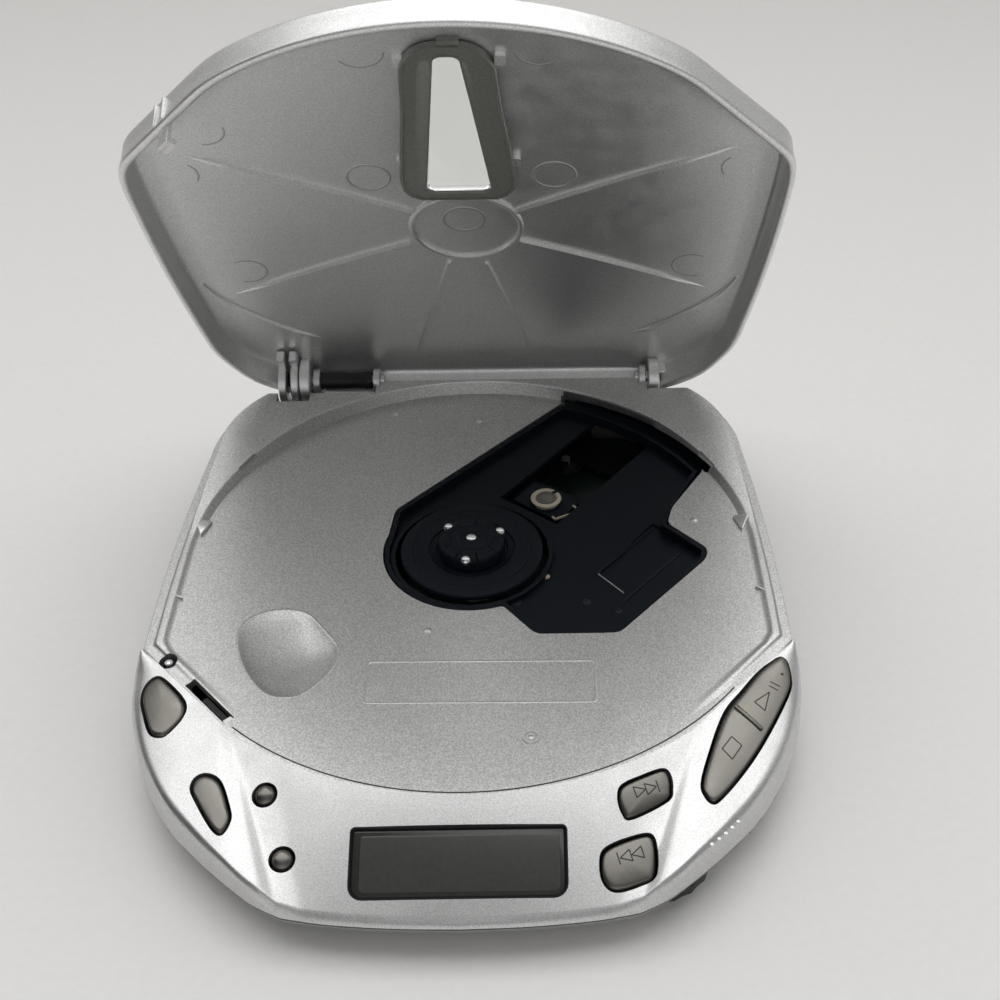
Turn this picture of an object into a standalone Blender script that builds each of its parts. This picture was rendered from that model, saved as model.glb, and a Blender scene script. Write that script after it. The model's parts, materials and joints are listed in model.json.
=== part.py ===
"""Portable CD player, lid open at its stop, one object for each piece.

X runs to the right, Y to the back and Z up, in metres. The plan is drawn round the spindle,
and the empty "player" moves it so that the origin lies under the middle of the open player.
The lid is drawn closed and turned open on its hinge axis.
"""
import math

import bmesh
import bpy
from mathutils import Matrix, Vector

MM = 0.001

# Clearances and overruns
GAP = 0.3 * MM
OVERRUN = 1.0 * MM
WELD = 0.01 * MM
PLAN_SHIFT_Y = 10.2 * MM

# Disc and the bay round it, which set the plan
DISC_RADIUS = 60.0 * MM
DISC_MARGIN = 1.1 * MM
LEDGE_WIDTH = 5.7 * MM
SIDE_MARGIN = 6.2 * MM
FRONT_MARGIN = 10.9 * MM
BACK_MARGIN = 8.4 * MM
BAY_RADIUS = DISC_RADIUS + DISC_MARGIN
LEDGE_RADIUS = BAY_RADIUS + LEDGE_WIDTH
BODY_HALF_WIDTH = BAY_RADIUS + SIDE_MARGIN

# Plan of the lid and of the deck under it
FRONT_RADIUS = BAY_RADIUS + FRONT_MARGIN
FRONT_CENTRE_Y = 3.5 * MM
CORNER_SHARE = 0.6056
CORNER_X = CORNER_SHARE * FRONT_RADIUS
SIDE_Y = -29.5 * MM
LID_SIDE_STEP = 1.0 * MM
SIDE_X = BODY_HALF_WIDTH - LID_SIDE_STEP
SIDE_PEAK_Y = -15.0 * MM
SIDE_RADIUS = 560.0 * MM
BACK_Y = BAY_RADIUS + BACK_MARGIN
BACK_CORNER_RADIUS = 33.0 * MM
ARC_COUNT = 6
CHAMFER_COUNT = 2
SIDE_COUNT = 4
CORNER_COUNT = 7
BACK_COUNT = 1

# Front edge of the body, as shares of its half width and of its reach
FRONT_DEPTH = 21.4 * MM
BODY_REACH = FRONT_RADIUS - FRONT_CENTRE_Y + FRONT_DEPTH
WING_EDGE_SHARES = (
    (0.991, 0.334), (1.0, 0.400), (0.986, 0.490), (0.939, 0.595), (0.882, 0.680),
    (0.812, 0.757), (0.722, 0.828), (0.628, 0.892), (0.545, 0.940), (0.470, 0.969),
)
FRONT_EDGE_SHARES = ((0.470, 0.969), (0.350, 0.985), (0.180, 0.996), (0.0, 1.0))

# Lower case
FOOT_HEIGHT = 1.0 * MM
CASE_WALL = 1.6 * MM
CASE_FLOOR = 1.6 * MM
WAIST_SIDE_Z = 9.0 * MM
WAIST_FRONT_Z = 7.0 * MM
WAIST_FRONT_Y = -46.0 * MM
CASE_LIP = 1.5 * MM
CASE_LIP_INSET = 0.6 * MM
CASE_BELLY_Z = 3.0 * MM
CASE_BELLY_INSET = 3.2 * MM
CASE_BOTTOM_INSET = 6.5 * MM

# Deck with the disc bay
FLOOR_Z = 17.0 * MM
FLOOR_THICK = 1.6 * MM
DECK_WALL = 1.8 * MM
SEAT_WIDTH = 2.0 * MM
SEAT_STEP = 0.4 * MM
SEAT_BACK_DROP = 0.7 * MM
SEAT_DROP_Y = 49.0 * MM
SEAT_DROP_RUN = 10.0 * MM
BAY_EDGE_MIN = 4.6 * MM
BACK_WALL_HEIGHT = 3.3 * MM
RAIL_SLOPE_SIDE = 1.5 * MM
RAIL_SLOPE_BACK = 0.7 * MM
RAIL_HEIGHT_SHARES = ((-0.80, 0.0), (-0.62, 0.10), (-0.45, 0.21), (0.10, 0.24), (0.70, 1.0), (1.0, 1.0))
BACK_BLOCK_Z = 11.6 * MM
BACK_BLOCK_DEPTH = 8.6 * MM
BACK_BLOCK_RUN = 1.6 * MM

# Control panel
PANEL_THICK = 1.6 * MM
PANEL_SEAM_Z = 17.7 * MM
PANEL_EDGE_FALL = 1.5 * MM
PANEL_RIM_WIDTH = 1.5 * MM
PANEL_SIDE_BAND = 2.9 * MM
PANEL_FRONT_BAND = 1.3 * MM
PANEL_TIP_BAND = 0.3 * MM
PANEL_TIP_SHARE = 0.03
PANEL_TIP_RIM_SHARE = 0.35
WING_COUNT = 11
FRONT_COUNT = 7
WING_HEIGHT_SHARES = ((0.0, 1.0), (0.2, 0.88), (0.5, 0.74), (0.8, 0.58), (0.93, 0.44), (1.0, 0.26))
FRONT_HEIGHT_SHARES = ((0.0, 0.26), (0.18, 0.17), (1.0, 0.13))
PANEL_HEIGHT = 10.6 * MM
PANEL_ROW_SHARES = (0.0, 0.5, 1.0)

# Hinge of the lid
LID_BACK_RADIUS = 6.0 * MM
HINGE_Y = BACK_Y - LID_BACK_RADIUS
HINGE_Z = 20.0 * MM
OPEN_ANGLE = math.radians(61.0)
BACK_LIFT = 1.1 * MM
BACK_LIFT_Y = 52.0 * MM
TROUGH_RADIUS = 6.35 * MM
TROUGH_FRONT_Y = 62.6 * MM
TROUGH_LIP_Z = 15.6 * MM
TROUGH_HALF = 54.5 * MM
KNUCKLE_RADIUS = 5.4 * MM
KNUCKLE_POCKET = 6.1 * MM
CORNER_POCKET = 5.9 * MM
NECK_DEPTH_SHARE = 1.4
NECK_PLACE_SHARE = 0.2
PIN_RADIUS = 1.4 * MM
KNUCKLES = (("left_knuckle", -43.9 * MM, 3.0 * MM), ("right_knuckle", 44.5 * MM, 2.8 * MM))
POST_WIDTH = 1.8 * MM
POSTS_X = (-41.0 * MM, -25.8 * MM, 41.7 * MM)
POST_CLEAR = 0.4 * MM
POST_NOTCH_TOP = 2.4 * MM
SPRING_RADIUS = 2.15 * MM
SPRING_WIRE = 0.4 * MM
SPRING_TURNS = 6
SPRING_STEPS = 6
SPRING_ARM = 1.2 * MM
PIN_TAIL = 1.0 * MM

# Lid
RIM_Z = FLOOR_Z + 0.4 * MM
LID_WALL = 1.8 * MM
LID_FRONT_EDGE_Z = 23.8 * MM
LID_BACK_EDGE_Z = 25.6 * MM
LID_CROWN = 3.2 * MM
LID_EDGE_ROUND = 1.3 * MM
LID_DRAFT = 0.3 * MM
LID_SKIN = 1.6 * MM
DOME_SHARES = (0.97, 0.84, 0.58, 0.26)
DOME_POWER = 2.2
CLAMP_RING_RADIUS = 12.3 * MM
CLAMP_RING_WALL = 1.0 * MM
CLAMP_RING_Z = 22.6 * MM
RING_SIDES = 22
RIB_THICK = 1.0 * MM
RIB_DROP = 1.3 * MM
RIB_END_SHARES = ((-0.89, -0.42), (0.90, -0.43), (-0.85, 0.45), (0.85, 0.45), (-0.24, 0.80), (0.23, 0.82))
SPOKE_REACH = 61.0 * MM

# Window of the lid
WINDOW_FRONT_INSET = 14.0 * MM
WINDOW_FRONT_Y = WINDOW_FRONT_INSET - FRONT_RADIUS
WINDOW_BACK_Y = -8.6 * MM
WINDOW_HALF_SHARES = ((0.0, 0.25), (0.03, 0.5), (0.09, 0.68), (0.2, 0.74), (0.55, 0.87), (0.78, 1.0),
                      (0.92, 0.93), (0.98, 0.7), (1.0, 0.45))
WINDOW_HALF = 11.3 * MM
WINDOW_THICK = 1.2 * MM
WINDOW_SET = 0.45 * MM
PANE_FRONT_MARGIN = 5.7 * MM
PANE_FRONT_Y = WINDOW_FRONT_Y + PANE_FRONT_MARGIN
PANE_BACK_Y = -12.2 * MM
PANE_FRONT_HALF = 2.2 * MM
PANE_BACK_HALF = 6.7 * MM
PANE_STEPS = 5

# Latch and lid switch on the left chamfer
LATCH_SHARE = 0.66
LATCH_SLOT_LENGTH = 14.0 * MM
LATCH_SLOT_WIDTH = 2.6 * MM
LATCH_SLOT_INSET = 2.6 * MM
LATCH_THICK = 1.2 * MM
LATCH_LENGTH = 7.5 * MM
LATCH_HEIGHT = 5.0 * MM
LATCH_TOP_DROP = 0.9 * MM
LATCH_TRAVEL = 1.2 * MM
HOOK_DROP = 3.4 * MM
HOOK_WIDTH = 3.6 * MM
HOOK_THICK = 1.0 * MM
HOOK_PLACE_SHARE = 0.30
SWITCH_INSET = 7.1 * MM
SWITCH_X = SWITCH_INSET - BODY_HALF_WIDTH
SWITCH_Y = -33.4 * MM
SWITCH_HOLE = 1.9 * MM
SWITCH_BODY_TOP = 16.0 * MM
SWITCH_PLUNGER = 0.9 * MM
SWITCH_RISE = 0.9 * MM
SWITCH_LENGTH = 6.0 * MM
SWITCH_SLEEVE = 1.55 * MM

# Mechanism opening, as shares of the bay's radius
OPENING_FRONT_SHARES = ((0.226, -0.439), (0.509, -0.439), (0.840, -0.067), (0.851, -0.011), (0.718, 0.134),
                        (0.741, 0.224), (0.889, 0.458))
OPENING_BACK_START = math.radians(27.3)
OPENING_BACK_END = math.radians(69.2)
OPENING_LEFT_SHARE = (-0.293, 0.234)
HUB_WELL_RADIUS = 19.6 * MM
HUB_WELL_START = math.radians(163.0)
HUB_WELL_END = math.radians(291.0)
OPENING_CLEAR = 0.2 * MM

# Mechanism
SLED_ANGLE = math.radians(52.0)
COVER_LAP = 1.0 * MM
COVER_BACK_INSET = 2.6 * MM
COVER_TOP = 14.9 * MM
COVER_THICK = 1.2 * MM
COVER_RIM_WIDTH = 1.0 * MM
COVER_RIM_TOP = 16.9 * MM
COLLAR_WIDTH = 0.9 * MM
COLLAR_TOP = 16.2 * MM
TURNTABLE_WELL = 17.0 * MM
SLOT_HALF = 8.2 * MM
SLOT_START = 20.2 * MM
RECESS_ALONG = 22.4 * MM
RECESS_ACROSS = -29.6 * MM
RECESS_LENGTH = 22.0 * MM
RECESS_WIDTH = 8.0 * MM
RECESS_DEPTH = 0.5 * MM
CHASSIS_Z = 5.0 * MM
CHASSIS_THICK = 1.2 * MM
CHASSIS_INSET = 2.0 * MM
CHASSIS_BACK_RADIUS = 64.0 * MM
CHASSIS_WINDOW_HALF = 10.6 * MM
CHASSIS_WINDOW_START = 24.0 * MM
CHASSIS_WINDOW_END = 52.0 * MM
POST_RADIUS = 1.6 * MM
COVER_POST_SHARES = ((0.30, -0.36), (0.72, -0.05), (-0.10, 0.30))
ROD_ACROSS = 13.6 * MM
ROD_RADIUS = 1.2 * MM
ROD_Z = 9.6 * MM
ROD_START = 18.6 * MM
ROD_END = 58.4 * MM
ROD_BLOCK = 2.4 * MM
ROD_BLOCK_WIDTH = 5.0 * MM
SPINDLE_MOTOR_RADIUS = 10.5 * MM
SPINDLE_MOTOR_TOP = 12.2 * MM
SHAFT_RADIUS = 1.0 * MM
TURNTABLE_RADIUS = 15.7 * MM
TURNTABLE_Z = 15.9 * MM
TURNTABLE_TOP = 17.4 * MM
TURNTABLE_LIP = 1.2 * MM
HUB_RADIUS = 7.3 * MM
HUB_TOP = 20.4 * MM
HUB_CROWN = 0.9 * MM
HUB_SLOTS = 6
HUB_SLOT_WIDTH = 0.7 * MM
HUB_SLOT_DEPTH = 1.1 * MM
HUB_SLOT_START = 2.6 * MM
SHAFT_TIP = 0.5 * MM
BALL_RADIUS = 1.0 * MM
BALL_ORBIT = 6.6 * MM
BALL_Z = 19.2 * MM
BALL_ANGLES = (30.0, 150.0, 270.0)
LENS_ALONG = 27.0 * MM
SLED_LENGTH = 14.0 * MM
SLED_Z = 7.4 * MM
SLED_TOP = 11.6 * MM
SLED_SIDE = 3.4 * MM
SLED_TOWER_LENGTH = 8.4 * MM
SLED_TOWER_WIDTH = 13.0 * MM
SLED_TOWER_TOP = 13.4 * MM
LENS_HOLDER_RADIUS = 3.1 * MM
LENS_HOLDER_TOP = 14.6 * MM
LENS_RADIUS = 2.0 * MM
LENS_TOP = 15.2 * MM
LENS_SINK = 1.0 * MM
SCREW_ACROSS = -21.2 * MM
SCREW_RADIUS = 1.3 * MM
SCREW_PITCH = 4.0 * MM
SCREW_STEPS = 3
SCREW_SIDES = 6
SCREW_GROOVE = 0.35 * MM
SCREW_Z = 10.0 * MM
SCREW_START = 22.6 * MM
SCREW_END = 56.0 * MM
NUT_LENGTH = 4.0 * MM
NUT_WIDTH = 6.6 * MM
FEED_MOTOR_RADIUS = 3.2 * MM
FEED_MOTOR_LENGTH = 12.0 * MM
DAMPER_RADIUS = 3.0 * MM
DAMPER_HOLE = 1.1 * MM
DAMPER_SIDES = 8
DAMPER_SHARES = ((0.28, -0.30), (0.66, 0.05), (0.36, 0.78))

# Boards
BOARD_Z = 3.0 * MM
BOARD_THICK = 1.0 * MM
BOARD_INSET = 10.0 * MM
BOARD_HOLE = 4.0 * MM

# Keys, drawn as the outlines of their holes in plan, placed by shares of the body
KEY_GAP = 0.55 * MM
KEY_DEPTH = 3.4 * MM
KEY_PROUD = 0.35 * MM
KEY_CROWN = 0.35 * MM
KEY_ROUND = 0.55 * MM
KEY_ROUND_SHARE = 0.1
KEY_CROWN_SHARE = 0.5
KEY_CUT = 5.0 * MM
OPEN_KEY_PLACE_SHARES = (-0.8752, -0.5050)
OPEN_KEY_SPAN = (10.2 * MM, 15.2 * MM)
OPEN_KEY_SHARES = ((-0.21, 0.50), (0.18, 0.27), (0.47, 0.0), (0.45, -0.23), (0.22, -0.46), (0.03, -0.49),
                   (-0.17, -0.40), (-0.36, -0.12), (-0.49, 0.15), (-0.45, 0.38))
BUFFER_KEY_PLACE_SHARES = (-0.6835, -0.7553)
BUFFER_KEY_SPAN = (8.8 * MM, 13.0 * MM)
BUFFER_KEY_SHARES = ((-0.17, 0.50), (0.16, 0.36), (0.42, -0.03), (0.50, -0.26), (0.36, -0.49), (0.10, -0.40),
                     (-0.37, 0.08), (-0.50, 0.28), (-0.42, 0.45))
PLAY_KEY_PLACE_SHARES = (0.8024, -0.5818)
PLAY_KEY_SPAN = (20.6 * MM, 34.8 * MM)
PLAY_KEY_SHARES = ((0.42, 0.495), (0.475, 0.48), (0.503, 0.43), (0.495, 0.29), (0.345, 0.10), (0.10, -0.15),
                   (-0.13, -0.34), (-0.33, -0.475), (-0.41, -0.495), (-0.47, -0.46), (-0.497, -0.38),
                   (-0.41, -0.21), (-0.22, 0.07), (-0.01, 0.24), (0.18, 0.38), (0.33, 0.46))
SKIP_FORWARD_PLACE_SHARES = (0.4993, -0.7453)
SKIP_SPAN = (10.5 * MM, 9.8 * MM)
SKIP_FORWARD_SHARES = ((0.32, 0.49), (0.46, 0.40), (0.49, 0.13), (0.38, -0.14), (-0.28, -0.52), (-0.45, -0.41),
                       (-0.51, -0.13), (-0.43, 0.11), (-0.05, 0.33))
SKIP_BACK_PLACE_SHARES = (0.4443, -0.8832)
SKIP_BACK_SHARES = ((0.38, 0.53), (0.50, 0.28), (0.45, -0.25), (0.18, -0.42), (-0.25, -0.52), (-0.46, -0.36),
                    (-0.51, -0.05), (-0.43, 0.23), (-0.05, 0.43))
MODE_KEY_PLACE_SHARES = (-0.5379, -0.7364)
REPEAT_KEY_PLACE_SHARES = (-0.4740, -0.8676)
ROUND_KEY_HOLE = 2.45 * MM
ROUND_KEY_STEPS = 14
KEY_SMOOTH = 2
PLAY_SPINE_SHARES = ((0.41, 0.42), (0.24, 0.20), (0.0, -0.06), (-0.24, -0.27), (-0.41, -0.43))
PLAY_RIDGE_LENGTH = 7.0 * MM
PLAY_RIDGE_WIDTH = 1.0 * MM
PLAY_RIDGE_HEIGHT = 0.9 * MM
PLAY_RIDGE_ANGLE = math.radians(-48.0)

# Display
DISPLAY_PLACE_SHARES = (-0.0059, -0.8854)
DISPLAY_WIDTH = 38.8 * MM
DISPLAY_HEIGHT = 12.6 * MM
WINDOW_PANE_THICK = 1.2 * MM
WINDOW_PANE_SINK = 0.35 * MM
MODULE_THICK = 2.0 * MM
MODULE_MARGIN = 0.8 * MM

# Battery bay under the left side
CELL_BAY_CENTRE = (-38.5 * MM, 15.0 * MM)
CELL_BAY_SIZE = (30.4 * MM, 55.0 * MM)
CELL_BAY_TOP = 14.6 * MM
CELL_BAY_WALL = 1.2 * MM
DOOR_THICK = 1.3 * MM
DOOR_SEAT = 1.2 * MM
DOOR_LIP = 0.3 * MM
DOOR_BARREL = 0.9 * MM
DOOR_BARREL_LENGTH = 12.0 * MM
DOOR_STUB = 0.5 * MM
DOOR_STUB_LENGTH = 1.4 * MM
CONTACT_SIZE = 9.0 * MM
CONTACT_THICK = 0.4 * MM
CONTACT_Z = 8.2 * MM
CELL_PITCH = 14.9 * MM
CELL_SPRING_RADIUS = 3.2 * MM
CELL_SPRING_LENGTH = 4.6 * MM
CELL_SPRING_WIRE = 0.35 * MM
CELL_SPRING_TURNS = 2
CELL_SPRING_STEPS = 6

# Volume wheel and slide switch on the front right
WHEEL_PLACE_SHARE = 0.78
WHEEL_RADIUS = 12.0 * MM
WHEEL_PROUD = 1.3 * MM
WHEEL_Z = 3.5 * MM
WHEEL_THICK = 2.2 * MM
WHEEL_SLOT = 0.5 * MM
WHEEL_RIDGES = 20
WHEEL_RIDGE = 0.3 * MM
WHEEL_AXLE = 1.5 * MM
WHEEL_AXLE_TOP = 7.6 * MM
SLIDER_PLACE_SHARE = 0.545
SLIDER_LENGTH = 3.0 * MM
SLIDER_HEIGHT = 1.6 * MM
SLIDER_Z = 4.9 * MM
SLIDER_PROUD = 0.7 * MM
SLIDER_DEPTH = 4.6 * MM
SLIDER_TRAVEL = 2.0 * MM

# Sockets
SOCKET_Z = 12.4 * MM
SOCKET_RADIUS = 3.1 * MM
SOCKET_BORE = 1.8 * MM
SOCKET_LENGTH = 11.0 * MM
PHONES_Y = -14.0 * MM
LINE_Y = 2.0 * MM
DC_Y = 16.0 * MM
DC_BORE = 2.0 * MM
DC_PIN = 0.6 * MM

# Finger dish in the bay floor
DISH_CENTRE = (-35.8 * MM, -31.2 * MM)
DISH_REACH = 13.0 * MM
DISH_SHARES = ((0.71, -0.06), (0.50, 0.40), (0.22, 0.86), (-0.10, 0.95), (-0.40, 0.80), (-0.70, 0.66),
               (-0.83, 0.36), (-0.50, -0.25), (-0.13, -0.88), (0.10, -0.97), (0.42, -0.70), (0.70, -0.40))
DISH_DEPTH = 2.3 * MM
DISH_WALL = 1.3 * MM
DISH_STEPS = 2
DISH_PROFILE_SHARES = ((1.0, 0.0), (0.86, 0.45), (0.66, 0.80), (0.38, 0.97), (0.14, 1.0))

# Guide slots of the back wall
GUIDE_SLOT_SIZE = (1.0 * MM, 6.0 * MM, 2.0 * MM)
GUIDE_SLOT_ANGLES = (28.0, 150.5)
GUIDE_SLOT_Z = 19.6 * MM

# Feet and screws
FOOT_RADIUS = 4.5 * MM
FOOT_SINK = 0.4 * MM
FOOT_SHARES = ((-0.66, -0.40), (0.66, -0.40), (-0.42, 0.80), (0.42, 0.80))
SCREW_HEAD_RADIUS = 1.6 * MM
SCREW_HEAD_HEIGHT = 1.0 * MM
SCREW_SHARES = ((-0.40, -0.78), (0.40, -0.78), (0.72, 0.10), (-0.10, 0.80))
SCREW_SINK = 1.2 * MM


# Helpers for numbers

def lerp(start, end, share):
    return start + (end - start) * share


def smooth_step(share):
    share = min(1.0, max(0.0, share))
    return share * share * (3.0 - 2.0 * share)


def read_shares(shares, place):
    """Value at a place, read off a short table of (place, value) shares."""
    for (x0, y0), (x1, y1) in zip(shares, shares[1:]):
        if place <= x1:
            return lerp(y0, y1, max(0.0, (place - x0) / (x1 - x0)))
    return shares[-1][1]


def arc(centre, radius, start, end, count):
    """Points on an arc, both ends included."""
    points = []
    for i in range(count + 1):
        angle = lerp(start, end, i / count)
        points.append((centre[0] + radius * math.cos(angle), centre[1] + radius * math.sin(angle)))
    return points


def line(start, end, count):
    """Points on a straight line, the end left out."""
    return [(lerp(start[0], end[0], i / count), lerp(start[1], end[1], i / count)) for i in range(count)]


def curve_through(points, share):
    """Point on a smooth open curve through the given points."""
    spans = len(points) - 1
    place = min(share * spans, spans - 1e-9)
    i = int(place)
    t = place - i
    p1, p2 = points[i], points[i + 1]
    p0 = points[i - 1] if i else (2 * p1[0] - p2[0], 2 * p1[1] - p2[1])
    p3 = points[i + 2] if i + 2 < len(points) else (2 * p2[0] - p1[0], 2 * p2[1] - p1[1])
    result = []
    for a, b, c, d in zip(p0, p1, p2, p3):
        result.append(b + 0.5 * t * (c - a + t * (2 * a - 5 * b + 4 * c - d + t * (3 * (b - c) + d - a))))
    return tuple(result)


def closed_curve(points, steps):
    """Smooth closed outline through the given points, with steps between each pair."""
    count = len(points)
    result = []
    for i in range(count):
        four = [points[(i + k) % count] for k in (-1, 0, 1, 2)]
        for k in range(steps):
            result.append(curve_through(four, (1 + k / steps) / 3))
    return result


def inset(points, distance):
    """Closed counter-clockwise outline moved inwards by a distance."""
    count = len(points)
    result = []
    for i, (x, y) in enumerate(points):
        ax, ay = points[i - 1]
        bx, by = points[(i + 1) % count]
        n1 = Vector((ay - y, x - ax)).normalized()
        n2 = Vector((y - by, bx - x)).normalized()
        move = (n1 + n2) / (1.0 + n1.dot(n2)) * distance
        result.append((x + move.x, y + move.y))
    return result


def at_height(points, z):
    return [(x, y, z) for x, y in points]


# Helpers for objects

def link(obj, collection, parent):
    collection.objects.link(obj)
    obj.parent = parent
    return obj


def mesh_object(name, mesh, parent, smooth_angle=math.radians(35.0)):
    obj = link(bpy.data.objects.new(name, mesh), PARTS, parent)
    mesh.shade_smooth()
    mesh.set_sharp_from_angle(angle=smooth_angle)
    return obj


def mesh_from(bm, name):
    bmesh.ops.recalc_face_normals(bm, faces=bm.faces)
    mesh = bpy.data.meshes.new(name)
    bm.to_mesh(mesh)
    bm.free()
    return mesh


def loft(name, rings, parent):
    """Closed solid through rings of equal counts, with its first and last ring capped."""
    bm = bmesh.new()
    rows = [[bm.verts.new(point) for point in ring] for ring in rings]
    count = len(rows[0])
    for low, high in zip(rows, rows[1:]):
        for i in range(count):
            k = (i + 1) % count
            bm.faces.new((low[i], low[k], high[k], high[i]))
    bm.faces.new(rows[0])
    bm.faces.new(rows[-1])
    return mesh_object(name, mesh_from(bm, name), parent)


def prism(name, points, low, high, parent):
    """Flat outline given thickness between two heights."""
    data = bpy.data.curves.new(name, "CURVE")
    data.dimensions = "2D"
    data.fill_mode = "BOTH"
    data.extrude = (high - low) / 2
    spline = data.splines.new("POLY")
    spline.points.add(len(points) - 1)
    for point, (x, y) in zip(spline.points, points):
        point.co = (x, y, 0.0, 1.0)
    spline.use_cyclic_u = True
    return curve_to_mesh(name, data, Matrix.Translation((0.0, 0.0, (low + high) / 2)), parent)


def tube(name, points, radius, parent, sides=1):
    """Round wire along a line of points."""
    data = bpy.data.curves.new(name, "CURVE")
    data.dimensions = "3D"
    data.bevel_depth = radius
    data.bevel_resolution = sides
    data.use_fill_caps = True
    spline = data.splines.new("POLY")
    spline.points.add(len(points) - 1)
    for point, co in zip(spline.points, points):
        point.co = (*co, 1.0)
    return curve_to_mesh(name, data, Matrix.Identity(4), parent)


def curve_to_mesh(name, data, matrix, parent):
    guide = bpy.data.objects.new(name + "_guide", data)
    bpy.context.scene.collection.objects.link(guide)
    bpy.context.view_layer.update()
    seen = guide.evaluated_get(bpy.context.evaluated_depsgraph_get())
    mesh = bpy.data.meshes.new_from_object(seen)
    bpy.data.objects.remove(guide)
    bpy.data.curves.remove(data)
    mesh.transform(matrix)
    bm = bmesh.new()
    bm.from_mesh(mesh)
    bpy.data.meshes.remove(mesh)
    bmesh.ops.remove_doubles(bm, verts=bm.verts, dist=WELD)
    return mesh_object(name, mesh_from(bm, name), parent)


def cylinder(name, radius, low, high, parent, centre=(0.0, 0.0), sides=20, axis="Z"):
    """Round bar from low to high along an axis; centre is its place across that axis."""
    bm = bmesh.new()
    bmesh.ops.create_cone(bm, cap_ends=True, segments=sides, radius1=radius, radius2=radius, depth=high - low)
    middle = (low + high) / 2
    if axis == "X":
        turn = Matrix.Rotation(math.pi / 2, 4, "Y")
        move = Matrix.Translation((middle, centre[0], centre[1]))
    elif axis == "Y":
        turn = Matrix.Rotation(math.pi / 2, 4, "X")
        move = Matrix.Translation((centre[0], middle, centre[1]))
    else:
        turn = Matrix.Identity(4)
        move = Matrix.Translation((centre[0], centre[1], middle))
    bmesh.ops.transform(bm, matrix=move @ turn, verts=bm.verts)
    return mesh_object(name, mesh_from(bm, name), parent)


def box(name, centre, size, parent, turn=0.0):
    bm = bmesh.new()
    bmesh.ops.create_cube(bm, size=1.0)
    matrix = Matrix.Translation(centre) @ Matrix.Rotation(turn, 4, "Z") @ Matrix.Diagonal((*size, 1.0))
    bmesh.ops.transform(bm, matrix=matrix, verts=bm.verts)
    return mesh_object(name, mesh_from(bm, name), parent)


def turned(name, profile, parent, sides=40):
    """Solid of revolution about Z from a profile of (radius, height), bottom to top."""
    rings = []
    for radius, z in profile:
        rings.append([(x, y, z) for x, y in arc((0.0, 0.0), radius, 0.0, 2 * math.pi, sides)[:-1]])
    return loft(name, rings, parent)


def combine(target, tool, operation):
    """Boolean of a target with a tool, which then only guides."""
    modifier = target.modifiers.new(tool.name, "BOOLEAN")
    modifier.operation = operation
    modifier.solver = "EXACT"
    modifier.object = tool
    for collection in list(tool.users_collection):
        collection.objects.unlink(tool)
    CUTTERS.objects.link(tool)
    tool.hide_render = True
    tool.display_type = "WIRE"
    return target


def cut(target, *tools):
    for tool in tools:
        combine(target, tool, "DIFFERENCE")
    return target


def join(target, *tools):
    for tool in tools:
        combine(target, tool, "UNION")
    return target


def paint(obj, colour, roughness, metallic=0.0, alpha=1.0):
    material = bpy.data.materials.new(obj.name)
    material.use_nodes = True
    shader = material.node_tree.nodes["Principled BSDF"]
    shader.inputs["Base Color"].default_value = (*colour, 1.0)
    shader.inputs["Roughness"].default_value = roughness
    shader.inputs["Metallic"].default_value = metallic
    shader.inputs["Alpha"].default_value = alpha
    obj.data.materials.clear()
    obj.data.materials.append(material)
    return obj


SILVER = (0.56, 0.56, 0.55)
SILVER_DARK = (0.40, 0.40, 0.40)
CHAMPAGNE = (0.33, 0.32, 0.29)
NAVY = (0.012, 0.014, 0.022)
BLACK = (0.015, 0.015, 0.016)
STEEL = (0.55, 0.55, 0.56)
BOARD_GREEN = (0.02, 0.10, 0.05)
SMOKE = (0.07, 0.07, 0.06)
CREAM = (0.62, 0.56, 0.42)


def silver(obj, shade=SILVER):
    return paint(obj, shade, 0.42, 0.6)


def black(obj):
    return paint(obj, BLACK, 0.5)


def steel(obj):
    return paint(obj, STEEL, 0.3, 1.0)


# Plan outlines

def side_x(y):
    return SIDE_X - (y - SIDE_PEAK_Y) ** 2 / (2 * SIDE_RADIUS)


def front_corner_y():
    return FRONT_CENTRE_Y - math.sqrt(FRONT_RADIUS ** 2 - CORNER_X ** 2)


def side_and_back():
    """Right side and back of the plan, from the panel's end to the middle of the back."""
    corner_y = BACK_Y - BACK_CORNER_RADIUS
    points = []
    for i in range(SIDE_COUNT):
        y = lerp(SIDE_Y, corner_y, i / SIDE_COUNT)
        points.append((side_x(y), y))
    centre = (side_x(corner_y) - BACK_CORNER_RADIUS, corner_y)
    corner = arc(centre, BACK_CORNER_RADIUS, 0.0, math.pi / 2, CORNER_COUNT)
    return points + corner[:-1] + line(corner[-1], (0.0, BACK_Y), BACK_COUNT) + [(0.0, BACK_Y)]


def mirrored(half):
    """Full counter-clockwise outline from its right half, front middle to back middle."""
    return half + [(-x, y) for x, y in reversed(half[1:-1])]


def lid_plan():
    sweep = math.asin(CORNER_X / FRONT_RADIUS)
    start = -math.pi / 2
    front = arc((0.0, FRONT_CENTRE_Y), FRONT_RADIUS, start, start + sweep, ARC_COUNT)
    chamfer = line(front[-1], (side_x(SIDE_Y), SIDE_Y), CHAMFER_COUNT)
    return mirrored(front[:-1] + chamfer + side_and_back())


def seam_point(wing, share):
    """Point on the seam between panel and deck; wings run from the panel's end inwards."""
    corner_y = front_corner_y()
    if wing:
        return (lerp(side_x(SIDE_Y), CORNER_X, share), lerp(SIDE_Y, corner_y, share))
    x = CORNER_X * (1.0 - share)
    return (x, FRONT_CENTRE_Y - math.sqrt(FRONT_RADIUS ** 2 - x ** 2))


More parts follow.
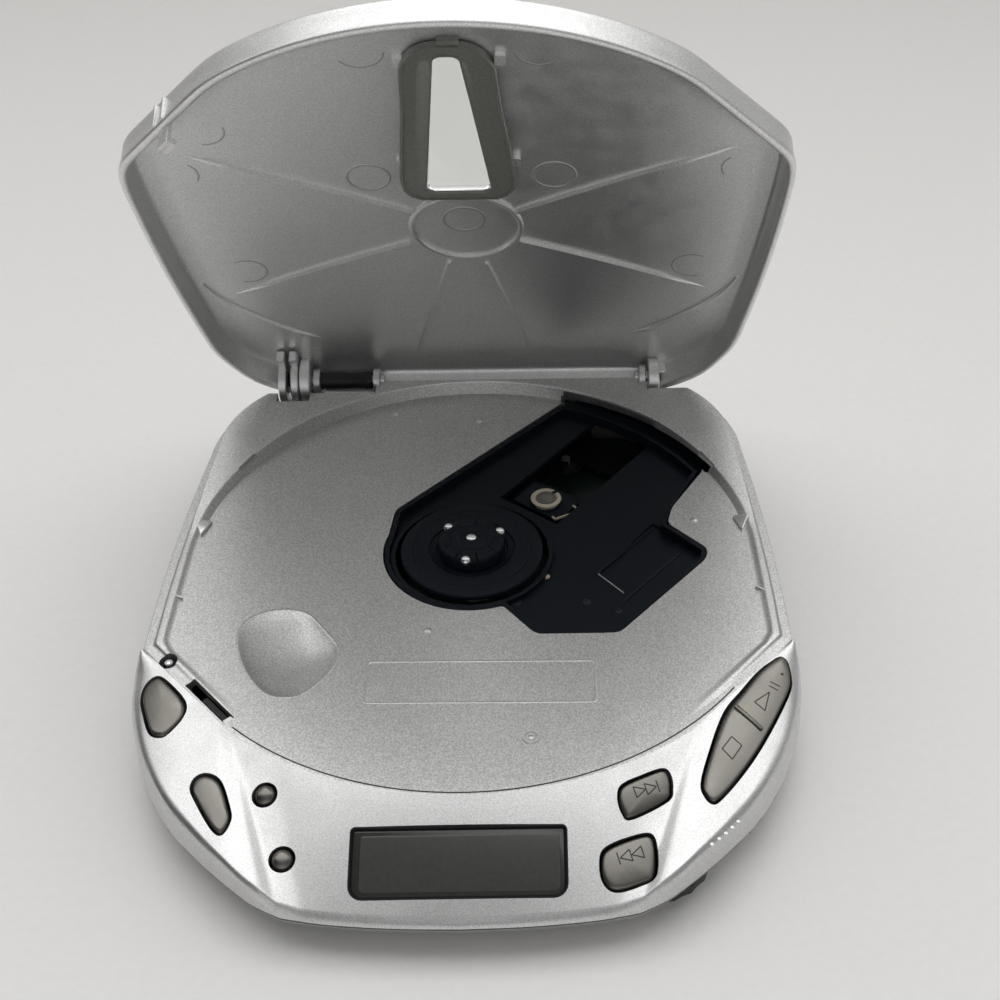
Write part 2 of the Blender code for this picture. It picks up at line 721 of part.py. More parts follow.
def edge_point(wing, share):
    """Point on the front edge of the body beside the seam point of the same share."""
    shares = WING_EDGE_SHARES if wing else FRONT_EDGE_SHARES
    x, y = curve_through([(sx * BODY_HALF_WIDTH, -sy * BODY_REACH) for sx, sy in shares], share)
    return (x, y)


def body_plan():
    front = [edge_point(False, 1.0 - i / FRONT_COUNT) for i in range(FRONT_COUNT)]
    wing = [edge_point(True, 1.0 - i / WING_COUNT) for i in range(WING_COUNT)]
    return mirrored(front + wing + side_and_back())


def waist_z(y):
    share = (SIDE_Y - y) / (SIDE_Y - WAIST_FRONT_Y)
    return lerp(WAIST_SIDE_Z, WAIST_FRONT_Z, smooth_step(share))


def seat_z(y):
    return FLOOR_Z - SEAT_BACK_DROP * smooth_step((y - SEAT_DROP_Y) / SEAT_DROP_RUN)


# Lower case

def build_lower_case(root):
    plan = body_plan()
    rings = []

    def ring(distance, drop=None, z=None):
        points = []
        for (x, y), (ix, iy) in zip(plan, inset(plan, distance)):
            points.append((ix, iy, waist_z(y) - drop if z is None else z))
        rings.append(points)

    inner_floor = FOOT_HEIGHT + CASE_FLOOR
    ring(CASE_BOTTOM_INSET, z=FOOT_HEIGHT)
    ring(CASE_BELLY_INSET, z=CASE_BELLY_Z)
    ring(CASE_LIP_INSET, drop=CASE_LIP)
    ring(0.0, drop=0.0)
    ring(CASE_WALL, drop=0.0)
    ring(CASE_WALL + CASE_LIP_INSET, drop=CASE_LIP)
    ring(CASE_WALL + CASE_BELLY_INSET, z=CASE_BELLY_Z + CASE_FLOOR / 2)
    ring(CASE_WALL + CASE_BOTTOM_INSET, z=inner_floor)
    case = loft("lower_case", rings, root)

    cx, cy = CELL_BAY_CENTRE
    width, length = CELL_BAY_SIZE
    wall = 2 * CELL_BAY_WALL
    low = FOOT_HEIGHT + CASE_FLOOR / 2
    top = CELL_BAY_TOP
    tray = box("cell_tray", (cx, cy, (low + top) / 2), (width + wall, length + wall, top - low), root)
    inside_top = top - CELL_BAY_WALL
    room = box("cell_room", (cx, cy, inside_top / 2), (width, length, inside_top), root)
    seat_depth = FOOT_HEIGHT + DOOR_SEAT + DOOR_LIP
    seat = box("door_seat", (cx, cy, seat_depth / 2), (width + wall, length + wall, seat_depth), root)
    join(case, tray)
    cut(case, room, seat)
    hinge_y, hinge_z = door_hinge()
    for name, reach, length in (("barrel_seat", DOOR_BARREL, DOOR_BARREL_LENGTH),
                                ("stub_seat", DOOR_STUB, DOOR_BARREL_LENGTH + 2 * DOOR_STUB_LENGTH)):
        high = hinge_z + reach + GAP
        size = (length + 2 * GAP, 2 * (reach + GAP), high)
        cut(case, box(name, (cx, hinge_y, high / 2), size, root))

    for i, (sx, sy) in enumerate(FOOT_SHARES):
        centre = (sx * SIDE_X, sy * SIDE_X)
        high = FOOT_HEIGHT + FOOT_SINK
        cut(case, cylinder(f"foot_seat_{i}", FOOT_RADIUS + GAP, 0.0, high, root, centre, 14))
    for i, (sx, sy) in enumerate(SCREW_SHARES):
        centre = (sx * SIDE_X, sy * SIDE_X)
        high = FOOT_HEIGHT + SCREW_SINK
        cut(case, cylinder(f"screw_seat_{i}", SCREW_HEAD_RADIUS + GAP, 0.0, high, root, centre, 10))
    for i, (sx, sy) in enumerate(DAMPER_SHARES):
        centre = (sx * BAY_RADIUS, sy * BAY_RADIUS)
        boss_top = CHASSIS_Z + CHASSIS_THICK
        join(case, cylinder(f"damper_boss_{i}", DAMPER_HOLE, low, boss_top, root, centre, 10))

    wheel = wheel_centre()
    slot_low = WHEEL_Z - WHEEL_SLOT
    slot_high = WHEEL_Z + WHEEL_THICK + WHEEL_SLOT
    radius = WHEEL_RADIUS + WHEEL_SLOT
    cut(case, cylinder("wheel_slot", radius, slot_low, slot_high, root, wheel, 28))
    join(case, cylinder("wheel_axle", WHEEL_AXLE, low, WHEEL_AXLE_TOP, root, wheel, 10))
    centre, turn = slider_place()
    depth = SLIDER_DEPTH + 2 * OVERRUN
    size = (SLIDER_LENGTH + SLIDER_TRAVEL + 2 * GAP, depth, SLIDER_HEIGHT + 2 * GAP)
    along = Vector((math.cos(turn), math.sin(turn))) * (SLIDER_TRAVEL / 2)
    place = (centre.x + along.x, centre.y + along.y, SLIDER_Z)
    cut(case, box("slider_slot", place, size, root, turn))
    return silver(case, SILVER_DARK)


# Deck with the disc bay

def build_deck(root):
    plan = lid_plan()

    def bay_point(x, y):
        """Place on the bay's edge in the same direction as a plan point."""
        reach = math.hypot(x, y)
        radius = BAY_RADIUS
        if y < 0.0:
            radius = min(LEDGE_RADIUS, BAY_RADIUS * reach / max(abs(x), WELD))
        return min(radius, reach - BAY_EDGE_MIN), reach

    def ring(distance, height):
        return [(ix, iy, height(y)) for (x, y), (ix, iy) in zip(plan, inset(plan, distance))]

    def bay_ring(extra_width, raised):
        points = []
        for x, y in plan:
            radius, reach = bay_point(x, y)
            share = read_shares(RAIL_HEIGHT_SHARES, y * radius / reach / BAY_RADIUS)
            slope = lerp(RAIL_SLOPE_SIDE, RAIL_SLOPE_BACK, share)
            radius += slope if extra_width else 0.0
            height = FLOOR_Z + (BACK_WALL_HEIGHT * share if raised else 0.0)
            points.append((x * radius / reach, y * radius / reach, height))
        return points

    def rail_ring(distance):
        points = []
        for (x, y), (ix, iy) in zip(plan, inset(plan, distance)):
            share = read_shares(RAIL_HEIGHT_SHARES, y / BAY_RADIUS)
            points.append((ix, iy, FLOOR_Z + BACK_WALL_HEIGHT * share))
        return points

    def under_z(y):
        return lerp(FLOOR_Z - FLOOR_THICK, BACK_BLOCK_Z, smooth_step((y - SEAT_DROP_Y) / SEAT_DROP_RUN))

    flat_under = FLOOR_Z - FLOOR_THICK
    rings = [
        bay_ring(False, False),
        bay_ring(True, True),
        rail_ring(SEAT_WIDTH + SEAT_STEP),
        ring(SEAT_WIDTH, seat_z),
        ring(0.0, seat_z),
        ring(0.0, lambda y: waist_z(y) + GAP),
        ring(DECK_WALL, lambda y: waist_z(y) + GAP),
        ring(DECK_WALL, under_z),
        ring(BACK_BLOCK_DEPTH, under_z),
        ring(BACK_BLOCK_DEPTH + BACK_BLOCK_RUN, lambda y: flat_under),
    ]
    deck = loft("bay_deck", rings, root)

    join(deck, dish_solid("dish_bowl", DISH_WALL, FLOOR_Z - FLOOR_THICK / 2, root))
    cut(deck, dish_solid("dish_hollow", 0.0, FLOOR_Z, root, OVERRUN))
    low = BACK_BLOCK_Z - OVERRUN
    opening = opening_plan(BAY_RADIUS - OPENING_CLEAR)
    cut(deck, prism("mechanism_opening", opening, low, FLOOR_Z + OVERRUN, root))
    cut(deck, trough_cutter(root))
    for name, radius, start, end in knuckle_zones():
        cut(deck, cylinder(name, radius, start, end, root, (HINGE_Y, HINGE_Z), 20, "X"))
    for i, x in enumerate(POSTS_X):
        join(deck, hinge_post(f"hinge_post_{i}", x, root))
    for i, (start, end) in enumerate(pin_spans()):
        reach = PIN_RADIUS + GAP
        name = f"pin_hole_{i}"
        cut(deck, cylinder(name, reach, start - GAP, end + GAP, root, (HINGE_Y, HINGE_Z), 10, "X"))
    centre, turn = latch_place()
    size = (LATCH_SLOT_LENGTH, LATCH_SLOT_WIDTH, 2 * LATCH_HEIGHT + 2 * LATCH_TOP_DROP)
    cut(deck, box("latch_slot", (centre.x, centre.y, FLOOR_Z), size, root, turn))
    high = FLOOR_Z + BACK_WALL_HEIGHT
    place = (SWITCH_X, SWITCH_Y)
    low = SWITCH_BODY_TOP - SWITCH_LENGTH - GAP
    cut(deck, cylinder("switch_hole", SWITCH_HOLE, low, high, root, place, 14))
    for i, degrees in enumerate(GUIDE_SLOT_ANGLES):
        angle = math.radians(degrees)
        radius = BAY_RADIUS + RAIL_SLOPE_BACK
        place = (radius * math.cos(angle), radius * math.sin(angle), GUIDE_SLOT_Z)
        cut(deck, box(f"guide_slot_{i}", place, GUIDE_SLOT_SIZE, root, angle))
    for i, y in enumerate((PHONES_Y, LINE_Y, DC_Y)):
        reach = side_x(y)
        name = f"socket_hole_{i}"
        start = reach - SOCKET_LENGTH
        end = reach + OVERRUN
        cut(deck, cylinder(name, SOCKET_RADIUS + GAP, start, end, root, (y, SOCKET_Z), 14, "X"))
    return silver(deck)


def dish_solid(name, grow, top, root, overrun=0.0):
    """Rounded dish for one finger, as the hollow itself or grown by the wall round it."""
    rings = []
    for width_share, depth_share in DISH_PROFILE_SHARES:
        points = []
        for sx, sy in closed_curve(DISH_SHARES, DISH_STEPS):
            reach = DISH_REACH * width_share + grow / math.hypot(sx, sy)
            x = DISH_CENTRE[0] + sx * reach
            y = DISH_CENTRE[1] + sy * reach
            points.append((x, y, FLOOR_Z - DISH_DEPTH * depth_share - (grow if depth_share else 0.0)))
        rings.append(points)
    rings[0] = [(x, y, top) for x, y, z in rings[0]]
    if overrun:
        rings.insert(0, [(x, y, top + overrun) for x, y, z in rings[0]])
    return loft(name, rings, root)


def opening_plan(back_radius):
    """Opening of the bay floor over the mechanism: sled end at the back, hub well at the left."""
    front = [(sx * BAY_RADIUS, sy * BAY_RADIUS) for sx, sy in OPENING_FRONT_SHARES[:-1]]
    back = arc((0.0, 0.0), back_radius, OPENING_BACK_START, OPENING_BACK_END, 6)
    left = (OPENING_LEFT_SHARE[0] * BAY_RADIUS, OPENING_LEFT_SHARE[1] * BAY_RADIUS)
    well = arc((0.0, 0.0), HUB_WELL_RADIUS, HUB_WELL_START, HUB_WELL_END, 9)
    return front + back + [left] + well


def trough_cutter(root):
    """Room behind the bay wall for the lid's rounded back edge, all along the hinge."""
    angle = math.asin((TROUGH_LIP_Z - HINGE_Z) / TROUGH_RADIUS)
    profile = arc((HINGE_Y, HINGE_Z), TROUGH_RADIUS, -math.pi / 2, angle, 8)
    top = LID_BACK_EDGE_Z + OVERRUN
    outer = BACK_Y + OVERRUN
    profile = [(TROUGH_FRONT_Y, top), (TROUGH_FRONT_Y, profile[0][1])] + profile
    profile += [(outer, TROUGH_LIP_Z), (outer, top)]
    rings = []
    for x in (-TROUGH_HALF, TROUGH_HALF):
        rings.append([(x, y, z) for y, z in profile])
    return loft("hinge_trough", rings, root)


def knuckle_zones():
    """Stretches of the deck's back that the knuckles and the spring need."""
    starts = [x - width / 2 - POST_CLEAR for name, x, width in KNUCKLES]
    right_end = KNUCKLES[-1][1] + KNUCKLES[-1][2] / 2 + POST_CLEAR
    return (
        ("left_corner_pocket", CORNER_POCKET, -TROUGH_HALF, starts[0] + OVERRUN),
        ("left_pocket", KNUCKLE_POCKET, starts[0], POSTS_X[1]),
        ("right_pocket", KNUCKLE_POCKET, starts[-1], right_end),
        ("right_corner_pocket", CORNER_POCKET, right_end - OVERRUN, TROUGH_HALF),
    )


def hinge_post(name, x, root):
    """Upright ear of the deck that carries a hinge pin."""
    half = PIN_RADIUS + CASE_WALL
    low = BACK_BLOCK_Z + FLOOR_THICK
    size = (POST_WIDTH, 2 * half, HINGE_Z - low)
    post = box(name, (x, HINGE_Y, (low + HINGE_Z) / 2), size, root)
    start, end = x - POST_WIDTH / 2, x + POST_WIDTH / 2
    eye = cylinder(name + "_eye", half, start, end, root, (HINGE_Y, HINGE_Z), 14, "X")
    return join(post, eye)


def pin_spans():
    """Ends of the left and the right hinge pin."""
    half = POST_WIDTH / 2 + PIN_TAIL
    left_start = KNUCKLES[0][1] - KNUCKLES[0][2] / 2
    right_end = KNUCKLES[-1][1] + KNUCKLES[-1][2] / 2
    return (
        (left_start, POSTS_X[1] + half),
        (POSTS_X[2] - half, right_end),
    )


# Control panel

def panel_band(wing, share):
    """Width of the panel's steep outer band."""
    if not wing:
        return PANEL_FRONT_BAND
    if share < 0.18:
        return lerp(PANEL_TIP_BAND, PANEL_SIDE_BAND, smooth_step(share / 0.18))
    return lerp(PANEL_SIDE_BAND, PANEL_FRONT_BAND, smooth_step((share - 0.3) / 0.7))


def panel_lines(wing, share):
    """Seam, top edge and outer edge of the panel at one station, right half."""
    seam = Vector(seam_point(wing, share))
    outer = Vector(edge_point(wing, share))
    away = (seam - outer)
    edge = outer + away.normalized() * min(panel_band(wing, share), away.length / 2)
    height = read_shares(WING_HEIGHT_SHARES if wing else FRONT_HEIGHT_SHARES, share)
    edge_z = WAIST_FRONT_Z + PANEL_HEIGHT * height
    return seam, edge, outer, edge_z


def panel_height(x, y):
    """Height of the panel's top face at a place in plan."""
    place = Vector((abs(x), y))
    for wing in (True, False):
        steps = 60
        last = None
        for i in range(steps + 1):
            seam, edge, outer, edge_z = panel_lines(wing, i / steps)
            way = edge - seam
            side = way.x * (place.y - seam.y) - way.y * (place.x - seam.x)
            share = (place - seam).dot(way) / way.length_squared
            z = lerp(PANEL_SEAM_Z, edge_z, share)
            if last is not None and last[0] * side <= 0.0:
                total = abs(last[0]) + abs(side)
                return lerp(last[1], z, abs(last[0]) / total if total else 0.0)
            last = (side, z)
    return PANEL_SEAM_Z


def panel_frame(x, y):
    """Axes and origin of the panel's face at a place: X across, Y up the slope, Z out."""
    step = 2 * OVERRUN
    z = panel_height(x, y)
    dx = Vector((2 * step, 0.0, panel_height(x + step, y) - panel_height(x - step, y)))
    dy = Vector((0.0, 2 * step, panel_height(x, y + step) - panel_height(x, y - step)))
    out = dx.cross(dy).normalized()
    across = dx.normalized()
    up = out.cross(across)
    matrix = Matrix((across, up, out)).transposed().to_4x4()
    matrix.translation = (x, y, z)
    return matrix


def build_panel(root):
    stations = []
    for i in range(WING_COUNT):
        stations.append(panel_lines(True, max(PANEL_TIP_SHARE, i / WING_COUNT)))
    for i in range(FRONT_COUNT + 1):
        stations.append(panel_lines(False, i / FRONT_COUNT))
    columns = [(1.0, s) for s in stations] + [(-1.0, s) for s in reversed(stations[:-1])]

    bm = bmesh.new()
    tops, bottoms = [], []
    for side, (seam, edge, outer, edge_z) in columns:
        away = seam - outer
        rim = away.normalized() * min(PANEL_RIM_WIDTH, away.length * PANEL_TIP_RIM_SHARE)
        start = seam - away.normalized() * GAP
        top, bottom = [], []
        for share in PANEL_ROW_SHARES:
            plan = start.lerp(edge, share)
            z = lerp(PANEL_SEAM_Z, edge_z, share)
            top.append((plan.x, plan.y, z))
            inner = start.lerp(edge + rim, share)
            bottom.append((inner.x, inner.y, z - PANEL_THICK))
        waist = waist_z(outer.y) + GAP
        middle = edge.lerp(outer, 0.72)
        fall = min(PANEL_EDGE_FALL, (edge_z - waist) / 2)
        top.append((middle.x, middle.y, edge_z - fall))
        top.append((outer.x, outer.y, waist))
        inner = middle + rim
        bottom.append((inner.x, inner.y, max(edge_z - fall - PANEL_THICK, waist + GAP)))
        inner = outer + rim
        bottom.append((inner.x, inner.y, waist))
        tops.append([bm.verts.new((side * x, y, z)) for x, y, z in top])
        bottoms.append([bm.verts.new((side * x, y, z)) for x, y, z in bottom])
    last = len(tops[0]) - 1
    for k in range(len(columns) - 1):
        for rows in (tops, bottoms):
            for i in range(last):
                bm.faces.new((rows[k][i], rows[k + 1][i], rows[k + 1][i + 1], rows[k][i + 1]))
        for i in (0, last):
            bm.faces.new((tops[k][i], tops[k + 1][i], bottoms[k + 1][i], bottoms[k][i]))
    for k in (0, -1):
        for i in range(last):
            bm.faces.new((tops[k][i], tops[k][i + 1], bottoms[k][i + 1], bottoms[k][i]))
    panel = mesh_object("front_panel", mesh_from(bm, "front_panel"), root, math.radians(20.0))

    for name, centre, span, shares in key_table():
        frame = panel_frame(*centre)
        hole = key_outline(frame, centre, span, shares)
        cutter = prism(name + "_hole", hole, -KEY_CUT, KEY_CUT, root)
        cutter.matrix_local = frame
        cut(panel, cutter)
    frame = panel_frame(*body_point(DISPLAY_PLACE_SHARES))
    size = (DISPLAY_WIDTH, DISPLAY_HEIGHT, 2 * KEY_CUT)
    cutter = box("display_hole", (0.0, 0.0, 0.0), size, root)
    cutter.matrix_local = frame
    cut(panel, cutter)
    return silver(panel)


# Keys

def round_shares():
    return arc((0.0, 0.0), 0.5, 0.0, 2 * math.pi, ROUND_KEY_STEPS)[:-1]


def body_point(shares):
    return (shares[0] * BODY_HALF_WIDTH, shares[1] * BODY_REACH)


def key_table():
    """Name, centre, span and outline shares of every key's hole."""
    round_span = (2 * ROUND_KEY_HOLE, 2 * ROUND_KEY_HOLE)
    return (
        ("open_button", body_point(OPEN_KEY_PLACE_SHARES), OPEN_KEY_SPAN, OPEN_KEY_SHARES),
        ("buffer_button", body_point(BUFFER_KEY_PLACE_SHARES), BUFFER_KEY_SPAN, BUFFER_KEY_SHARES),
        ("play_stop_key", body_point(PLAY_KEY_PLACE_SHARES), PLAY_KEY_SPAN, PLAY_KEY_SHARES),
        ("skip_forward_button", body_point(SKIP_FORWARD_PLACE_SHARES), SKIP_SPAN, SKIP_FORWARD_SHARES),
        ("skip_back_button", body_point(SKIP_BACK_PLACE_SHARES), SKIP_SPAN, SKIP_BACK_SHARES),
        ("mode_button", body_point(MODE_KEY_PLACE_SHARES), round_span, None),
        ("repeat_button", body_point(REPEAT_KEY_PLACE_SHARES), round_span, None),
    )


def key_outline(frame, centre, span, shares):
    """Outline of a key's hole, laid flat in the key's own frame."""
    if shares is None:
        return [(x * span[0], y * span[1]) for x, y in round_shares()]
    ordered = [shares[-i] for i in range(len(shares))]
    return laid_flat(frame, centre, span, closed_curve(ordered, KEY_SMOOTH))


def laid_flat(frame, centre, span, shares):
    """Points given as shares of a span in plan, dropped on a key's own plane."""
    back = frame.inverted()
    slope = frame.to_3x3().col[2]
    flat = []
    for sx, sy in shares:
        x = centre[0] + sx * span[0]
        y = centre[1] + sy * span[1]
        lift = ((x - centre[0]) * slope.x + (y - centre[1]) * slope.y) / slope.z
        point = back @ Vector((x, y, frame.translation.z - lift))
        flat.append((point.x, point.y))
    return flat


def towards_spine(points, spine, share):
    """Outline drawn in by a share of the way to the nearest point of a line."""
    result = []
    for x, y in points:
        place = Vector((x, y))
        nearest = Vector(spine[0])
        for start, end in zip(spine, spine[1:]):
            a, b = Vector(start), Vector(end)
            along = min(1.0, max(0.0, (place - a).dot(b - a) / (b - a).length_squared))
            if (a.lerp(b, along) - place).length < (nearest - place).length:
                nearest = a.lerp(b, along)
        result.append(tuple(place.lerp(nearest, share)))
    return result


def build_keys(root):
    for name, centre, span, shares in key_table():
        frame = panel_frame(*centre)
        hole = key_outline(frame, centre, span, shares)
        body = inset(hole, KEY_GAP)
        spine = [(0.0, 0.0), (0.0, WELD)]
        if name == "play_stop_key":
            spine = laid_flat(frame, centre, span, PLAY_SPINE_SHARES)
        rounded = towards_spine(body, spine, KEY_ROUND_SHARE)
        rings = [
            at_height(body, -KEY_DEPTH),
            at_height(body, KEY_PROUD - KEY_ROUND),
            at_height(rounded, KEY_PROUD),
            at_height(towards_spine(body, spine, KEY_CROWN_SHARE), KEY_PROUD + KEY_CROWN),
        ]
        key = loft(name, rings, root)
        key.matrix_local = frame
        if name == "play_stop_key":
            size = (PLAY_RIDGE_LENGTH, PLAY_RIDGE_WIDTH, 2 * PLAY_RIDGE_HEIGHT)
            ridge = box("play_ridge", (0.0, 0.0, KEY_PROUD), size, root, PLAY_RIDGE_ANGLE)
            ridge.matrix_local = frame
            join(key, ridge)
        paint(key, CHAMPAGNE, 0.38, 0.5)


def build_display(root):
    frame = panel_frame(*body_point(DISPLAY_PLACE_SHARES))
    size = (DISPLAY_WIDTH - 2 * GAP, DISPLAY_HEIGHT - 2 * GAP, WINDOW_PANE_THICK)
    pane_middle = -WINDOW_PANE_SINK - WINDOW_PANE_THICK / 2
    pane = box("display_window", (0.0, 0.0, pane_middle), size, root)
    pane.matrix_local = frame
    paint(pane, (0.03, 0.035, 0.035), 0.08)
    module_middle = -WINDOW_PANE_SINK - WINDOW_PANE_THICK - GAP - MODULE_THICK / 2
    size = (DISPLAY_WIDTH - 2 * MODULE_MARGIN, DISPLAY_HEIGHT - 2 * MODULE_MARGIN, MODULE_THICK)
    module = box("display_module", (0.0, 0.0, module_middle), size, root)
    module.matrix_local = frame
    paint(module, (0.10, 0.12, 0.09), 0.5)


# Lid

def crown_z(x, y, reach_share):
    """Height of the lid's outer skin at a place, with its share of the way to the edge."""
    share = (y + FRONT_RADIUS - FRONT_CENTRE_Y) / (BACK_Y + FRONT_RADIUS - FRONT_CENTRE_Y)
    edge = lerp(LID_FRONT_EDGE_Z, LID_BACK_EDGE_Z, share)
    return edge + LID_CROWN * (1.0 - reach_share ** DOME_POWER)


def skin_z(y):
    """Height of the lid's outer skin on its middle line."""
    reach = FRONT_RADIUS - FRONT_CENTRE_Y if y < 0.0 else BACK_Y
    return crown_z(0.0, y, abs(y) / reach)


def rim_z(y):
    return RIM_Z + seat_z(y) - FLOOR_Z


def build_lid(hinge):
    plan = lid_plan()
    back = Matrix.Translation((0.0, -HINGE_Y, -HINGE_Z))

    def rounded(point, radius):
        """Keep a point behind the hinge within the lid's rounded back."""
        x, y, z = point
        rise = z - HINGE_Z
        if y > HINGE_Y and abs(rise) < radius:
            y = min(y, HINGE_Y + math.sqrt(radius ** 2 - rise ** 2))
        return (x, y, z)

    def wall(distance, height, radius):
        points = []
        for (x, y), (ix, iy) in zip(plan, inset(plan, distance)):
            points.append(rounded((ix, iy, height(x, y)), radius))
        return points

    def dome(share, drop, distance):
        points = []
        for x, y in inset(plan, distance):
            px, py = x * share, y * share
            z = crown_z(px, py, share) - drop
            points.append(rounded((px, py, z), LID_BACK_RADIUS - drop))
        return points

    inner_radius = LID_BACK_RADIUS - LID_WALL

    def back_lift(y):
        return BACK_LIFT * smooth_step((y - BACK_LIFT_Y) / (BACK_Y - BACK_LIFT_Y))

    def edge_z(x, y):
        return crown_z(x, y, 1.0)

    rings = [dome(share, LID_SKIN, LID_WALL) for share in reversed(DOME_SHARES)]
    rings += [
        wall(LID_WALL + LID_DRAFT, lambda x, y: edge_z(x, y) - LID_SKIN - LID_EDGE_ROUND / 2, inner_radius),
        wall(LID_WALL + LID_DRAFT / 2, lambda x, y: (edge_z(x, y) - LID_SKIN + rim_z(y)) / 2, inner_radius),
        wall(LID_WALL, lambda x, y: rim_z(y) + back_lift(y), inner_radius),
        wall(0.0, lambda x, y: rim_z(y), LID_BACK_RADIUS),
        wall(LID_DRAFT / 2, lambda x, y: (edge_z(x, y) - LID_EDGE_ROUND + rim_z(y)) / 2, LID_BACK_RADIUS),
        wall(LID_DRAFT, lambda x, y: edge_z(x, y) - LID_EDGE_ROUND, LID_BACK_RADIUS),
    ]
    rings += [dome(share, 0.0, LID_DRAFT) for share in DOME_SHARES]
    rings = [[back @ Vector(point) for point in ring] for ring in rings]
    lid = loft("lid_shell", rings, hinge)

    join(lid, clamp_ring(hinge))
    for i, (sx, sy) in enumerate(RIB_END_SHARES):
        join(lid, spoke(f"lid_spoke_{i}", sx, sy, hinge))
    for i, x in enumerate(POSTS_X):
        high = POST_NOTCH_TOP
        low = FLOOR_Z - HINGE_Z - 2 * LID_BACK_RADIUS
        reach = PIN_RADIUS + CASE_WALL + POST_CLEAR
        outer = LID_BACK_RADIUS + OVERRUN
        width = POST_WIDTH + 2 * POST_CLEAR
        size = (width, outer + reach, high - low)
        notch = box(f"post_notch_{i}", (x, (outer - reach) / 2, (low + high) / 2), size, hinge)
        start, end = x - width / 2, x + width / 2
        round_room = cylinder(f"post_room_{i}", reach, start, end, hinge, (0.0, 0.0), 14, "X")
        cut(lid, join(notch, round_room))
    for name, x, width in KNUCKLES:
        join(lid, knuckle(name, x, width, hinge))
    for name, x, width in KNUCKLES:
        start, end = x - width / 2 - OVERRUN, x + width / 2 + OVERRUN
        bore = cylinder(name + "_bore", PIN_RADIUS + GAP, start, end, hinge, (0.0, 0.0), 10, "X")
        cut(lid, bore)
    join(lid, latch_hook(hinge))
    cut(lid, pane_solid("window_hole", GAP, FLOOR_Z, LID_BACK_EDGE_Z + 2 * LID_CROWN, hinge))
    return silver(lid)


def in_lid(points):
    """Points drawn with the lid closed, moved to the hinge's own frame."""
    return [(x, y - HINGE_Y, z - HINGE_Z) for x, y, z in points]


def inner_skin(y):
    return skin_z(y) - LID_SKIN


def clamp_ring(hinge):
    """Ring under the lid's middle that keeps the disc on its hub."""
    top = inner_skin(0.0) + LID_SKIN / 2
    outer = arc((0.0, 0.0), CLAMP_RING_RADIUS, 0.0, 2 * math.pi, RING_SIDES)[:-1]
    inner_radius = CLAMP_RING_RADIUS - CLAMP_RING_WALL
    hole = arc((0.0, 0.0), inner_radius, 0.0, 2 * math.pi, RING_SIDES)[:-1]
    ring = loft("clamp_ring", [in_lid(at_height(outer, CLAMP_RING_Z)), in_lid(at_height(outer, top))], hinge)
    low = CLAMP_RING_Z - OVERRUN
    high = inner_skin(0.0) - GAP
    core = loft("clamp_core", [in_lid(at_height(hole, low)), in_lid(at_height(hole, high))], hinge)
    return cut(ring, core, window_solid("window_room", 2 * GAP, hinge))


def spoke(name, sx, sy, hinge):
    """Straight stiffening rib under the lid, from the clamp ring outwards."""
    way = Vector((sx, sy)) * SPOKE_REACH
    away = way.normalized()
    side = Vector((-away.y, away.x)) * (RIB_THICK / 2)
    start = away * (CLAMP_RING_RADIUS - CLAMP_RING_WALL / 2)
    reach = FRONT_RADIUS if way.y < 0.0 else BACK_Y
    rings = []
    for i in range(5):
        middle = start.lerp(way, i / 4)
        share = min(1.0, middle.length / reach)
        skin = crown_z(middle.x, middle.y, share) - LID_SKIN
        low, high = skin - RIB_DROP, skin + LID_SKIN / 2
        corners = [(middle - side, low), (middle + side, low), (middle + side, high), (middle - side, high)]
        rings.append(in_lid([(p.x, p.y, z) for p, z in corners]))
    return loft(name, rings, hinge)


def knuckle(name, x, width, hinge):
    """Ear under the lid's back that turns on a hinge pin."""
    start, end = x - width / 2, x + width / 2
    ear = cylinder(name, KNUCKLE_RADIUS, start, end, hinge, (0.0, 0.0), 16, "X")
    top = inner_skin(HINGE_Y) + LID_SKIN / 2 - HINGE_Z
    depth = KNUCKLE_RADIUS * NECK_DEPTH_SHARE
    join(ear, box(name + "_neck", (x, -depth * NECK_PLACE_SHARE, top / 2), (width, depth, top), hinge))
    plan = [(px, py - HINGE_Y) for px, py in inset(lid_plan(), LID_WALL * 0.6)]
    reach = 2 * LID_BACK_RADIUS
    return combine(ear, prism(name + "_room", plan, -reach, reach, hinge), "INTERSECT")


def latch_place():
    """Middle of the latch slot and the direction of the left chamfer."""
    x, y = seam_point(True, LATCH_SHARE)
    corner = Vector((-CORNER_X, front_corner_y()))
    end = Vector((-side_x(SIDE_Y), SIDE_Y))
    way = (corner - end).normalized()
    inward = Vector((-way.y, way.x))
    centre = Vector((-x, y)) + inward * LATCH_SLOT_INSET
    return centre, math.atan2(way.y, way.x)


def latch_hook(hinge):
    """Hook on the lid's left chamfer that drops into the latch slot."""
    centre, turn = latch_place()
    way = Vector((math.cos(turn), math.sin(turn)))
    middle = centre - way * (LATCH_SLOT_LENGTH * HOOK_PLACE_SHARE)
    low = RIM_Z - HOOK_DROP
    high = LID_FRONT_EDGE_Z - LID_SKIN
    place = (middle.x, middle.y - HINGE_Y, (low + high) / 2 - HINGE_Z)
    hook = box("latch_hook", place, (HOOK_WIDTH, HOOK_THICK, high - low), hinge, turn)
    inward = Vector((-way.y, way.x))
    root_place = middle - inward * (LATCH_SLOT_INSET - LID_WALL / 2) / 2
    low = RIM_Z + GAP
    high -= GAP
    place = (root_place.x, root_place.y - HINGE_Y, (low + high) / 2 - HINGE_Z)
    web = box("hook_web", place, (HOOK_WIDTH - GAP, LATCH_SLOT_INSET, high - low), hinge, turn)
    return join(hook, web)


